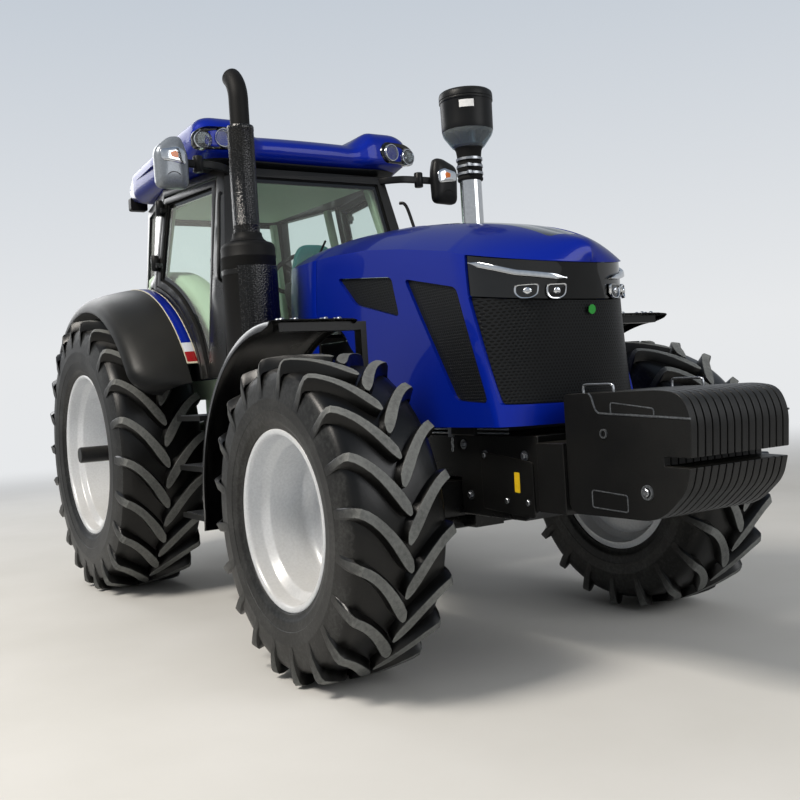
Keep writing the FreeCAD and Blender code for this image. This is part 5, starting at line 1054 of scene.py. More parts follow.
hood_sheet = carved(hood_form(0.0), [hood_form(0.020), across(BAND, 0.012), across(GRILLE, 0.012), across(FRONT_VENT, 0.035),
                           across(REAR_VENT, 0.035), top_cutter, arch_cutter, intake_hole])
hood_piece = build("hood_shell_dressed", hood_sheet, BLUE, "hood", sharp=32)
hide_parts("hood_shell")
panel = build("hood_top_panel_dressed", sheet_piece(0.003, 0.012, top_keeper),
              GLOSS, "hood", sharp=32)
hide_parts("hood_top_panel")
band = build("lamp_band_dressed", sheet_piece(0.010, 0.012, across(BAND, 0.012, GAP)), GLOSS, "hood", sharp=32)
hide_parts("lamp_band")
mesh_front = build("front_grille_dressed", sheet_piece(0.014, 0.008,
                                                       across(GRILLE, 0.012, GAP)),
                   GRILLE_SHEET, "hood", sharp=32)
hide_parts("front_grille")
vents = joined(*[sheet_piece(0.016, 0.006, across(corners, 0.034, 0.001))
                 for corners in (FRONT_VENT, REAR_VENT)])
mesh_side = build("side_vents_dressed", vents, VENT_SHEET, "hood", sharp=32)
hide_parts("side_vents")
print("hood pieces", [len(p.data.polygons) for p in (hood_piece, panel, band, mesh_front,
                                                      mesh_side)])
# %% [markdown]
# The lamps sit in the glossy black band. A slim silver light bar runs round each corner of
# the nose, and two D-shaped projector lamps with bright rims stand under it. We draw each
# outline flat and lay it on the nose: every outline point asks the nose for its surface
# place and moves out along the local direction.


# %% Hood lamps
def on_nose(centre, outline, rows):
    """Rings of one outline laid on the nose; rows are (scale, height above the surface)."""
    outline = np.asarray(outline, float)
    rings = [[on_hood(centre[0] + u * scale, centre[1] + v * scale, outside)[0]
              for u, v in outline] for scale, outside in rows]
    points, faces = shell_of(np.array(rings), wrap_columns=True)
    last = len(points) - len(outline)
    return points, faces + [list(range(len(outline))), list(range(last, len(points)))]


D_LAMP = [(-0.046, 0.030), (-0.040, -0.020), (-0.012, -0.037), (0.030, -0.034), (0.046, -0.010),
          (0.044, 0.030)]
BAR_SECTION = rounded([(-0.012, -0.006), (0.012, -0.006), (0.012, 0.010), (-0.012, 0.010)],
                      0.004, 3)
bars, rims, bowls, eyes = [], [], [], []
for side in (1, -1):
    turns = np.linspace(0.835, 0.17, 48)
    heights = np.interp(turns, [0.17, 0.5, 0.835], [1.806, 1.738, 1.702])
    path = np.array([on_hood(side * wall_point(1.0, turn, z)[1], z, 0.001)[0]
                     for turn, z in zip(turns, heights)])
    outwards = np.array([on_hood(side * wall_point(1.0, turn, z)[1], z)[1]
                         for turn, z in zip(turns, heights)])
    along = np.gradient(path, axis=0)
    along /= np.linalg.norm(along, axis=1, keepdims=True)
    across_bar = np.cross(outwards, along)
    taper = np.clip(np.minimum(np.arange(48), 47 - np.arange(48)) / 5.0, 0.25, 1)[:, None, None]
    points = (path[:, None] + across_bar[:, None] * BAR_SECTION[None, :, :1] * taper
              + outwards[:, None] * BAR_SECTION[None, :, 1:])
    points, faces = shell_of(points, wrap_columns=True)
    count = len(BAR_SECTION)
    bars.append((points, faces + [list(range(count)), list(range(len(points) - count,
                                                                len(points)))]))
    for y, z, size in ((0.172, 1.650, 1.0), (0.285, 1.656, 0.95)):
        outline = rounded(np.array(D_LAMP) * np.array([side, 1]) * size, 0.016, 5)
        rims.append(on_nose((side * y, z), outline, [(1.0, -0.004), (1.0, 0.005), (0.95, 0.008),
                                                     (0.84, 0.007), (0.82, 0.001)]))
        bowls.append(on_nose((side * y, z), outline, [(0.83, -0.003), (0.83, 0.002),
                                                      (0.60, 0.0025), (0.3, 0.0025)]))
        eyes.append(on_nose((side * y, z), circle(0.015, 24), [(1.0, 0.0), (1.0, 0.006),
                                                               (0.8, 0.0095), (0.4, 0.011)]))
build("light_bars", joined(*bars), CHROME_TRIM, "hood", sharp=50)
build("head_lamp_rims", joined(*rims), CHROME_TRIM, "hood", sharp=50)
build("head_lamp_bowls", joined(*bowls), GLOSS, "hood", sharp=50)
build("head_lamp_eyes", joined(*eyes), REFLECTOR, "hood", sharp=50)
build("hood_sticker", on_nose((0.012, 1.566), circle(0.021, 32), [(1.0, -0.001), (1.0, 0.0016)]),
      GREEN_FILM, "hood")
print("hood lamps:", len(rims))
# %% [markdown]
# ## Roof, lamps and beacon
#
# The roof is a moulded shell: a low crown over the cab, and at each front corner a hump
# that holds two work lamps. We take one outline in side view for every station across the
# roof. Between the stations the outline's corners slide from the visor's values to the
# hump's values, and close to each side the outline shrinks towards its own middle, which
# rounds the edge.

# %% Roof shell
ROOF_STATIONS = 97
ROOF_OUTLINE = [
    # x at the visor, z at the visor, x at the hump, z at the hump, half width there
    (-0.400, 2.790, -0.400, 2.790, 0.670), (-0.430, 2.900, -0.430, 2.900, 0.680),
    (-0.130, 2.982, -0.130, 2.975, 0.745), (0.450, 2.996, 0.450, 2.982, 0.790),
    (0.900, 2.978, 0.760, 2.998, 0.790), (1.175, 2.936, 1.205, 3.026, 0.785),
    (1.262, 2.880, 1.288, 2.960, 0.785), (1.256, 2.798, 1.296, 2.800, 0.775),
    (1.170, 2.748, 1.215, 2.772, 0.760), (1.050, 2.728, 1.060, 2.728, 0.760),
    (-0.100, 2.726, -0.100, 2.726, 0.720),
]


def ease(low, high, value):
    """Smooth step: 3 t^2 - 2 t^3, with t from 0 at low to 1 at high."""
    t = np.clip((value - low) / (high - low), 0, 1)
    return t * t * (3 - 2 * t)


def roof_grid():
    """Rows across the roof, columns round the outline; hump factor rises from y .36 to .52."""
    across = np.sin(np.linspace(-1, 1, ROOF_STATIONS) * math.pi / 2)
    rows = np.asarray(ROOF_OUTLINE)
    stations = []
    for share in across:
        hump = ease(0.33, 0.50, abs(share) * 0.79)
        corners = rows[:, :2] * (1 - hump) + rows[:, 2:4] * hump
        crown = -0.020 * (1 - hump) * share ** 2 * (corners[:, 1] > 2.85)
        corners = corners + np.stack([0 * crown, crown], -1)
        loop = rounded(corners, 0.060, 7)
        width = np.interp(loop[:, 0], rows[1:8, 0], rows[1:8, 4])
        rim = np.clip((abs(share) - 0.80) / 0.20, 0, 1)
        shrink = (1 - rim ** 2.6) ** (1 / 2.6)
        middle = np.array([np.clip(loop[:, 0].mean() + 0.0, 0.2, 0.6), 2.868])
        height = middle[1] + (loop[:, 1] - middle[1]) * shrink
        ahead_by = loop[:, 0] + (middle[0] - loop[:, 0]) * 0.10 * (1 - shrink)
        stations.append(np.stack([ahead_by, share * width, height], -1))
    return np.array(stations)


roof_points, roof_faces = shell_of(roof_grid(), wrap_columns=True)
columns = len(ROOF_OUTLINE) * 7
roof_faces += [list(range(columns)), list(range(len(roof_points) - columns, len(roof_points)))]
roof = build("roof_dressed", (roof_points, roof_faces), BLUE, "root", sharp=50)
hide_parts("roof")
print("roof triangles", sum(len(f.vertices) - 2 for f in roof.data.polygons))

# %% [markdown]
# Under the visor a black strip closes the gap to the windshield. It is partly a black moulded
# lip and partly painted shade, where the visor's underside lies in its own shadow. In the front
# of each hump sits a black lamp bay with two round lamps. A lamp is turned metal and glass: a
# rim, a reflector bowl with a small bulb, and a domed lens in front.

# %% Lamp parts
LAMPS = [(1.300, 0.745, 2.852, 0.056), (1.306, 0.610, 2.872, 0.058)]


def lamp_shells(radius, depth):
    """Rim, reflector bowl, bulb and lens of a round lamp that faces +x, its lens at x = 0."""
    steps = np.linspace(0, 1, 12)
    rim = turned([(-depth, radius * 0.90), (-depth, radius), (0.002, radius), (0.006, radius * 0.97),
                  (0.006, radius * 0.90), (-0.004, radius * 0.86), (-0.010, radius * 0.86)],
                 (0, 0, 0), "x", 48)
    bowl = turned([(-0.008, radius * 0.88)]
                  + [(-0.010 - (depth - 0.016) * (1 - s ** 2), radius * 0.86 * s)
                     for s in steps[::-1]], (0, 0, 0), "x", 40)
    bulb = turned([(-depth + 0.004, 0.0), (-depth + 0.004, radius * 0.22),
                   (-depth * 0.5, radius * 0.22), (-depth * 0.34, radius * 0.12),
                   (-depth * 0.3, 0.0)], (0, 0, 0), "x", 20)
    lens = turned([(0.000, radius * 0.9)] + [(0.002 + 0.010 * (1 - s ** 2), radius * 0.9 * s)
                                            for s in steps[::-1]]
                  + [(-0.003, 0.0), (-0.003, radius * 0.9)], (0, 0, 0), "x", 40)
    return rim, bowl, bulb, lens


def lamp_pieces(name, places, radius_scale, depth, yaw=0.0, body="root", tilt=0.0):
    """Several round lamps as three pieces: bright metal, bulbs and lenses."""
    groups = {"metal": [], "bulbs": [], "lenses": []}
    for x, y, z, radius in places:
        aim = math.copysign(yaw, y)
        spin = np.array(Matrix.Rotation(aim, 3, "Z") @ Matrix.Rotation(tilt, 3, "Y"))
        rim, bowl, bulb, lens = lamp_shells(radius * radius_scale, depth)
        for key, shells in (("metal", [rim, bowl]), ("bulbs", [bulb]), ("lenses", [lens])):
            groups[key] += [(points @ spin.T + np.array([x, y, z]), faces)
                            for points, faces in shells]
    made = [build(f"{name}_metal", joined(*groups["metal"]), CHROME_TRIM, body, sharp=40),
            build(f"{name}_bulbs", joined(*groups["bulbs"]), WHITE_FILM, body, sharp=40),
            build(f"{name}_lenses", joined(*groups["lenses"]), LENS, body, sharp=40)]
    return made


front_lamps = lamp_pieces("roof_lamps", [(x, side * y, z, r) for side in (1, -1)
                                         for x, y, z, r in LAMPS], 1.0, 0.055, yaw=0.18)
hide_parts("roof_lamps")


def lamp_bay(side):
    """Black bay: an outline in front view, bowed with the hump, 30 mm deep."""
    corners = rounded([(0.800, 2.800), (0.803, 2.895), (0.735, 2.938), (0.560, 2.945),
                       (0.520, 2.870), (0.560, 2.806)], 0.04, 8)
    centre = corners.mean(0)
    rings = []
    for share, x in ((1.02, 1.262), (1.02, 1.292), (0.975, 1.300), (0.92, 1.296), (0.55, 1.288),
                     (0.0, 1.286)):
        ring = centre + (corners - centre) * share
        bow = -0.16 * np.clip(ring[:, 0] - 0.66, 0, 1) ** 1.2
        rings.append(np.stack([x + bow, side * ring[:, 0], ring[:, 1]], -1))
    points, faces = shell_of(np.array(rings), wrap_columns=True)
    return points, faces + [list(range(len(corners)))]


bays = build("lamp_bays", joined(lamp_bay(1), lamp_bay(-1)), GLOSS, "root",
             sharp=35)
# Black strip under the visor: partly a moulded lip, partly painted shade for the visor's dark underside.
shade_lip_outline = rounded([(1.225, 2.766), (1.150, 2.742), (1.030, 2.7215), (1.030, 2.700),
                       (1.160, 2.716), (1.236, 2.752)], 0.01, 3)
shade_lip_rows = []
for share in np.linspace(-1, 1, 41):
    fall = 0.020 * abs(share) ** 3
    shade_lip_rows.append(np.stack([shade_lip_outline[:, 0] - 0.05 * abs(share) ** 6,
                              np.full(len(shade_lip_outline), share * 0.70),
                              shade_lip_outline[:, 1] + fall], -1))
shade_lip_points, shade_lip_faces = shell_of(np.array(shade_lip_rows), wrap_columns=True)
shade_lip_count = len(shade_lip_outline)
visor_lip_and_painted_shade = build("visor_lip_and_painted_shade", (shade_lip_points, shade_lip_faces + [
    list(range(shade_lip_count)), list(range(len(shade_lip_points) - shade_lip_count, len(shade_lip_points)))]),
    MOULDED, "root", sharp=40)

# %% [markdown]
# At the rear of the roof a work lamp hangs at each corner on a bracket, and behind the
# left hump stands a small beacon socket.

# %% Rear work lamps and beacon socket
rear_lamps = []
for side in (1, -1):
    shell = joined(block((-0.455, side * 0.60 - 0.065, 2.735), (-0.395, side * 0.60 + 0.065, 2.835),
                         0.018, "yz"),
                   block((-0.42, side * 0.60 - 0.02, 2.82), (-0.36, side * 0.60 + 0.02, 2.86),
                         0.005, "xz"))
    rear_lamps.append(shell)
rear_lamp_boxes = build("rear_work_lamps", joined(*rear_lamps), MOULDED, "root", bevel=0.003)
rear_lens = joined(*[block((-0.461, side * 0.60 - 0.055, 2.745), (-0.454, side * 0.60 + 0.055, 2.825),
                           0.014, "yz") for side in (1, -1)])
build("rear_work_lenses", rear_lens, REFLECTOR, "root", bevel=0.002)
beacon = turned([(2.975, 0.0), (2.975, 0.030), (2.995, 0.030), (2.997, 0.019), (3.030, 0.018),
                 (3.032, 0.024), (3.048, 0.024), (3.055, 0.012), (3.072, 0.010), (3.078, 0.0)],
                (0.55, 0.30, 0), "z", 28)
build("beacon_socket", beacon, ZINC, "root", sharp=35)
print("roof dressed")
# %% [markdown]
# ## Exhaust and air intake
#
# The silencer is a rolled can with pressed ends. Above it a perforated guard surrounds the
# hot pipe, and the plain outlet bends back at the top. The intake is polished tube with
# a rubber sleeve, two band clamps and a pre-cleaner: a clear bowl below, a black body with
# a ribbed lid above. All are turned parts, except for the outlet, which is a circle carried
# along its bend.

# %% Exhaust
EXHAUST_AT = (1.750, -0.700)
can_profile = [(1.240, 0.0), (1.240, 0.132), (1.246, 0.142), (1.262, 0.152), (1.285, 0.156),
               (1.300, 0.156), (1.303, 0.1580), (1.309, 0.1580), (1.312, 0.156), (2.060, 0.156),
               (2.063, 0.1580), (2.069, 0.1580), (2.072, 0.156), (2.118, 0.156), (2.135, 0.1500),
               (2.146, 0.138), (2.150, 0.124), (2.150, 0.0)]
can = build("exhaust_can_dressed", turned(can_profile, (*EXHAUST_AT, 0), "z", 96), HEAT_PROOF,
            "root", sharp=50)
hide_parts("exhaust_can")
collar = turned([(2.149, 0.0), (2.149, 0.112), (2.156, 0.113), (2.160, 0.108), (2.166, 0.100),
                 (2.176, 0.092), (2.190, 0.086), (2.206, 0.084), (2.206, 0.0)],
                (*EXHAUST_AT, 0), "z", 72)
guard = turned([(2.200, 0.072), (2.200, 0.0755), (2.245, 0.0755), (2.247, 0.0770), (2.253, 0.0770),
                (2.255, 0.0755), (2.790, 0.0755), (2.792, 0.0770), (2.812, 0.0770),
                (2.818, 0.0745), (2.818, 0.060), (2.800, 0.060), (2.240, 0.066)],
               (*EXHAUST_AT, 0), "z", 72)
BEND_START, BEND_RADIUS, BEND_TURN = 2.9717, 0.180, 55.0
straight = [(EXHAUST_AT[0], EXHAUST_AT[1], z) for z in np.linspace(2.78, BEND_START, 8)[:-1]]
arc = [(EXHAUST_AT[0] - BEND_RADIUS * (1 - math.cos(a)), EXHAUST_AT[1],
        BEND_START + BEND_RADIUS * math.sin(a))
       for a in np.radians(np.linspace(0, BEND_TURN, 18))]


def tube(path, outer, inner, steps=40):
    """A pipe with a wall: the outside and the inside surface, joined by a ring at each end."""
    path = np.asarray(path, float)
    tangent = np.gradient(path, axis=0)
    tangent /= np.linalg.norm(tangent, axis=1, keepdims=True)
    side = np.array([0.0, 1.0, 0.0])
    high = np.cross(tangent, side)
    angles = np.arange(steps) * 2 * math.pi / steps
    rings = [path[:, None] + radius * (np.cos(angles)[None, :, None] * side
                                       + np.sin(angles)[None, :, None] * high[:, None])
             for radius in (outer, inner)]
    return shell_of(np.concatenate([rings[0], rings[1][::-1]]), wrap_rows=True, wrap_columns=True)


stack = build("exhaust_stack_dressed", joined(collar, tube(straight + arc, 0.056, 0.051)),
              HEAT_PROOF, "root", sharp=50)
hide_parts("exhaust_stack")
build("exhaust_guard", guard, HAMMERED, "root", sharp=50)
sweep = np.radians(np.linspace(-48, 100, 60))
arc = np.stack([np.cos(sweep), np.sin(sweep)], -1)
shield_line = np.vstack([arc * 0.1608, arc[::-1] * 0.1580]) + np.array(EXHAUST_AT)
build("exhaust_shield", plate(shield_line, 1.300, 2.010, "xy"), HAMMERED, "root",
      sharp=50)
strap_z = (1.420, 1.980)
straps = [turned([(z - 0.014, 0.1565), (z - 0.014, 0.1590), (z + 0.014, 0.1590),
                  (z + 0.014, 0.1565)], (*EXHAUST_AT, 0), "z", 72) for z in strap_z]
strap_shells = [(points, faces) for points, faces in straps]
bracket = block((1.715, -0.66, 1.34), (1.785, -0.25, 1.40), 0.006, "xz")
build("exhaust_straps", joined(*strap_shells, bracket), CHASSIS, "root", bevel=0.001)

# %% Air intake
INTAKE_AT = (2.570, 0.300)
pipe = turned([(1.995, 0.0), (1.995, 0.0605), (2.440, 0.0605), (2.440, 0.0)],
              (*INTAKE_AT, 0), "z", 64)
intake = build("intake_pipe", pipe, POLISHED, "hood", sharp=50)
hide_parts("intake_stack")
sleeve = turned([(2.395, 0.061), (2.395, 0.069), (2.400, 0.0715), (2.408, 0.0715), (2.411, 0.069),
                 (2.418, 0.068), (2.420, 0.0695), (2.484, 0.0695), (2.487, 0.067),
                 (2.497, 0.067), (2.520, 0.066), (2.560, 0.071), (2.585, 0.082), (2.590, 0.084),
                 (2.590, 0.061)], (*INTAKE_AT, 0), "z", 64)
build("intake_sleeve", sleeve, SEAL, "hood", sharp=40)
clamps = [turned([(z - 0.0065, 0.0695), (z - 0.0065, 0.0735), (z + 0.0065, 0.0735),
                  (z + 0.0065, 0.0695)], (*INTAKE_AT, 0), "z", 64) for z in (2.432, 2.472, 2.512)]
screws = [block((INTAKE_AT[0] + 0.052, INTAKE_AT[1] - 0.062, z - 0.008),
                (INTAKE_AT[0] + 0.070, INTAKE_AT[1] - 0.036, z + 0.008), 0.004, "xy")
          for z in (2.432, 2.472)]
build("intake_clamps", joined(*clamps, *screws), ZINC, "hood", sharp=35)
bowl = turned([(2.576, 0.080), (2.583, 0.090), (2.640, 0.132), (2.655, 0.139), (2.672, 0.141),
               (2.672, 0.137), (2.655, 0.134), (2.640, 0.127), (2.588, 0.086), (2.582, 0.080)],
              (*INTAKE_AT, 0), "z", 72)
build("precleaner_bowl", bowl, SMOKED, "hood", sharp=50)
vanes = []
for k in range(10):
    angle = k * 2 * math.pi / 10
    blade = plate([(0.078, 2.600), (0.122, 2.636), (0.130, 2.664), (0.070, 2.664)], -0.0015, 0.0015)
    spin = np.array(Matrix.Rotation(angle, 3, "Z"))
    vanes.append((blade[0] @ spin.T + np.array([*INTAKE_AT, 0]), blade[1]))
core = turned([(2.585, 0.0), (2.585, 0.074), (2.668, 0.074), (2.668, 0.0)], (*INTAKE_AT, 0), "z", 32)
build("precleaner_vanes", joined(core, *vanes), ZINC, "hood", sharp=30)
lid_ribs = [(2.826, 0.1455), (2.828, 0.1490), (2.834, 0.1495), (2.838, 0.1495), (2.841, 0.1470),
            (2.844, 0.1495), (2.866, 0.1490), (2.877, 0.1455), (2.885, 0.136), (2.889, 0.118),
            (2.8895, 0.0)]
body = turned([(2.668, 0.0), (2.668, 0.1415), (2.672, 0.1425), (2.700, 0.1430), (2.820, 0.1445)]
              + lid_ribs, (*INTAKE_AT, 0), "z", 96)
build("precleaner_body", body, MOULDED, "hood", sharp=40)


def label_on_drum(centre, radius, low, high, start, end):
    """A thin curved label that lies on a drum between two angles."""
    angles = np.radians(np.linspace(start, end, 14))
    heights = np.array([low, high])
    grid = np.stack([centre[0] + radius * np.cos(angles)[None, :] + 0 * heights[:, None],
                     centre[1] + radius * np.sin(angles)[None, :] + 0 * heights[:, None],
                     np.broadcast_to(heights[:, None], (2, len(angles)))], -1)
    return walled(grid, 0.0008)


build("intake_label", label_on_drum(INTAKE_AT, 0.1452, 2.772, 2.812, -52, -20), WHITE_FILM, "hood")
print("stacks dressed")
# %% [markdown]
# ## Cowl, fenders and mirrors
#
# Between the hood and the cab stands a fixed blue collar. Its section repeats the hood's
# own, so that the two read as one form with a dark joint between them. We take the hood's
# rear section and carry it back, and give it a wall.

# %% Rear cowl
COWL_RUN = [(2.015, 0.000), (2.005, 0.004), (1.960, 0.004), (1.800, 0.002), (1.700, -0.006),
            (1.655, -0.022), (1.643, -0.045)]


def cowl_section(grow):
    """Half section of the hood at its rear edge, moved outwards; rows run up to the middle."""
    grid = hood_grid()[:, 0]
    low = grid[grid[:, 2] > 1.455]
    outline = np.vstack([[(low[0, 1], 1.452)], low[:, 1:]])
    direction = np.gradient(outline, axis=0)
    normal = np.stack([direction[:, 1], -direction[:, 0]], -1)
    normal /= np.maximum(np.linalg.norm(normal, axis=1, keepdims=True), 1e-9)
    moved = outline + normal * grow
    moved[-1, 0] = 0.0
    return moved


rows = []
for x, grow in COWL_RUN:
    half = cowl_section(grow - 0.006)
    whole = np.vstack([half, (half * np.array([-1, 1]))[-2::-1]])
    rows.append(np.stack([np.full(len(whole), x), whole[:, 0], whole[:, 1]], -1))
cowl = build("rear_cowl_dressed", walled(np.array(rows), 0.016), BLUE, "root",
             sharp=40)
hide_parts("rear_cowl")
seal_rows = []
for x, grow in ((2.012, -0.012), (2.021, -0.010), (2.026, -0.016), (2.018, -0.024)):
    half = cowl_section(grow)
    whole = np.vstack([half, (half * np.array([-1, 1]))[-2::-1]])
    seal_rows.append(np.stack([np.full(len(whole), x), whole[:, 0], whole[:, 1]], -1))
build("cowl_seal", shell_of(np.array(seal_rows), wrap_rows=True), SEAL, "root", sharp=60)
print("cowl rows", len(rows))

# %% [markdown]
# A rear fender is a moulded deck that falls outwards over the tyre and ends in a rolled
# lip. Its ends are rounded in plan, so that the section is shortened near each end. A blue
# strip with a thin pale edge runs along it beside the cab, and ends in a white and red lamp.

# %% Rear fenders
FENDER_CENTRE = (0.070, 0.830)
FENDER_START, FENDER_END = 26.5, 138.0
DECK = [(0.8685, 1.2395), (0.900, 1.2375), (0.985, 1.2215), (1.060, 1.2040), (1.120, 1.1850),
        (1.165, 1.1640), (1.190, 1.1430), (1.202, 1.1180), (1.205, 1.0880), (1.199, 1.0830),
        (1.193, 1.0880), (1.190, 1.1150), (1.178, 1.1370), (1.155, 1.1530), (1.112, 1.1720),
        (1.055, 1.1910), (0.985, 1.2070), (0.8685, 1.2230)]
SHELF = [(0.602, 1.2440), (0.780, 1.2440), (0.790, 1.2400), (0.790, 1.2250), (0.602, 1.2250)]
STRIP = [(0.7960, 1.2360), (0.7980, 1.2440), (0.8030, 1.2460), (0.8580, 1.2440),
         (0.8630, 1.2420), (0.8650, 1.2350), (0.8650, 1.2250), (0.7960, 1.2250)]


def swept_ring(profile, side, start, end, count, round_by=0.0, keep=0.45, waist=0.87):
    """A profile (y, radius) carried round the fender's centre, closed at both ends.

    Within round_by degrees of an end the part beyond the waist shrinks as a quarter ellipse.
    """
    profile = np.asarray(profile, float)
    degrees = np.linspace(start, end, count)
    if round_by:
        near = np.linspace(0, round_by, 12)
        degrees = np.unique(np.concatenate([degrees, start + near, end - near]))
    rings = []
    for degree in degrees:
        width = profile[:, 0].copy()
        if round_by:
            gap = min(degree - start, end - degree)
            share = keep + (1 - keep) * math.sqrt(max(1 - max(1 - gap / round_by, 0) ** 2, 0))
            width = np.where(width > waist, waist + (width - waist) * share, width)
        angle = math.radians(degree)
        rings.append(np.stack([FENDER_CENTRE[0] + profile[:, 1] * math.cos(angle), side * width,
                               FENDER_CENTRE[1] + profile[:, 1] * math.sin(angle)], -1))
    points, faces = shell_of(np.array(rings), wrap_columns=True)
    last = len(points) - len(profile)
    return points, faces + [list(range(len(profile))), list(range(last, last + len(profile)))]


for side, hand in ((1, "left"), (-1, "right")):
    deck = build(f"rear_fender_{hand}_dressed",
                 swept_ring(DECK, side, FENDER_START, FENDER_END, 72, 9.0), MOULDED, "root",
                 sharp=45)
    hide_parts(f"rear_fender_{hand}")
    shelf = build(f"fender_shelf_{hand}_dressed",
                  swept_ring(SHELF, side, FENDER_START + 1.0, FENDER_END, 60), MOULDED, "root",
                  sharp=45)
    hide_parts(f"fender_shelf_{hand}")
    build(f"fender_strip_{hand}", swept_ring(STRIP, side, 40.6, 131.0, 60), BLUE, "root",
          sharp=45)
    edges = [swept_ring([(y - 0.0022, 1.2380), (y - 0.0022, r), (y + 0.0022, r),
                         (y + 0.0022, 1.2380)], side, 33.2, 131.5, 64)
             for y, r in ((0.7945, 1.2462), (0.8668, 1.2440))]
    low_edge = swept_ring([(0.793, 1.2380), (0.793, 1.2458), (0.868, 1.2436), (0.868, 1.2380)],
                          side, 32.8, 33.3, 2)
    build(f"fender_lines_{hand}", joined(*edges, low_edge), CREAM, "root", sharp=40)
    build(f"fender_lamp_white_{hand}", swept_ring(STRIP, side, 37.0, 40.5, 8), WHITE_LENS, "root",
          sharp=45)
    build(f"fender_lamp_red_{hand}", swept_ring(STRIP, side, 33.3, 36.95, 8), RED_LENS, "root",
          sharp=45)
print("rear fenders dressed")

# %% [markdown]
# A front fender is a thinner moulding on a steel stay that turns with the wheel. Its two
# side edges are rolled down for stiffness. Four bolts hold it from above.

# %% Front fenders
FRONT_SKIN = [(0.790, 0.8450), (0.7905, 0.8640), (0.796, 0.8740), (0.808, 0.8785), (0.860, 0.8800),
              (1.160, 0.8800), (1.205, 0.8770), (1.222, 0.8700), (1.231, 0.8570), (1.232, 0.8330),
              (1.228, 0.8330), (1.226, 0.8540), (1.217, 0.8650), (1.203, 0.8710), (1.160, 0.8740),
              (0.860, 0.8740), (0.810, 0.8725), (0.800, 0.8690), (0.7955, 0.8610), (0.795, 0.8450)]
FRONT_START, FRONT_END = 86.0, 188.0


def front_skin(side):
    """The skin's profile carried round the front axle; its rolled edges fade at the ends."""
    profile = np.asarray(FRONT_SKIN)
    rings = []
    for degree in np.linspace(FRONT_START, FRONT_END, 80):
        near = min(degree - FRONT_START, FRONT_END - degree)
        fade = math.sqrt(np.clip(near / 6.0, 0.0, 1.0))
        radius = 0.877 + (profile[:, 1] - 0.877) * (0.25 + 0.75 * fade)
        radius = np.where(profile[:, 1] > 0.870, profile[:, 1], radius)
        angle = math.radians(degree)
        rings.append(np.stack([3.030 + radius * math.cos(angle), side * profile[:, 0],
                               0.7245 + radius * math.sin(angle)], -1))
    points, faces = shell_of(np.array(rings), wrap_columns=True)
    last = len(points) - len(profile)
    return points, faces + [list(range(len(profile))), list(range(last, last + len(profile)))]


for side, hand in ((1, "left"), (-1, "right")):
    skin = build(f"front_fender_{hand}_dressed", front_skin(side), FENDER_BLACK, f"knuckle_{hand}",
                 sharp=45)
    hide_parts(f"front_fender_{hand}")
    heads = []
    for y in (0.86, 0.93, 1.08, 1.15):
        for x in (3.008, 3.048):
            dome = turned([(1.6005, 0.0), (1.6005, 0.0130), (1.6075, 0.0115), (1.6125, 0.0070),
                           (1.6140, 0.0)], (x, side * y, 0), "z", 16)
            heads.append(dome)
    build(f"front_fender_{hand}_bolts", joined(*heads), ZINC, f"knuckle_{hand}", sharp=40)
print("front fenders dressed")

# %% [markdown]
# A mirror head is a deep moulded shell. Seen from the front it is a rounded four-sided
# shape that bulges forwards, and its rear opening holds the glass. The bulge is one surface:
# rings of the outline shrink to the middle while they rise as an ellipse does. The right
# head has a silver-grey shell with a lamp set in it, the left one is black.

# %% Mirrors
MIRROR_OUTLINE = {
    # corners (y, z) from the middle of the head, seen from the front, outer side first
    1: [(-0.092, -0.158), (0.098, -0.150), (0.105, 0.060), (0.080, 0.158), (0.020, 0.160),
        (-0.105, 0.105)],
    -1: [(-0.098, -0.155), (0.100, -0.155), (0.105, 0.040), (0.062, 0.158), (-0.010, 0.150),
         (-0.102, 0.075)],
}


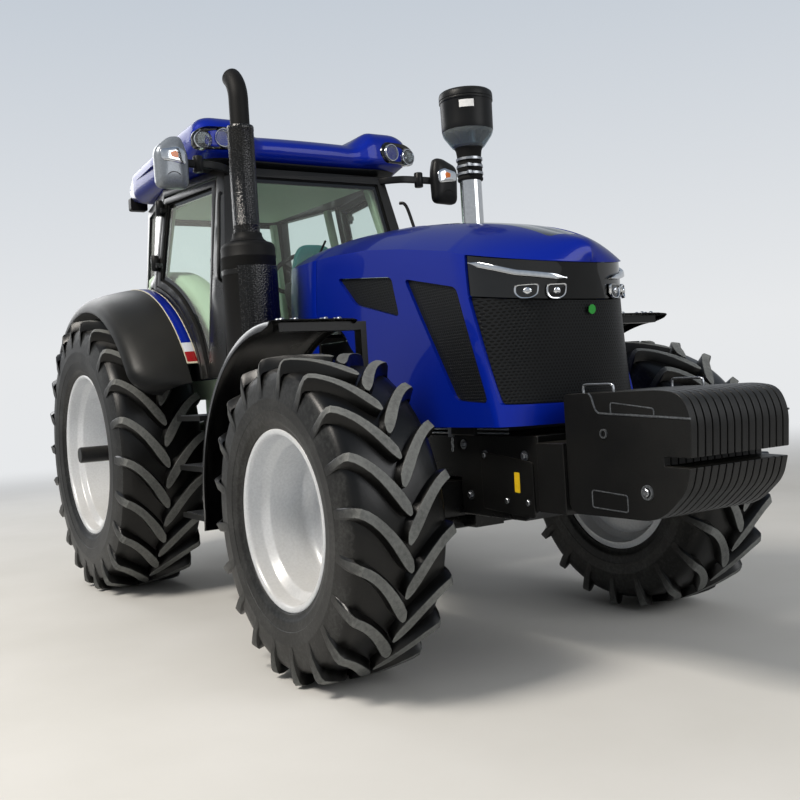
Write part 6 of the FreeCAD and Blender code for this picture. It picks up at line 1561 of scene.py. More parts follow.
def mirror_head(side):
    """Shell, glass, lamp insert and trim line of one head, its middle at (1.385, 0.985, 2.68)."""
    outline = rounded(np.asarray(MIRROR_OUTLINE[side]) * np.array([-side, 1]), 0.045, 8)
    middle = np.array([side * 0.985, 2.680])
    steps = np.linspace(0, 1, 14)
    scale = np.concatenate([[0.93, 0.99, 1.0], np.cos(steps * math.pi / 2) ** 0.62])
    depth = np.concatenate([[-0.040, -0.036, -0.022], -0.010 + 0.048 * np.sin(steps * math.pi / 2)])
    rings = np.array([np.stack([np.full(len(outline), 1.385 + x), middle[0] + outline[:, 0] * k,
                                middle[1] + outline[:, 1] * k], -1)
                      for k, x in zip(scale, depth)])
    points, faces = shell_of(rings, wrap_columns=True)
    shell = (points, faces + [list(range(len(outline)))])
    glass = plate(np.stack([middle[0] + outline[:, 0] * 0.86, middle[1] + outline[:, 1] * 0.86], -1),
                  1.3435, 1.3455, "yz")
    lamp_outline = rounded(np.array([(-0.070, -0.012), (0.074, -0.030), (0.078, 0.050),
                                     (0.030, 0.072), (-0.078, 0.050)]) * np.array([-side, 1]),
                           0.02, 6)
    lamp_outline = lamp_outline + middle + np.array([0, 0.012])

    def front_of(place):
        """Height of the bulge over a place, from its share of the outline's reach."""
        reach = np.linalg.norm((place - middle) / np.array([0.105, 0.160]), axis=1)
        return 1.385 - 0.010 + 0.048 * np.sqrt(np.clip(1 - np.clip(reach, 0, 0.98) ** 3.2, 0, 1))

    lens_rings = []
    for share, lift in ((1.0, -0.004), (1.0, 0.0035), (0.93, 0.0055), (0.5, 0.006), (0.02, 0.006)):
        ring = lamp_outline.mean(0) + (lamp_outline - lamp_outline.mean(0)) * share
        lens_rings.append(np.stack([front_of(ring) + lift, ring[:, 0], ring[:, 1]], -1))
    lens = shell_of(np.array(lens_rings), wrap_columns=True)
    lens = (lens[0], lens[1] + [list(range(len(lamp_outline)))])
    ring = lamp_outline.mean(0) + (lamp_outline - lamp_outline.mean(0)) * 0.42
    bulb_rings = [np.stack([front_of(ring) + lift, lamp_outline.mean(0)[0]
                            + (ring[:, 0] - lamp_outline.mean(0)[0]) * share,
                            ring[:, 1] * 1.0], -1)
                  for share, lift in ((0.7, 0.004), (0.7, 0.0075), (0.4, 0.0082))]
    bulb = shell_of(np.array(bulb_rings), wrap_columns=True)
    bulb = (bulb[0], bulb[1] + [list(range(2 * len(ring), 3 * len(ring)))])
    arch_angles = np.linspace(0.12, math.pi - 0.12, 26)
    arch = np.stack([middle[0] + 0.066 * np.cos(arch_angles),
                     middle[1] - 0.150 + 0.085 * np.sin(arch_angles)], -1)
    line = swept(np.stack([front_of(arch) + 0.001, arch[:, 0], arch[:, 1]], -1),
                 circle(0.0022, 6), up=(1, 0, 0))
    return shell, glass, lens, bulb, line


def mirror_bracket(side):
    """Arm from the roof's corner: a flat bar that bends outwards, with a pivot boss."""
    path = smooth_path([(1.205, side * 0.545, 2.690), (1.268, side * 0.600, 2.690),
                        (1.318, side * 0.680, 2.690), (1.332, side * 0.800, 2.690),
                        (1.336, side * 0.880, 2.690), (1.340, side * 0.955, 2.690)], 40)
    bar = swept(path, rounded([(-0.012, -0.024), (0.012, -0.024), (0.012, 0.024),
                               (-0.012, 0.024)], 0.008, 4))
    boss = turned([(2.640, 0.0), (2.640, 0.026), (2.645, 0.030), (2.735, 0.030), (2.740, 0.026),
                   (2.740, 0.0)], (1.330, side * 0.800, 0), "z", 32)
    return joined(bar, boss)


for side, hand in ((1, "left"), (-1, "right")):
    shell, glass, lens, bulb, line = mirror_head(side)
    head = build(f"mirror_{hand}_shell", shell, SILVER_SHELL if side < 0 else MOULDED, "root",
                 sharp=50)
    arm = build(f"mirror_{hand}_arm", mirror_bracket(side), MOULDED, "root",
                sharp=45)
    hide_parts(f"mirror_{hand}")
    build(f"mirror_{hand}_glass", glass, CHROME_TRIM, "root")
    build(f"mirror_{hand}_lamp", lens, REFLECTOR, "root", sharp=50)
    build(f"mirror_{hand}_bulb", bulb, AMBER, "root", sharp=50)
    build(f"mirror_{hand}_line", line, SEAL, "root", sharp=60)
print("mirrors dressed")

# %% [markdown]
# ## Ballast
#
# Fourteen cast plates hang side by side on the front hanger. Every plate has the same
# outline: straight above, rounded towards the front, with a slot for the lock bar. We
# cut the outline once, give it thickness, and round its edges a little, as a casting has
# them. Outer plates carry raised ribs and a blank frame, and each end has a wire handle.

# %% Ballast plates
PLATE_PITCH, PLATE_COUNT, PLATE_GAP = 0.0406, 14, 0.0060
PLATE_LINE = [(3.870, 1.204, 0.030), (3.870, 0.738, 0.030), (3.905, 0.708, 0.020),
              (4.365, 0.708, 0.120), (4.500, 0.830, 0.080), (4.524, 0.917, 0.006),
              (4.402, 0.921, 0.004), (4.402, 0.956, 0.004), (4.530, 0.954, 0.006),
              (4.540, 1.100, 0.060), (4.500, 1.190, 0.060), (4.400, 1.207, 0.060)]


def corner_arcs(rows, steps=6):
    """Like rounded, with its own radius at every corner."""
    corners = np.asarray([row[:2] for row in rows], float)
    before = np.roll(corners, 1, 0) - corners
    after = np.roll(corners, -1, 0) - corners
    t = np.linspace(0, 1, steps)[:, None]
    arcs = []
    for corner, back, on, (_, _, radius) in zip(corners, before, after, rows):
        cut = min(radius, 0.48 * np.linalg.norm(back), 0.48 * np.linalg.norm(on))
        start = corner + back / np.linalg.norm(back) * cut
        end = corner + on / np.linalg.norm(on) * cut
        arcs.append((1 - t) ** 2 * start + 2 * t * (1 - t) * corner + t ** 2 * end)
    return np.vstack(arcs)


plate_outline = corner_arcs(PLATE_LINE)
plates = [plate(plate_outline, PLATE_PITCH * (k - PLATE_COUNT / 2) + PLATE_GAP / 2,
                PLATE_PITCH * (k + 1 - PLATE_COUNT / 2) - PLATE_GAP / 2)
          for k in range(PLATE_COUNT)]
ballast = build("ballast_plates_dressed", joined(*plates), CASTING, "root",
                bevel=0.0070)
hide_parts("ballast_plates")

details, bright = [], []
for side in (1, -1):
    face = side * 0.2815
    rib = [(4.020, face, 1.204), (4.036, face, 1.188), (4.050, face, 1.150), (4.066, face, 1.128),
           (4.100, face, 1.121), (4.300, face, 1.111), (4.538, face, 1.098)]
    details.append(swept(smooth_path(rib, 60), circle(0.0042, 6), up=(0, 1, 0)))
    frames = [[(4.010, 0.742), (4.205, 0.734), (4.205, 0.800), (4.010, 0.812)],
              [(4.140, 1.118), (4.365, 1.105), (4.365, 1.138), (4.140, 1.164)]]
    for corners in frames:
        loop = rounded(corners, 0.012, 5)
        path = np.stack([loop[:, 0], np.full(len(loop), face), loop[:, 1]], -1)
        details.append(swept(path, circle(0.0028, 6), closed=True, up=(0, 1, 0)))
    for x, z, radius in ((4.311, 0.818, 0.030), (4.096, 1.041, 0.020)):
        ring = turned([(0.0, radius * 0.62), (0.0, radius), (0.006, radius * 0.95),
                       (0.006, radius * 0.66)], (0, 0, 0), "y", 32)
        details.append((ring[0] * np.array([1, side, 1]) + np.array([x, face, z]), ring[1]))
    head = turned([(0.0, 0.0), (0.0, 0.017), (0.011, 0.017), (0.014, 0.013), (0.014, 0.0)],
                  (0, 0, 0), "y", 6)
    bright.append((head[0] * np.array([1, side, 1]) + np.array([4.311, face, 0.818]), head[1]))
    grip = smooth_path([(3.973, side * 0.262, 1.200), (3.973, side * 0.262, 1.226),
                        (3.985, side * 0.262, 1.238), (4.060, side * 0.262, 1.238),
                        (4.130, side * 0.262, 1.236), (4.142, side * 0.262, 1.224),
                        (4.143, side * 0.262, 1.198)], 50)
    bright.append(swept(grip, circle(0.0055, 10), up=(0, 1, 0)))
build("ballast_details", joined(*details), WORN, "root", sharp=40)
build("ballast_handles", joined(*bright), ZINC, "root", sharp=35)
print("ballast triangles", sum(len(f.vertices) - 2 for f in ballast.data.polygons))
# %% [markdown]
# ## Cab glass and seals
#
# Each pane lies in a black rubber seal, and carries a black printed border that hides the
# glue line. The pane's own edge gives both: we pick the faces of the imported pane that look
# outwards, walk round their border, and lay narrow bands along that loop.


# %% Seals and printed borders
def rim_of(node, direction, spread=0.85, count=220):
    """The longest border loop of the faces that look one way, as evenly spaced points."""
    work = bmesh.new()
    work.from_mesh(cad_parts[node].data)
    bmesh.ops.remove_doubles(work, verts=work.verts, dist=1e-4)
    aim = Vector(direction).normalized()
    chosen = {face for face in work.faces if face.normal.dot(aim) > spread}
    follow = {}
    for face in chosen:
        for corner in face.loops:
            if sum(near in chosen for near in corner.edge.link_faces) == 1:
                follow[corner.vert.index] = (corner.link_loop_next.vert.index,
                                             tuple(corner.vert.co))
    loops = []
    while follow:
        here = next(iter(follow))
        loop = []
        while here in follow:
            here, place = follow.pop(here)
            loop.append(place)
        loops.append(np.array(loop))
    work.free()
    loop = max(loops, key=lambda points: np.linalg.norm(np.diff(points, axis=0), axis=1).sum())
    ring = np.vstack([loop, loop[:1]])
    length = np.concatenate([[0], np.cumsum(np.linalg.norm(np.diff(ring, axis=0), axis=1))])
    steps = np.linspace(0, length[-1], count, endpoint=False)
    return np.stack([np.interp(steps, length, ring[:, k]) for k in range(3)], -1)


def edge_band(loop, outward, inner, outer, low, high):
    """A closed band along a loop, from inner to outer (inward from the edge), low to high."""
    up = np.asarray(outward, float) / np.linalg.norm(outward)
    tangent = np.roll(loop, -1, 0) - np.roll(loop, 1, 0)
    tangent /= np.linalg.norm(tangent, axis=1, keepdims=True)
    inward = np.cross(up, tangent)
    inward /= np.linalg.norm(inward, axis=1, keepdims=True)
    if (np.cross(loop, np.roll(loop, -1, 0)) @ up).sum() < 0:
        inward = -inward
    corners = [(inner, low), (inner, high), (outer, high), (outer, low)]
    points = np.stack([loop + inward * across_ + up * height for across_, height in corners], 1)
    return shell_of(points, wrap_rows=True, wrap_columns=True)


PANES = [("windshield", (1, 0, 0.22), "root"), ("rear_glass", (-1, 0, 0.03), "root"),
         ("door_glass_left", (0.11, 1, 0.17), "door_left"),
         ("door_glass_right", (0.11, -1, 0.17), "door_right")]
for node_name, outward, body in PANES:
    loop = rim_of(node_name, outward)
    build(f"{node_name}_seal", edge_band(loop, outward, -0.004, 0.012, -0.012, 0.006), SEAL, body,
          shift=False, sharp=50)
    build(f"{node_name}_border", edge_band(loop, outward, 0.011, 0.036, -0.010, 0.0012), GLOSS,
          body, shift=False, sharp=50)
    print(node_name, "border points", len(loop))

# %% [markdown]
# Inside, pale green mouldings cover the pillars and the rear wall, and a lighter liner hangs
# under the roof. Pillar covers are one rounded section carried up each pillar; the liner is
# a shallow tray that follows the roof's edge.

# %% Cab lining
COVER = rounded([(-0.032, -0.022), (0.032, -0.022), (0.032, 0.022), (-0.032, 0.022)], 0.012, 4)
covers = []
for side in (1, -1):
    for knots in ([(1.405, side * 0.675, 1.50), (1.275, side * 0.590, 2.08),
                   (1.140, side * 0.500, 2.650)],
                  [(0.350, side * 0.800, 1.46), (0.350, side * 0.715, 2.06),
                   (0.350, side * 0.610, 2.650)],
                  [(-0.315, side * 0.545, 1.52), (-0.300, side * 0.505, 2.10),
                   (-0.280, side * 0.455, 2.640)]):
        covers.append(swept(smooth_path(knots, 20), COVER, up=(0, side, 0.2)))
build("pillar_covers", joined(*covers), TRIM, "root", sharp=45)
liner_line = rounded([(-0.27, -0.46), (1.13, -0.50), (1.13, 0.50), (-0.27, 0.46)], 0.08, 6)
build("roof_liner", plate(liner_line, 2.655, 2.700, "xy"), TRIM, "root", bevel=0.012)
dash = rounded([(1.20, -0.52), (1.36, -0.56), (1.36, 0.56), (1.20, 0.52)], 0.04, 5)
build("dash_shelf", plate(dash, 1.500, 1.545, "xy"), TRIM_DARK, "root", bevel=0.010)
floor_line = rounded([(0.64, -0.55), (1.04, -0.62), (1.04, 0.62), (0.64, 0.55)], 0.05, 5)
build("floor_mat", plate(floor_line, 1.4005, 1.412, "xy"), TRIM_DARK, "root",
      bevel=0.003)
shelf_line = rounded([(-0.30, -0.52), (-0.02, -0.56), (-0.02, 0.56), (-0.30, 0.52)], 0.05, 5)
build("rear_shelf", plate(shelf_line, 1.640, 1.700, "xy"), TRIM, "root", bevel=0.012)
arches = [swept_ring([(0.480, 1.300), (0.480, 1.335), (0.510, 1.365), (0.650, 1.365), (0.682, 1.335),
                      (0.690, 1.270), (0.690, 1.252), (0.602, 1.252), (0.602, 1.300)], side, 33.0,
                     95.0, 48) for side in (1, -1)]
build("wheel_arch_covers", joined(*arches), TRIM, "root", sharp=50)
print("cab lined")

# %% [markdown]
# The steering wheel has a padded rim on three spokes, and stands on a covered column with a
# small display. The console at the driver's right carries the levers: a forward-leaning grip
# for speed, and three short ones for the linkage and the valves.

# %% Wheel, column and console
WHEEL_CENTRE = np.array([1.010, 0.0, 2.080])
WHEEL_TILT = math.radians(-35)


def tilted(points, centre=WHEEL_CENTRE, angle=WHEEL_TILT):
    """Points turned about the cross axis and moved to the wheel's centre."""
    cos, sin = math.cos(angle), math.sin(angle)
    points = np.asarray(points, float)
    return np.stack([points[:, 0] * cos + points[:, 2] * sin, points[:, 1],
                     -points[:, 0] * sin + points[:, 2] * cos], -1) + centre


around = np.linspace(0, 2 * math.pi, 72, endpoint=False)
rim_path = np.stack([0.190 * np.cos(around), 0.190 * np.sin(around), 0 * around], -1)
grip = swept(rim_path, circle(0.0145, 14), closed=True)
spokes = [swept(smooth_path([(0.035 * math.cos(a), 0.035 * math.sin(a), -0.030),
                             (0.110 * math.cos(a), 0.110 * math.sin(a), -0.012),
                             (0.186 * math.cos(a), 0.186 * math.sin(a), 0.0)], 14),
                rounded([(-0.016, -0.004), (0.016, -0.004), (0.016, 0.004), (-0.016, 0.004)],
                        0.003, 3)) for a in (math.pi, math.pi / 3, -math.pi / 3)]
boss = turned([(-0.085, 0.0), (-0.085, 0.034), (-0.040, 0.038), (-0.020, 0.046), (-0.012, 0.040),
               (-0.008, 0.0)], (0, 0, 0), "z", 40)
wheel_parts = [(tilted(points), faces) for points, faces in (grip, *spokes, boss)]
wheel = build("steering_wheel", joined(*wheel_parts), TRIM_DARK, "root", sharp=45)
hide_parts("steering_column")
column_rows = []
for z, x0, x1, half in ((1.402, 1.062, 1.245, 0.105), (1.48, 1.075, 1.235, 0.092),
                        (1.66, 1.078, 1.225, 0.085), (1.80, 1.070, 1.240, 0.105),
                        (1.87, 1.064, 1.262, 0.150), (1.95, 1.068, 1.274, 0.166),
                        (1.995, 1.085, 1.270, 0.160), (2.006, 1.110, 1.255, 0.140)):
    ring = rounded([(x0, -half), (x1, -half), (x1, half), (x0, half)], 0.045, 6)
    column_rows.append(np.stack([ring[:, 0], ring[:, 1], np.full(len(ring), z)], -1))
points, faces = shell_of(np.array(column_rows), wrap_columns=True)
ring_size = len(column_rows[0])
column = (points, faces + [list(range(ring_size)),
                           list(range(len(points) - ring_size, len(points)))])
build("column_cover", column, TRIM_DARK, "root", sharp=45)
cowl_rows = []
for share in np.linspace(0, 1, 10) * math.pi / 2:
    shrink = 1 - math.cos(share) ** 0.7
    half = 0.165 - 0.13 * shrink
    ring = rounded([(1.202 + 0.015 * shrink, -half), (1.260 - 0.015 * shrink, -half),
                    (1.260 - 0.015 * shrink, half), (1.202 + 0.015 * shrink, half)],
                   0.024 * (1 - shrink) + 0.004, 6)
    cowl_rows.append(np.stack([ring[:, 0], ring[:, 1],
                               np.full(len(ring), 2.002 + 0.235 * math.sin(share))], -1))
points, faces = shell_of(np.array(cowl_rows), wrap_columns=True)
cowl_shell = (points, faces + [list(range(ring_size)),
                               list(range(len(points) - ring_size, len(points)))])
build("dash_cowl", cowl_shell, TEAL, "root", sharp=50)

console_rows = []
for z, x0, x1, grow in ((1.402, 0.150, 0.690, -0.010), (1.640, 0.140, 0.700, -0.006),
                        (1.780, 0.136, 0.704, -0.002), (1.850, 0.134, 0.706, -0.001),
                        (1.872, 0.140, 0.700, -0.006), (1.880, 0.156, 0.684, -0.020)):
    ring = rounded([(x0, -0.460 - grow), (x1, -0.460 - grow), (x1, -0.280 + grow),
                    (x0, -0.280 + grow)], 0.030, 6)
    height = np.where(ring[:, 0] > 0.5, z, z - 0.0)
    console_rows.append(np.stack([ring[:, 0], ring[:, 1], height], -1))
points, faces = shell_of(np.array(console_rows), wrap_columns=True)
ring_size = len(console_rows[0])
console = build("console_cover", (points, faces + [list(range(ring_size)),
                                                   list(range(len(points) - ring_size,
                                                              len(points)))]),
                TRIM_DARK, "root", sharp=40)
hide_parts("side_console")
levers, knobs = [], []
for x, y, lean, height in ((0.62, -0.36, 0.05, 0.150), (0.50, -0.40, 0.03, 0.085),
                           (0.45, -0.40, 0.03, 0.085), (0.40, -0.40, 0.03, 0.085),
                           (0.56, -0.32, 0.04, 0.060)):
    levers.append(swept([(x, y, 1.872), (x + lean * 0.5, y, 1.872 + height * 0.5),
                         (x + lean, y, 1.872 + height)], circle(0.006, 8), up=(0, 1, 0)))
    size = 0.022 if height > 0.1 else 0.013
    knobs.append(turned([(0.0, 0.0), (0.004, size * 0.7), (size, size), (size * 2, size * 0.9),
                         (size * 2.6, size * 0.4), (size * 2.7, 0.0)],
                        (x + lean, y, 1.866 + height), "z", 20))
build("console_levers", joined(*levers), ZINC, "root", sharp=45)
knobs.append(turned([(1.878, 0.0), (1.878, 0.020), (1.900, 0.026), (1.945, 0.024), (1.958, 0.0)],
                    (0.345, -0.410, 0), "z", 20))
build("console_knobs", joined(*knobs), YELLOW_FILM, "root", sharp=60)
print("controls built")

# %% [markdown]
# The seat is foam under woven cloth. We start each cushion as a block that is a little too
# small, remesh it into even squares, and let cloth simulation blow it up from inside with
# no gravity, so that its faces swell and its edges stay tight, as a sewn cover does.


# %% Seat
def cushion(name, shell, travel=0.022):
    """A cover blown up for 20 steps; no point may move further than travel."""
    piece = build(name, shell, CLOTH, "root", sharp=70)
    even = piece.modifiers.new("even", "REMESH")
    even.mode = "VOXEL"
    even.voxel_size = 0.006
    view = bpy.context.evaluated_depsgraph_get()
    mesh = bpy.data.meshes.new_from_object(piece.evaluated_get(view))
    piece.modifiers.clear()
    mesh.materials.clear()
    mesh.materials.append(CLOTH)
    piece.data = mesh
    start = np.zeros(len(mesh.vertices) * 3)
    mesh.vertices.foreach_get("co", start)
    blow = piece.modifiers.new("blow", "CLOTH")
    blow.settings.quality = 5
    blow.settings.use_pressure = True
    blow.settings.uniform_pressure_force = 4.0
    blow.settings.effector_weights.gravity = 0.0
    for step in range(1, 21):
        scene.frame_set(step)
    view = bpy.context.evaluated_depsgraph_get()
    blown = piece.evaluated_get(view).data
    end = np.zeros(len(start))
    blown.vertices.foreach_get("co", end)
    move = (end - start).reshape(-1, 3)
    length = np.linalg.norm(move, axis=1, keepdims=True)
    move *= np.minimum(1.0, travel / np.maximum(length, 1e-9))
    piece.modifiers.clear()
    mesh.vertices.foreach_set("co", (start.reshape(-1, 3) + move).ravel())
    mesh.shade_smooth()
    mesh.update()
    scene.frame_set(1)
    print(name, "points", len(mesh.vertices), "largest move", round(float(length.max()), 4))
    return piece


base = cushion("seat_cushion", block((0.108, -0.232, 1.668), (0.552, 0.232, 1.736), 0.055, "xy"))
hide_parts("seat")
cushion("seat_back", block((-0.006, -0.232, 1.752), (0.050, 0.232, 2.352), 0.050, "yz"))
cushion("head_rest", block((-0.004, -0.118, 2.404), (0.046, 0.118, 2.546), 0.040, "yz"), 0.016)
box_foot = [block((0.215, -0.150, 1.402), (0.485, 0.150, 1.560), 0.03, "xy"),
            block((0.230, -0.130, 1.560), (0.470, 0.130, 1.600), 0.03, "xy"),
            block((0.215, -0.155, 1.600), (0.490, 0.155, 1.642), 0.03, "xy")]
build("seat_stand", joined(*box_foot), TRIM_DARK, "root", bevel=0.006)
print("seat made")

# %% [markdown]
# Outside the cab: a wiper on the windshield, a bent grab rail by each front pillar, and hinge
# covers on the rear door posts.

# %% Cab fittings
fittings = []
for side, hand in ((1, "left"), (-1, "right")):
    covers = [turned([(-0.052, 0.0), (-0.052, 0.021), (-0.046, 0.026), (0.046, 0.026),
                      (0.052, 0.021), (0.052, 0.0)], (0.447, side * y, z), "z", 32)
              for y, z in ((0.800, 2.215), (0.744, 2.590))]
    build(f"hinge_covers_{hand}", joined(*covers), MOULDED, "root", sharp=45)
    rail = smooth_path([(1.395, side * 0.722, 1.98), (1.425, side * 0.752, 2.00),
                        (1.430, side * 0.750, 2.08), (1.395, side * 0.722, 2.26),
                        (1.350, side * 0.690, 2.46), (1.328, side * 0.672, 2.52),
                        (1.300, side * 0.652, 2.53)], 60)
    fittings.append(swept(rail, circle(0.011, 12), up=(0, 1, 0)))
build("grab_rails", joined(*fittings), MOULDED, "root", sharp=45)
arm = smooth_path([(1.510, 0.05, 1.56), (1.480, 0.02, 1.66), (1.400, -0.10, 2.02)], 24)
blade = smooth_path([(1.446, -0.25, 1.82), (1.400, -0.12, 2.03), (1.352, 0.02, 2.24)], 24)
lift = np.array([0.012, 0, 0.004])
build("wiper", joined(swept(arm + lift, rounded([(-0.007, -0.004), (0.007, -0.004),
                                                 (0.007, 0.004), (-0.007, 0.004)], 0.002, 3),
                            up=(1, 0, 0.2)),
                      swept(blade + lift, rounded([(-0.006, -0.008), (0.006, -0.008),
                                                   (0.006, 0.008), (-0.006, 0.008)], 0.003, 3),
                            up=(1, 0, 0.2))), SEAL, "root", sharp=45)
print("cab fittings built")
# %% [markdown]
# ## Frame, steps and axles
#
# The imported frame, tanks and axles have the right forms; welding and casting leave their
# edges round. A weld joins the facets, and a small bevel rounds every edge above 40 degrees.

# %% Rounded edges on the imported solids
SOFTENED = {0.004: ["cab_frame", "door_left", "door_right", "cab_base", "lower_links",
                    "lift_arms", "lift_rods", "ballast_hanger", "drawbar", "steering_rod"],
            0.007: ["front_frame", "front_axle_beam", "knuckle_left", "knuckle_right",
                    "rear_axle_housing", "transmission", "engine_block", "radiator_pack"],
            0.016: ["tank_and_steps_left", "tank_and_steps_right"]}
for width, names in SOFTENED.items():
    for name in names:
        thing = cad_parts[name]
        weld = thing.modifiers.new("weld", "WELD")
        weld.merge_threshold = 1e-4
        edge = thing.modifiers.new("edge", "BEVEL")
        edge.width = width
        edge.segments = 2
        edge.limit_method = "ANGLE"
        edge.angle_limit = math.radians(40)
        edge.harden_normals = True
print("softened:", sum(len(names) for names in SOFTENED.values()))

# %% [markdown]
# The frame's side plates are bolted on: a thicker front plate ends in a step, and a row of
# hexagon heads with washers holds each one. A blank yellow label, a hood latch with its
# safety chain, and two pale trim strips below the hood complete the side that shows.

# %% Frame side
FRAME_BOLTS = [(2.10, 0.960), (2.10, 0.760), (2.46, 0.960), (2.46, 0.760), (3.165, 0.985),
               (3.200, 0.745), (3.329, 0.937), (3.480, 0.735), (3.610, 0.940), (3.625, 0.735)]


def bolt(place, axis, sign, radius=0.014, height=0.011, washer=1.7):
    """Hexagon head on a washer; it stands out along an axis, towards its sign."""
    head = turned([(0.0, 0.0), (0.0, radius * washer), (height * 0.25, radius * washer),
                   (height * 0.3, radius * 1.02)], (0, 0, 0), axis, 20)
    hexagon = turned([(height * 0.25, radius * 0.98), (height * 1.1, radius * 0.98),
                      (height * 1.3, radius * 0.80), (height * 1.3, 0.0)], (0, 0, 0), axis, 6)
    flip = np.ones(3)
    flip["xyz".index(axis)] = sign
    return [(points * flip + np.array(place), faces) for points, faces in (head, hexagon)]


bolts, trims, labels, chains = [], [], [], []
for side in (1, -1):
    for x, z in FRAME_BOLTS:
        bolts += bolt((x, side * 0.2915, z), "y", side)
    for z in (1.040, 1.058):
        strip = smooth_path([(2.36, side * 0.302, z), (3.00, side * 0.310, z + 0.002),
                             (3.52, side * 0.300, z)], 30)
        trims.append(swept(strip, rounded([(-0.003, -0.004), (0.003, -0.004), (0.003, 0.004),
                                           (-0.003, 0.004)], 0.0015, 2)))
    front = rounded([(3.300, 0.690), (3.665, 0.668), (3.665, 0.915), (3.300, 0.955)], 0.02, 5)
    low, high = sorted((side * 0.289, side * 0.2985))
    build(f"frame_plate_{'left' if side > 0 else 'right'}", plate(front, low, high), CHASSIS,
          "root", bevel=0.002)
    low, high = sorted((side * 0.2982, side * 0.2996))
    label = rounded([(3.540, 0.868), (3.576, 0.866), (3.574, 0.756 + 0.02), (3.538, 0.778)],
                    0.004, 3)
    labels.append(plate(label, low, high))
    hook = smooth_path([(3.072, side * 0.306, 1.150), (3.078, side * 0.316, 1.128),
                        (3.082, side * 0.318, 1.100), (3.089, side * 0.310, 1.070)], 20)
    chains.append(swept(hook, circle(0.0065, 8), up=(0, 1, 0)))
    buckle = rounded([(3.070, 1.020), (3.108, 1.020), (3.108, 1.072), (3.070, 1.072)], 0.008, 4)
    low, high = sorted((side * 0.301, side * 0.313))
    chains.append(plate(buckle, low, high))
    for k in range(4):
        z = 1.008 - 0.016 * k
        link = [(3.092 + 0.006 * math.cos(a), side * (0.304 + 0.003 * (k % 2)),
                 z + 0.010 * math.sin(a)) for a in np.linspace(0, 2 * math.pi, 12, endpoint=False)]
        chains.append(swept(link, circle(0.0024, 6), closed=True, up=(0, 1, 0)))
build("frame_bolts", joined(*bolts), ZINC, "root", sharp=35)
build("frame_trim", joined(*trims), SILVER_SHELL, "root", sharp=45)
build("frame_labels", joined(*labels), YELLOW_FILM, "root")
build("hood_latches", joined(*chains), ZINC, "root", sharp=45)
print("frame bolts", len(bolts) // 2)

# %% [markdown]
# Below the cab each tank has a filler cap on a neck, two clamp straps, and steps of folded
# sheet with raised grip bars.

# %% Tanks and steps
grips, straps, caps = [], [], []
for side in (1, -1):
    for z in (0.560, 0.850, 1.150):
        for x in np.arange(1.150, 1.480, 0.036):
            low, high = sorted((side * 0.775, side * 0.945))
            grips.append(block((x, low, z + 0.0295), (x + 0.010, high, z + 0.0345), 0.002, "xy"))
    for x in (1.075, 1.515):
        loop = rounded([(0.327, 0.553), (0.746, 0.553), (0.746, 1.186), (0.327, 1.186)], 0.06, 8)
        path = np.stack([np.full(len(loop), x), side * loop[:, 0], loop[:, 1]], -1)
        straps.append(swept(path, rounded([(-0.017, -0.0015), (0.017, -0.0015), (0.017, 0.0015),
                                           (-0.017, 0.0015)], 0.001, 2), closed=True,
                            up=(1, 0, 0)))
    caps.append(turned([(1.170, 0.0), (1.170, 0.040), (1.190, 0.040), (1.192, 0.052),
                        (1.222, 0.052), (1.230, 0.044), (1.232, 0.0)],
                       (1.055, side * 0.660, 0), "z", 24))
build("step_grips", joined(*grips), ZINC, "root")
build("tank_straps", joined(*straps), CHASSIS, "root", sharp=40)
build("filler_caps", joined(*caps), BLUE, "root", sharp=40)
print("step bars", len(grips))

# %% [markdown]
# Under the frame runs the shaft that drives the front axle, with a joint at each end, and
# hoses cross from the frame to the steering cylinder.

# %% Driveline and hoses
shaft = turned([(1.72, 0.0), (1.72, 0.052), (1.75, 0.058), (1.80, 0.058), (1.82, 0.034),
                (2.68, 0.034), (2.70, 0.056), (2.76, 0.056), (2.78, 0.046), (2.80, 0.0)],
               (0, 0, 0.675), "x", 32)
build("front_drive_shaft", shaft, CHASSIS, "root", sharp=40)
hoses = []
for y in (0.10, 0.15, -0.10, -0.15):
    path = smooth_path([(2.66, y, 0.98), (2.74, y * 1.1, 0.80), (2.76, y * 1.25, 0.665),
                        (2.80, y * 1.3, 0.640)], 24)
    hoses.append(swept(path, circle(0.011, 10), up=(0, 1, 0)))
build("steering_hoses", joined(*hoses), SEAL, "root", sharp=60)
print("hoses", len(hoses))

# %% [markdown]
# ## Rear
#
# Behind the cab: red and amber lamps on the fenders, a blank plate, the splined power
# take-off, and hydraulic couplers with coloured caps.

# %% Rear details
lamp_red, lamp_amber, lamp_backs = [], [], []
for side in (1, -1):
    low, high = sorted((side * 0.828, side * 0.962))
    for z0, z1, group in ((1.608, 1.655, lamp_red), (1.659, 1.697, lamp_amber)):
        group.append(block((-0.912, low, z0), (-0.890, high, z1), 0.006, "xz"))
    low, high = sorted((side * 0.820, side * 0.970))
    lamp_backs.append(block((-0.900, low, 1.600), (-0.835, high, 1.705), 0.015, "xz"))
build("rear_lamps_red", joined(*lamp_red), RED_LENS, "root", bevel=0.004)
build("rear_lamps_amber", joined(*lamp_amber), AMBER, "root", bevel=0.003)
build("rear_lamp_backs", joined(*lamp_backs), MOULDED, "root", bevel=0.004)
plate_line = rounded([(-0.170, 1.300), (0.170, 1.300), (0.170, 1.390), (-0.170, 1.390)], 0.012, 4)
build("rear_plate", plate(plate_line, -0.402, -0.3985, "yz"), WHITE_FILM, "root")
teeth = np.arange(84)
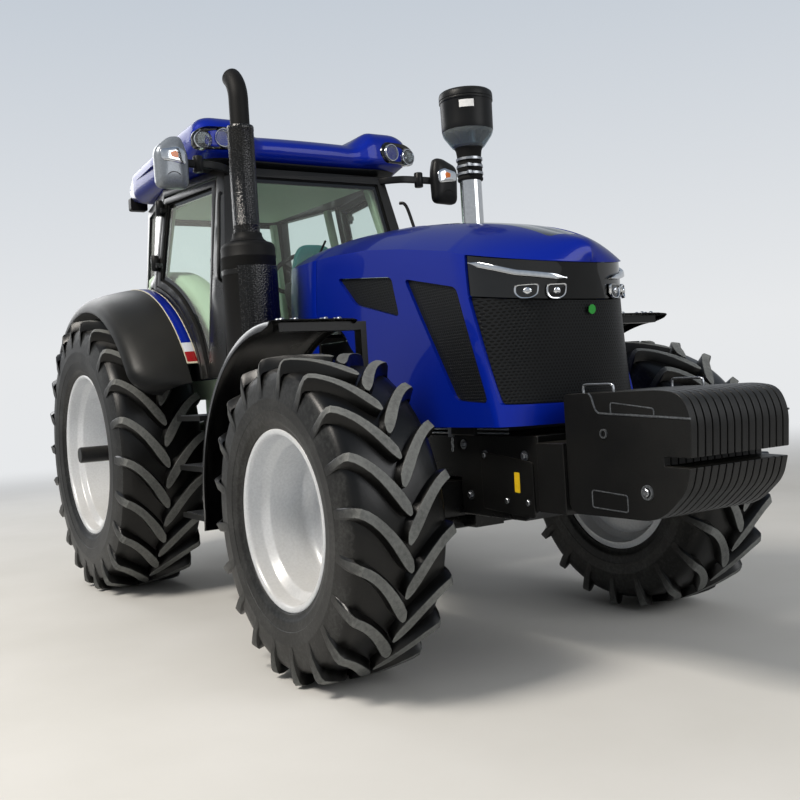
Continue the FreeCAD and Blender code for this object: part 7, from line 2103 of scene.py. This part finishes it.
spline = np.stack([(0.0160 + 0.0022 * (teeth % 4 < 2)) * np.cos(teeth * math.pi / 42),
                   (0.0160 + 0.0022 * (teeth % 4 < 2)) * np.sin(teeth * math.pi / 42)], -1)
stub = swept([(-0.310, 0, 0.69), (-0.350, 0, 0.69), (-0.400, 0, 0.69)], spline, up=(0, 0, 1))
build("power_take_off", stub, ZINC, "root", sharp=30)
couplers, caps = [], []
for k in range(6):
    y, z = 0.055 * (k % 3 - 1), 1.20 + 0.06 * (k // 3)
    couplers.append(turned([(-0.470, 0.0), (-0.470, 0.020), (-0.440, 0.020), (-0.438, 0.015),
                            (-0.385, 0.015), (-0.385, 0.0)], (0, y, z), "x", 20))
    caps.append(turned([(-0.482, 0.0), (-0.482, 0.016), (-0.478, 0.022), (-0.468, 0.022),
                        (-0.468, 0.0)], (0, y, z), "x", 20))
build("hydraulic_couplers", joined(*couplers), ZINC, "root", sharp=40)
build("coupler_caps", joined(*caps), RED_LENS, "root", sharp=40)
print("rear details built")

# %% [markdown]
# Under the hood the engine block carries a ribbed valve cover, a row of intake runners on
# the left, the exhaust manifold on the right, a belt drive with its fan in front, and two
# filters.

# %% Engine
covers = [block((1.800, -0.150, 1.560), (2.740, 0.150, 1.600), 0.03, "xy"),
          block((1.820, -0.120, 1.600), (2.720, 0.120, 1.650), 0.03, "xy")]
covers += [block((x, -0.126, 1.602), (x + 0.016, 0.126, 1.658), 0.004, "xy")
           for x in np.arange(1.86, 2.70, 0.105)]
build("valve_cover", joined(*covers), CASTING, "root", bevel=0.004)
runners, manifold = [], []
for x in np.arange(1.86, 2.70, 0.155):
    runners.append(swept(smooth_path([(x, 0.250, 1.470), (x, 0.300, 1.480), (x, 0.325, 1.440)], 12),
                         circle(0.026, 16), up=(1, 0, 0)))
    manifold.append(swept(smooth_path([(x, -0.250, 1.430), (x, -0.290, 1.435),
                                       (x - 0.02, -0.315, 1.400)], 12), circle(0.024, 16),
                          up=(1, 0, 0)))
runners.append(swept([(1.82, 0.325, 1.430), (2.20, 0.325, 1.430), (2.72, 0.325, 1.430)],
                     circle(0.036, 20)))
manifold.append(swept([(1.84, -0.318, 1.392), (2.20, -0.318, 1.392), (2.70, -0.318, 1.392)],
                      circle(0.032, 20)))
build("intake_runners", joined(*runners), HUB_GREY, "root", sharp=45)
build("exhaust_manifold", joined(*manifold), WORN, "root", sharp=45)
filters = [turned([(1.08, 0.0), (1.08, 0.046), (1.09, 0.050), (1.26, 0.050), (1.27, 0.040),
                   (1.30, 0.036), (1.30, 0.0)], (x, 0.318, 0), "z", 32) for x in (2.05, 2.22)]
build("oil_filters", joined(*filters), WHITE_FILM, "root", sharp=40)
pulleys = [turned([(2.825, 0.0), (2.825, r), (2.832, r), (2.838, r - 0.008), (2.852, r - 0.008),
                   (2.858, r), (2.865, r), (2.865, 0.0)], (0, y, z), "x", 40)
           for y, z, r in ((0.0, 0.90, 0.105), (0.0, 1.28, 0.075), (0.17, 1.12, 0.045))]
blades = [swept([(2.900, 0.06 * math.cos(a), 1.28 + 0.06 * math.sin(a)),
                 (2.905, 0.17 * math.cos(a), 1.28 + 0.17 * math.sin(a)),
                 (2.900, 0.27 * math.cos(a), 1.28 + 0.27 * math.sin(a))],
                rounded([(-0.032, -0.003), (0.032, -0.003), (0.032, 0.003), (-0.032, 0.003)],
                        0.002, 2), up=(1, 0.5 * math.sin(a), -0.5 * math.cos(a)))
          for a in np.arange(7) * 2 * math.pi / 7]
hub = turned([(2.866, 0.0), (2.866, 0.050), (2.915, 0.062), (2.925, 0.050), (2.928, 0.0)],
             (0, 0, 1.28), "x", 32)
build("belt_drive", joined(*pulleys), WORN, "root", sharp=40)
build("engine_fan", joined(hub, *blades), MOULDED, "root", sharp=40)
print("engine dressed")

# %% [markdown]
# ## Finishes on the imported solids
#
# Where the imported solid's own shape is right it stays, and only its material changes. A
# short table says which finish each one has.

# %% Finish every carried-over node
NODE_FINISH = {
    BLUE: ["hood_shell", "rear_cowl", "roof", "fender_shelf"],
    CHASSIS: ["front_frame", "rear_axle_housing", "front_axle_beam", "steering_cylinder",
              "knuckle", "rear_axle_bar", "ballast_hanger", "lower_links", "lift_arms",
              "lift_rods", "drawbar", "cab_frame", "door"],
    CASTING: ["engine_block", "transmission", "ballast_plates"],
    MOULDED: ["front_fender", "rear_fender", "tank_and_steps", "radiator_pack", "mirror",
              "steering_column", "exhaust_can"],
    HEAT_PROOF: ["exhaust_stack"],
    GLOSS: ["lamp_band", "hood_top_panel"],
    GRILLE_SHEET: ["front_grille"],
    VENT_SHEET: ["side_vents"],
    RUBBER: ["rear_tyre", "front_tyre"],
    RIM: ["rear_rim", "front_rim"],
    ZINC: ["steering_rod"],
    POLISHED: ["intake_stack"],
    GLASS: ["windshield", "rear_glass", "door_glass"],
    LENS: ["roof_lamps"],
    TRIM: ["cab_base", "side_console"],
    CLOTH: ["seat"],
}
finish_of = {base: material for material, names in NODE_FINISH.items() for base in names}
for name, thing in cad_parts.items():
    base = name.removesuffix("_left").removesuffix("_right")
    thing.data.materials.clear()
    thing.data.materials.append(finish_of[base])
print("finished nodes:", len(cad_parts))
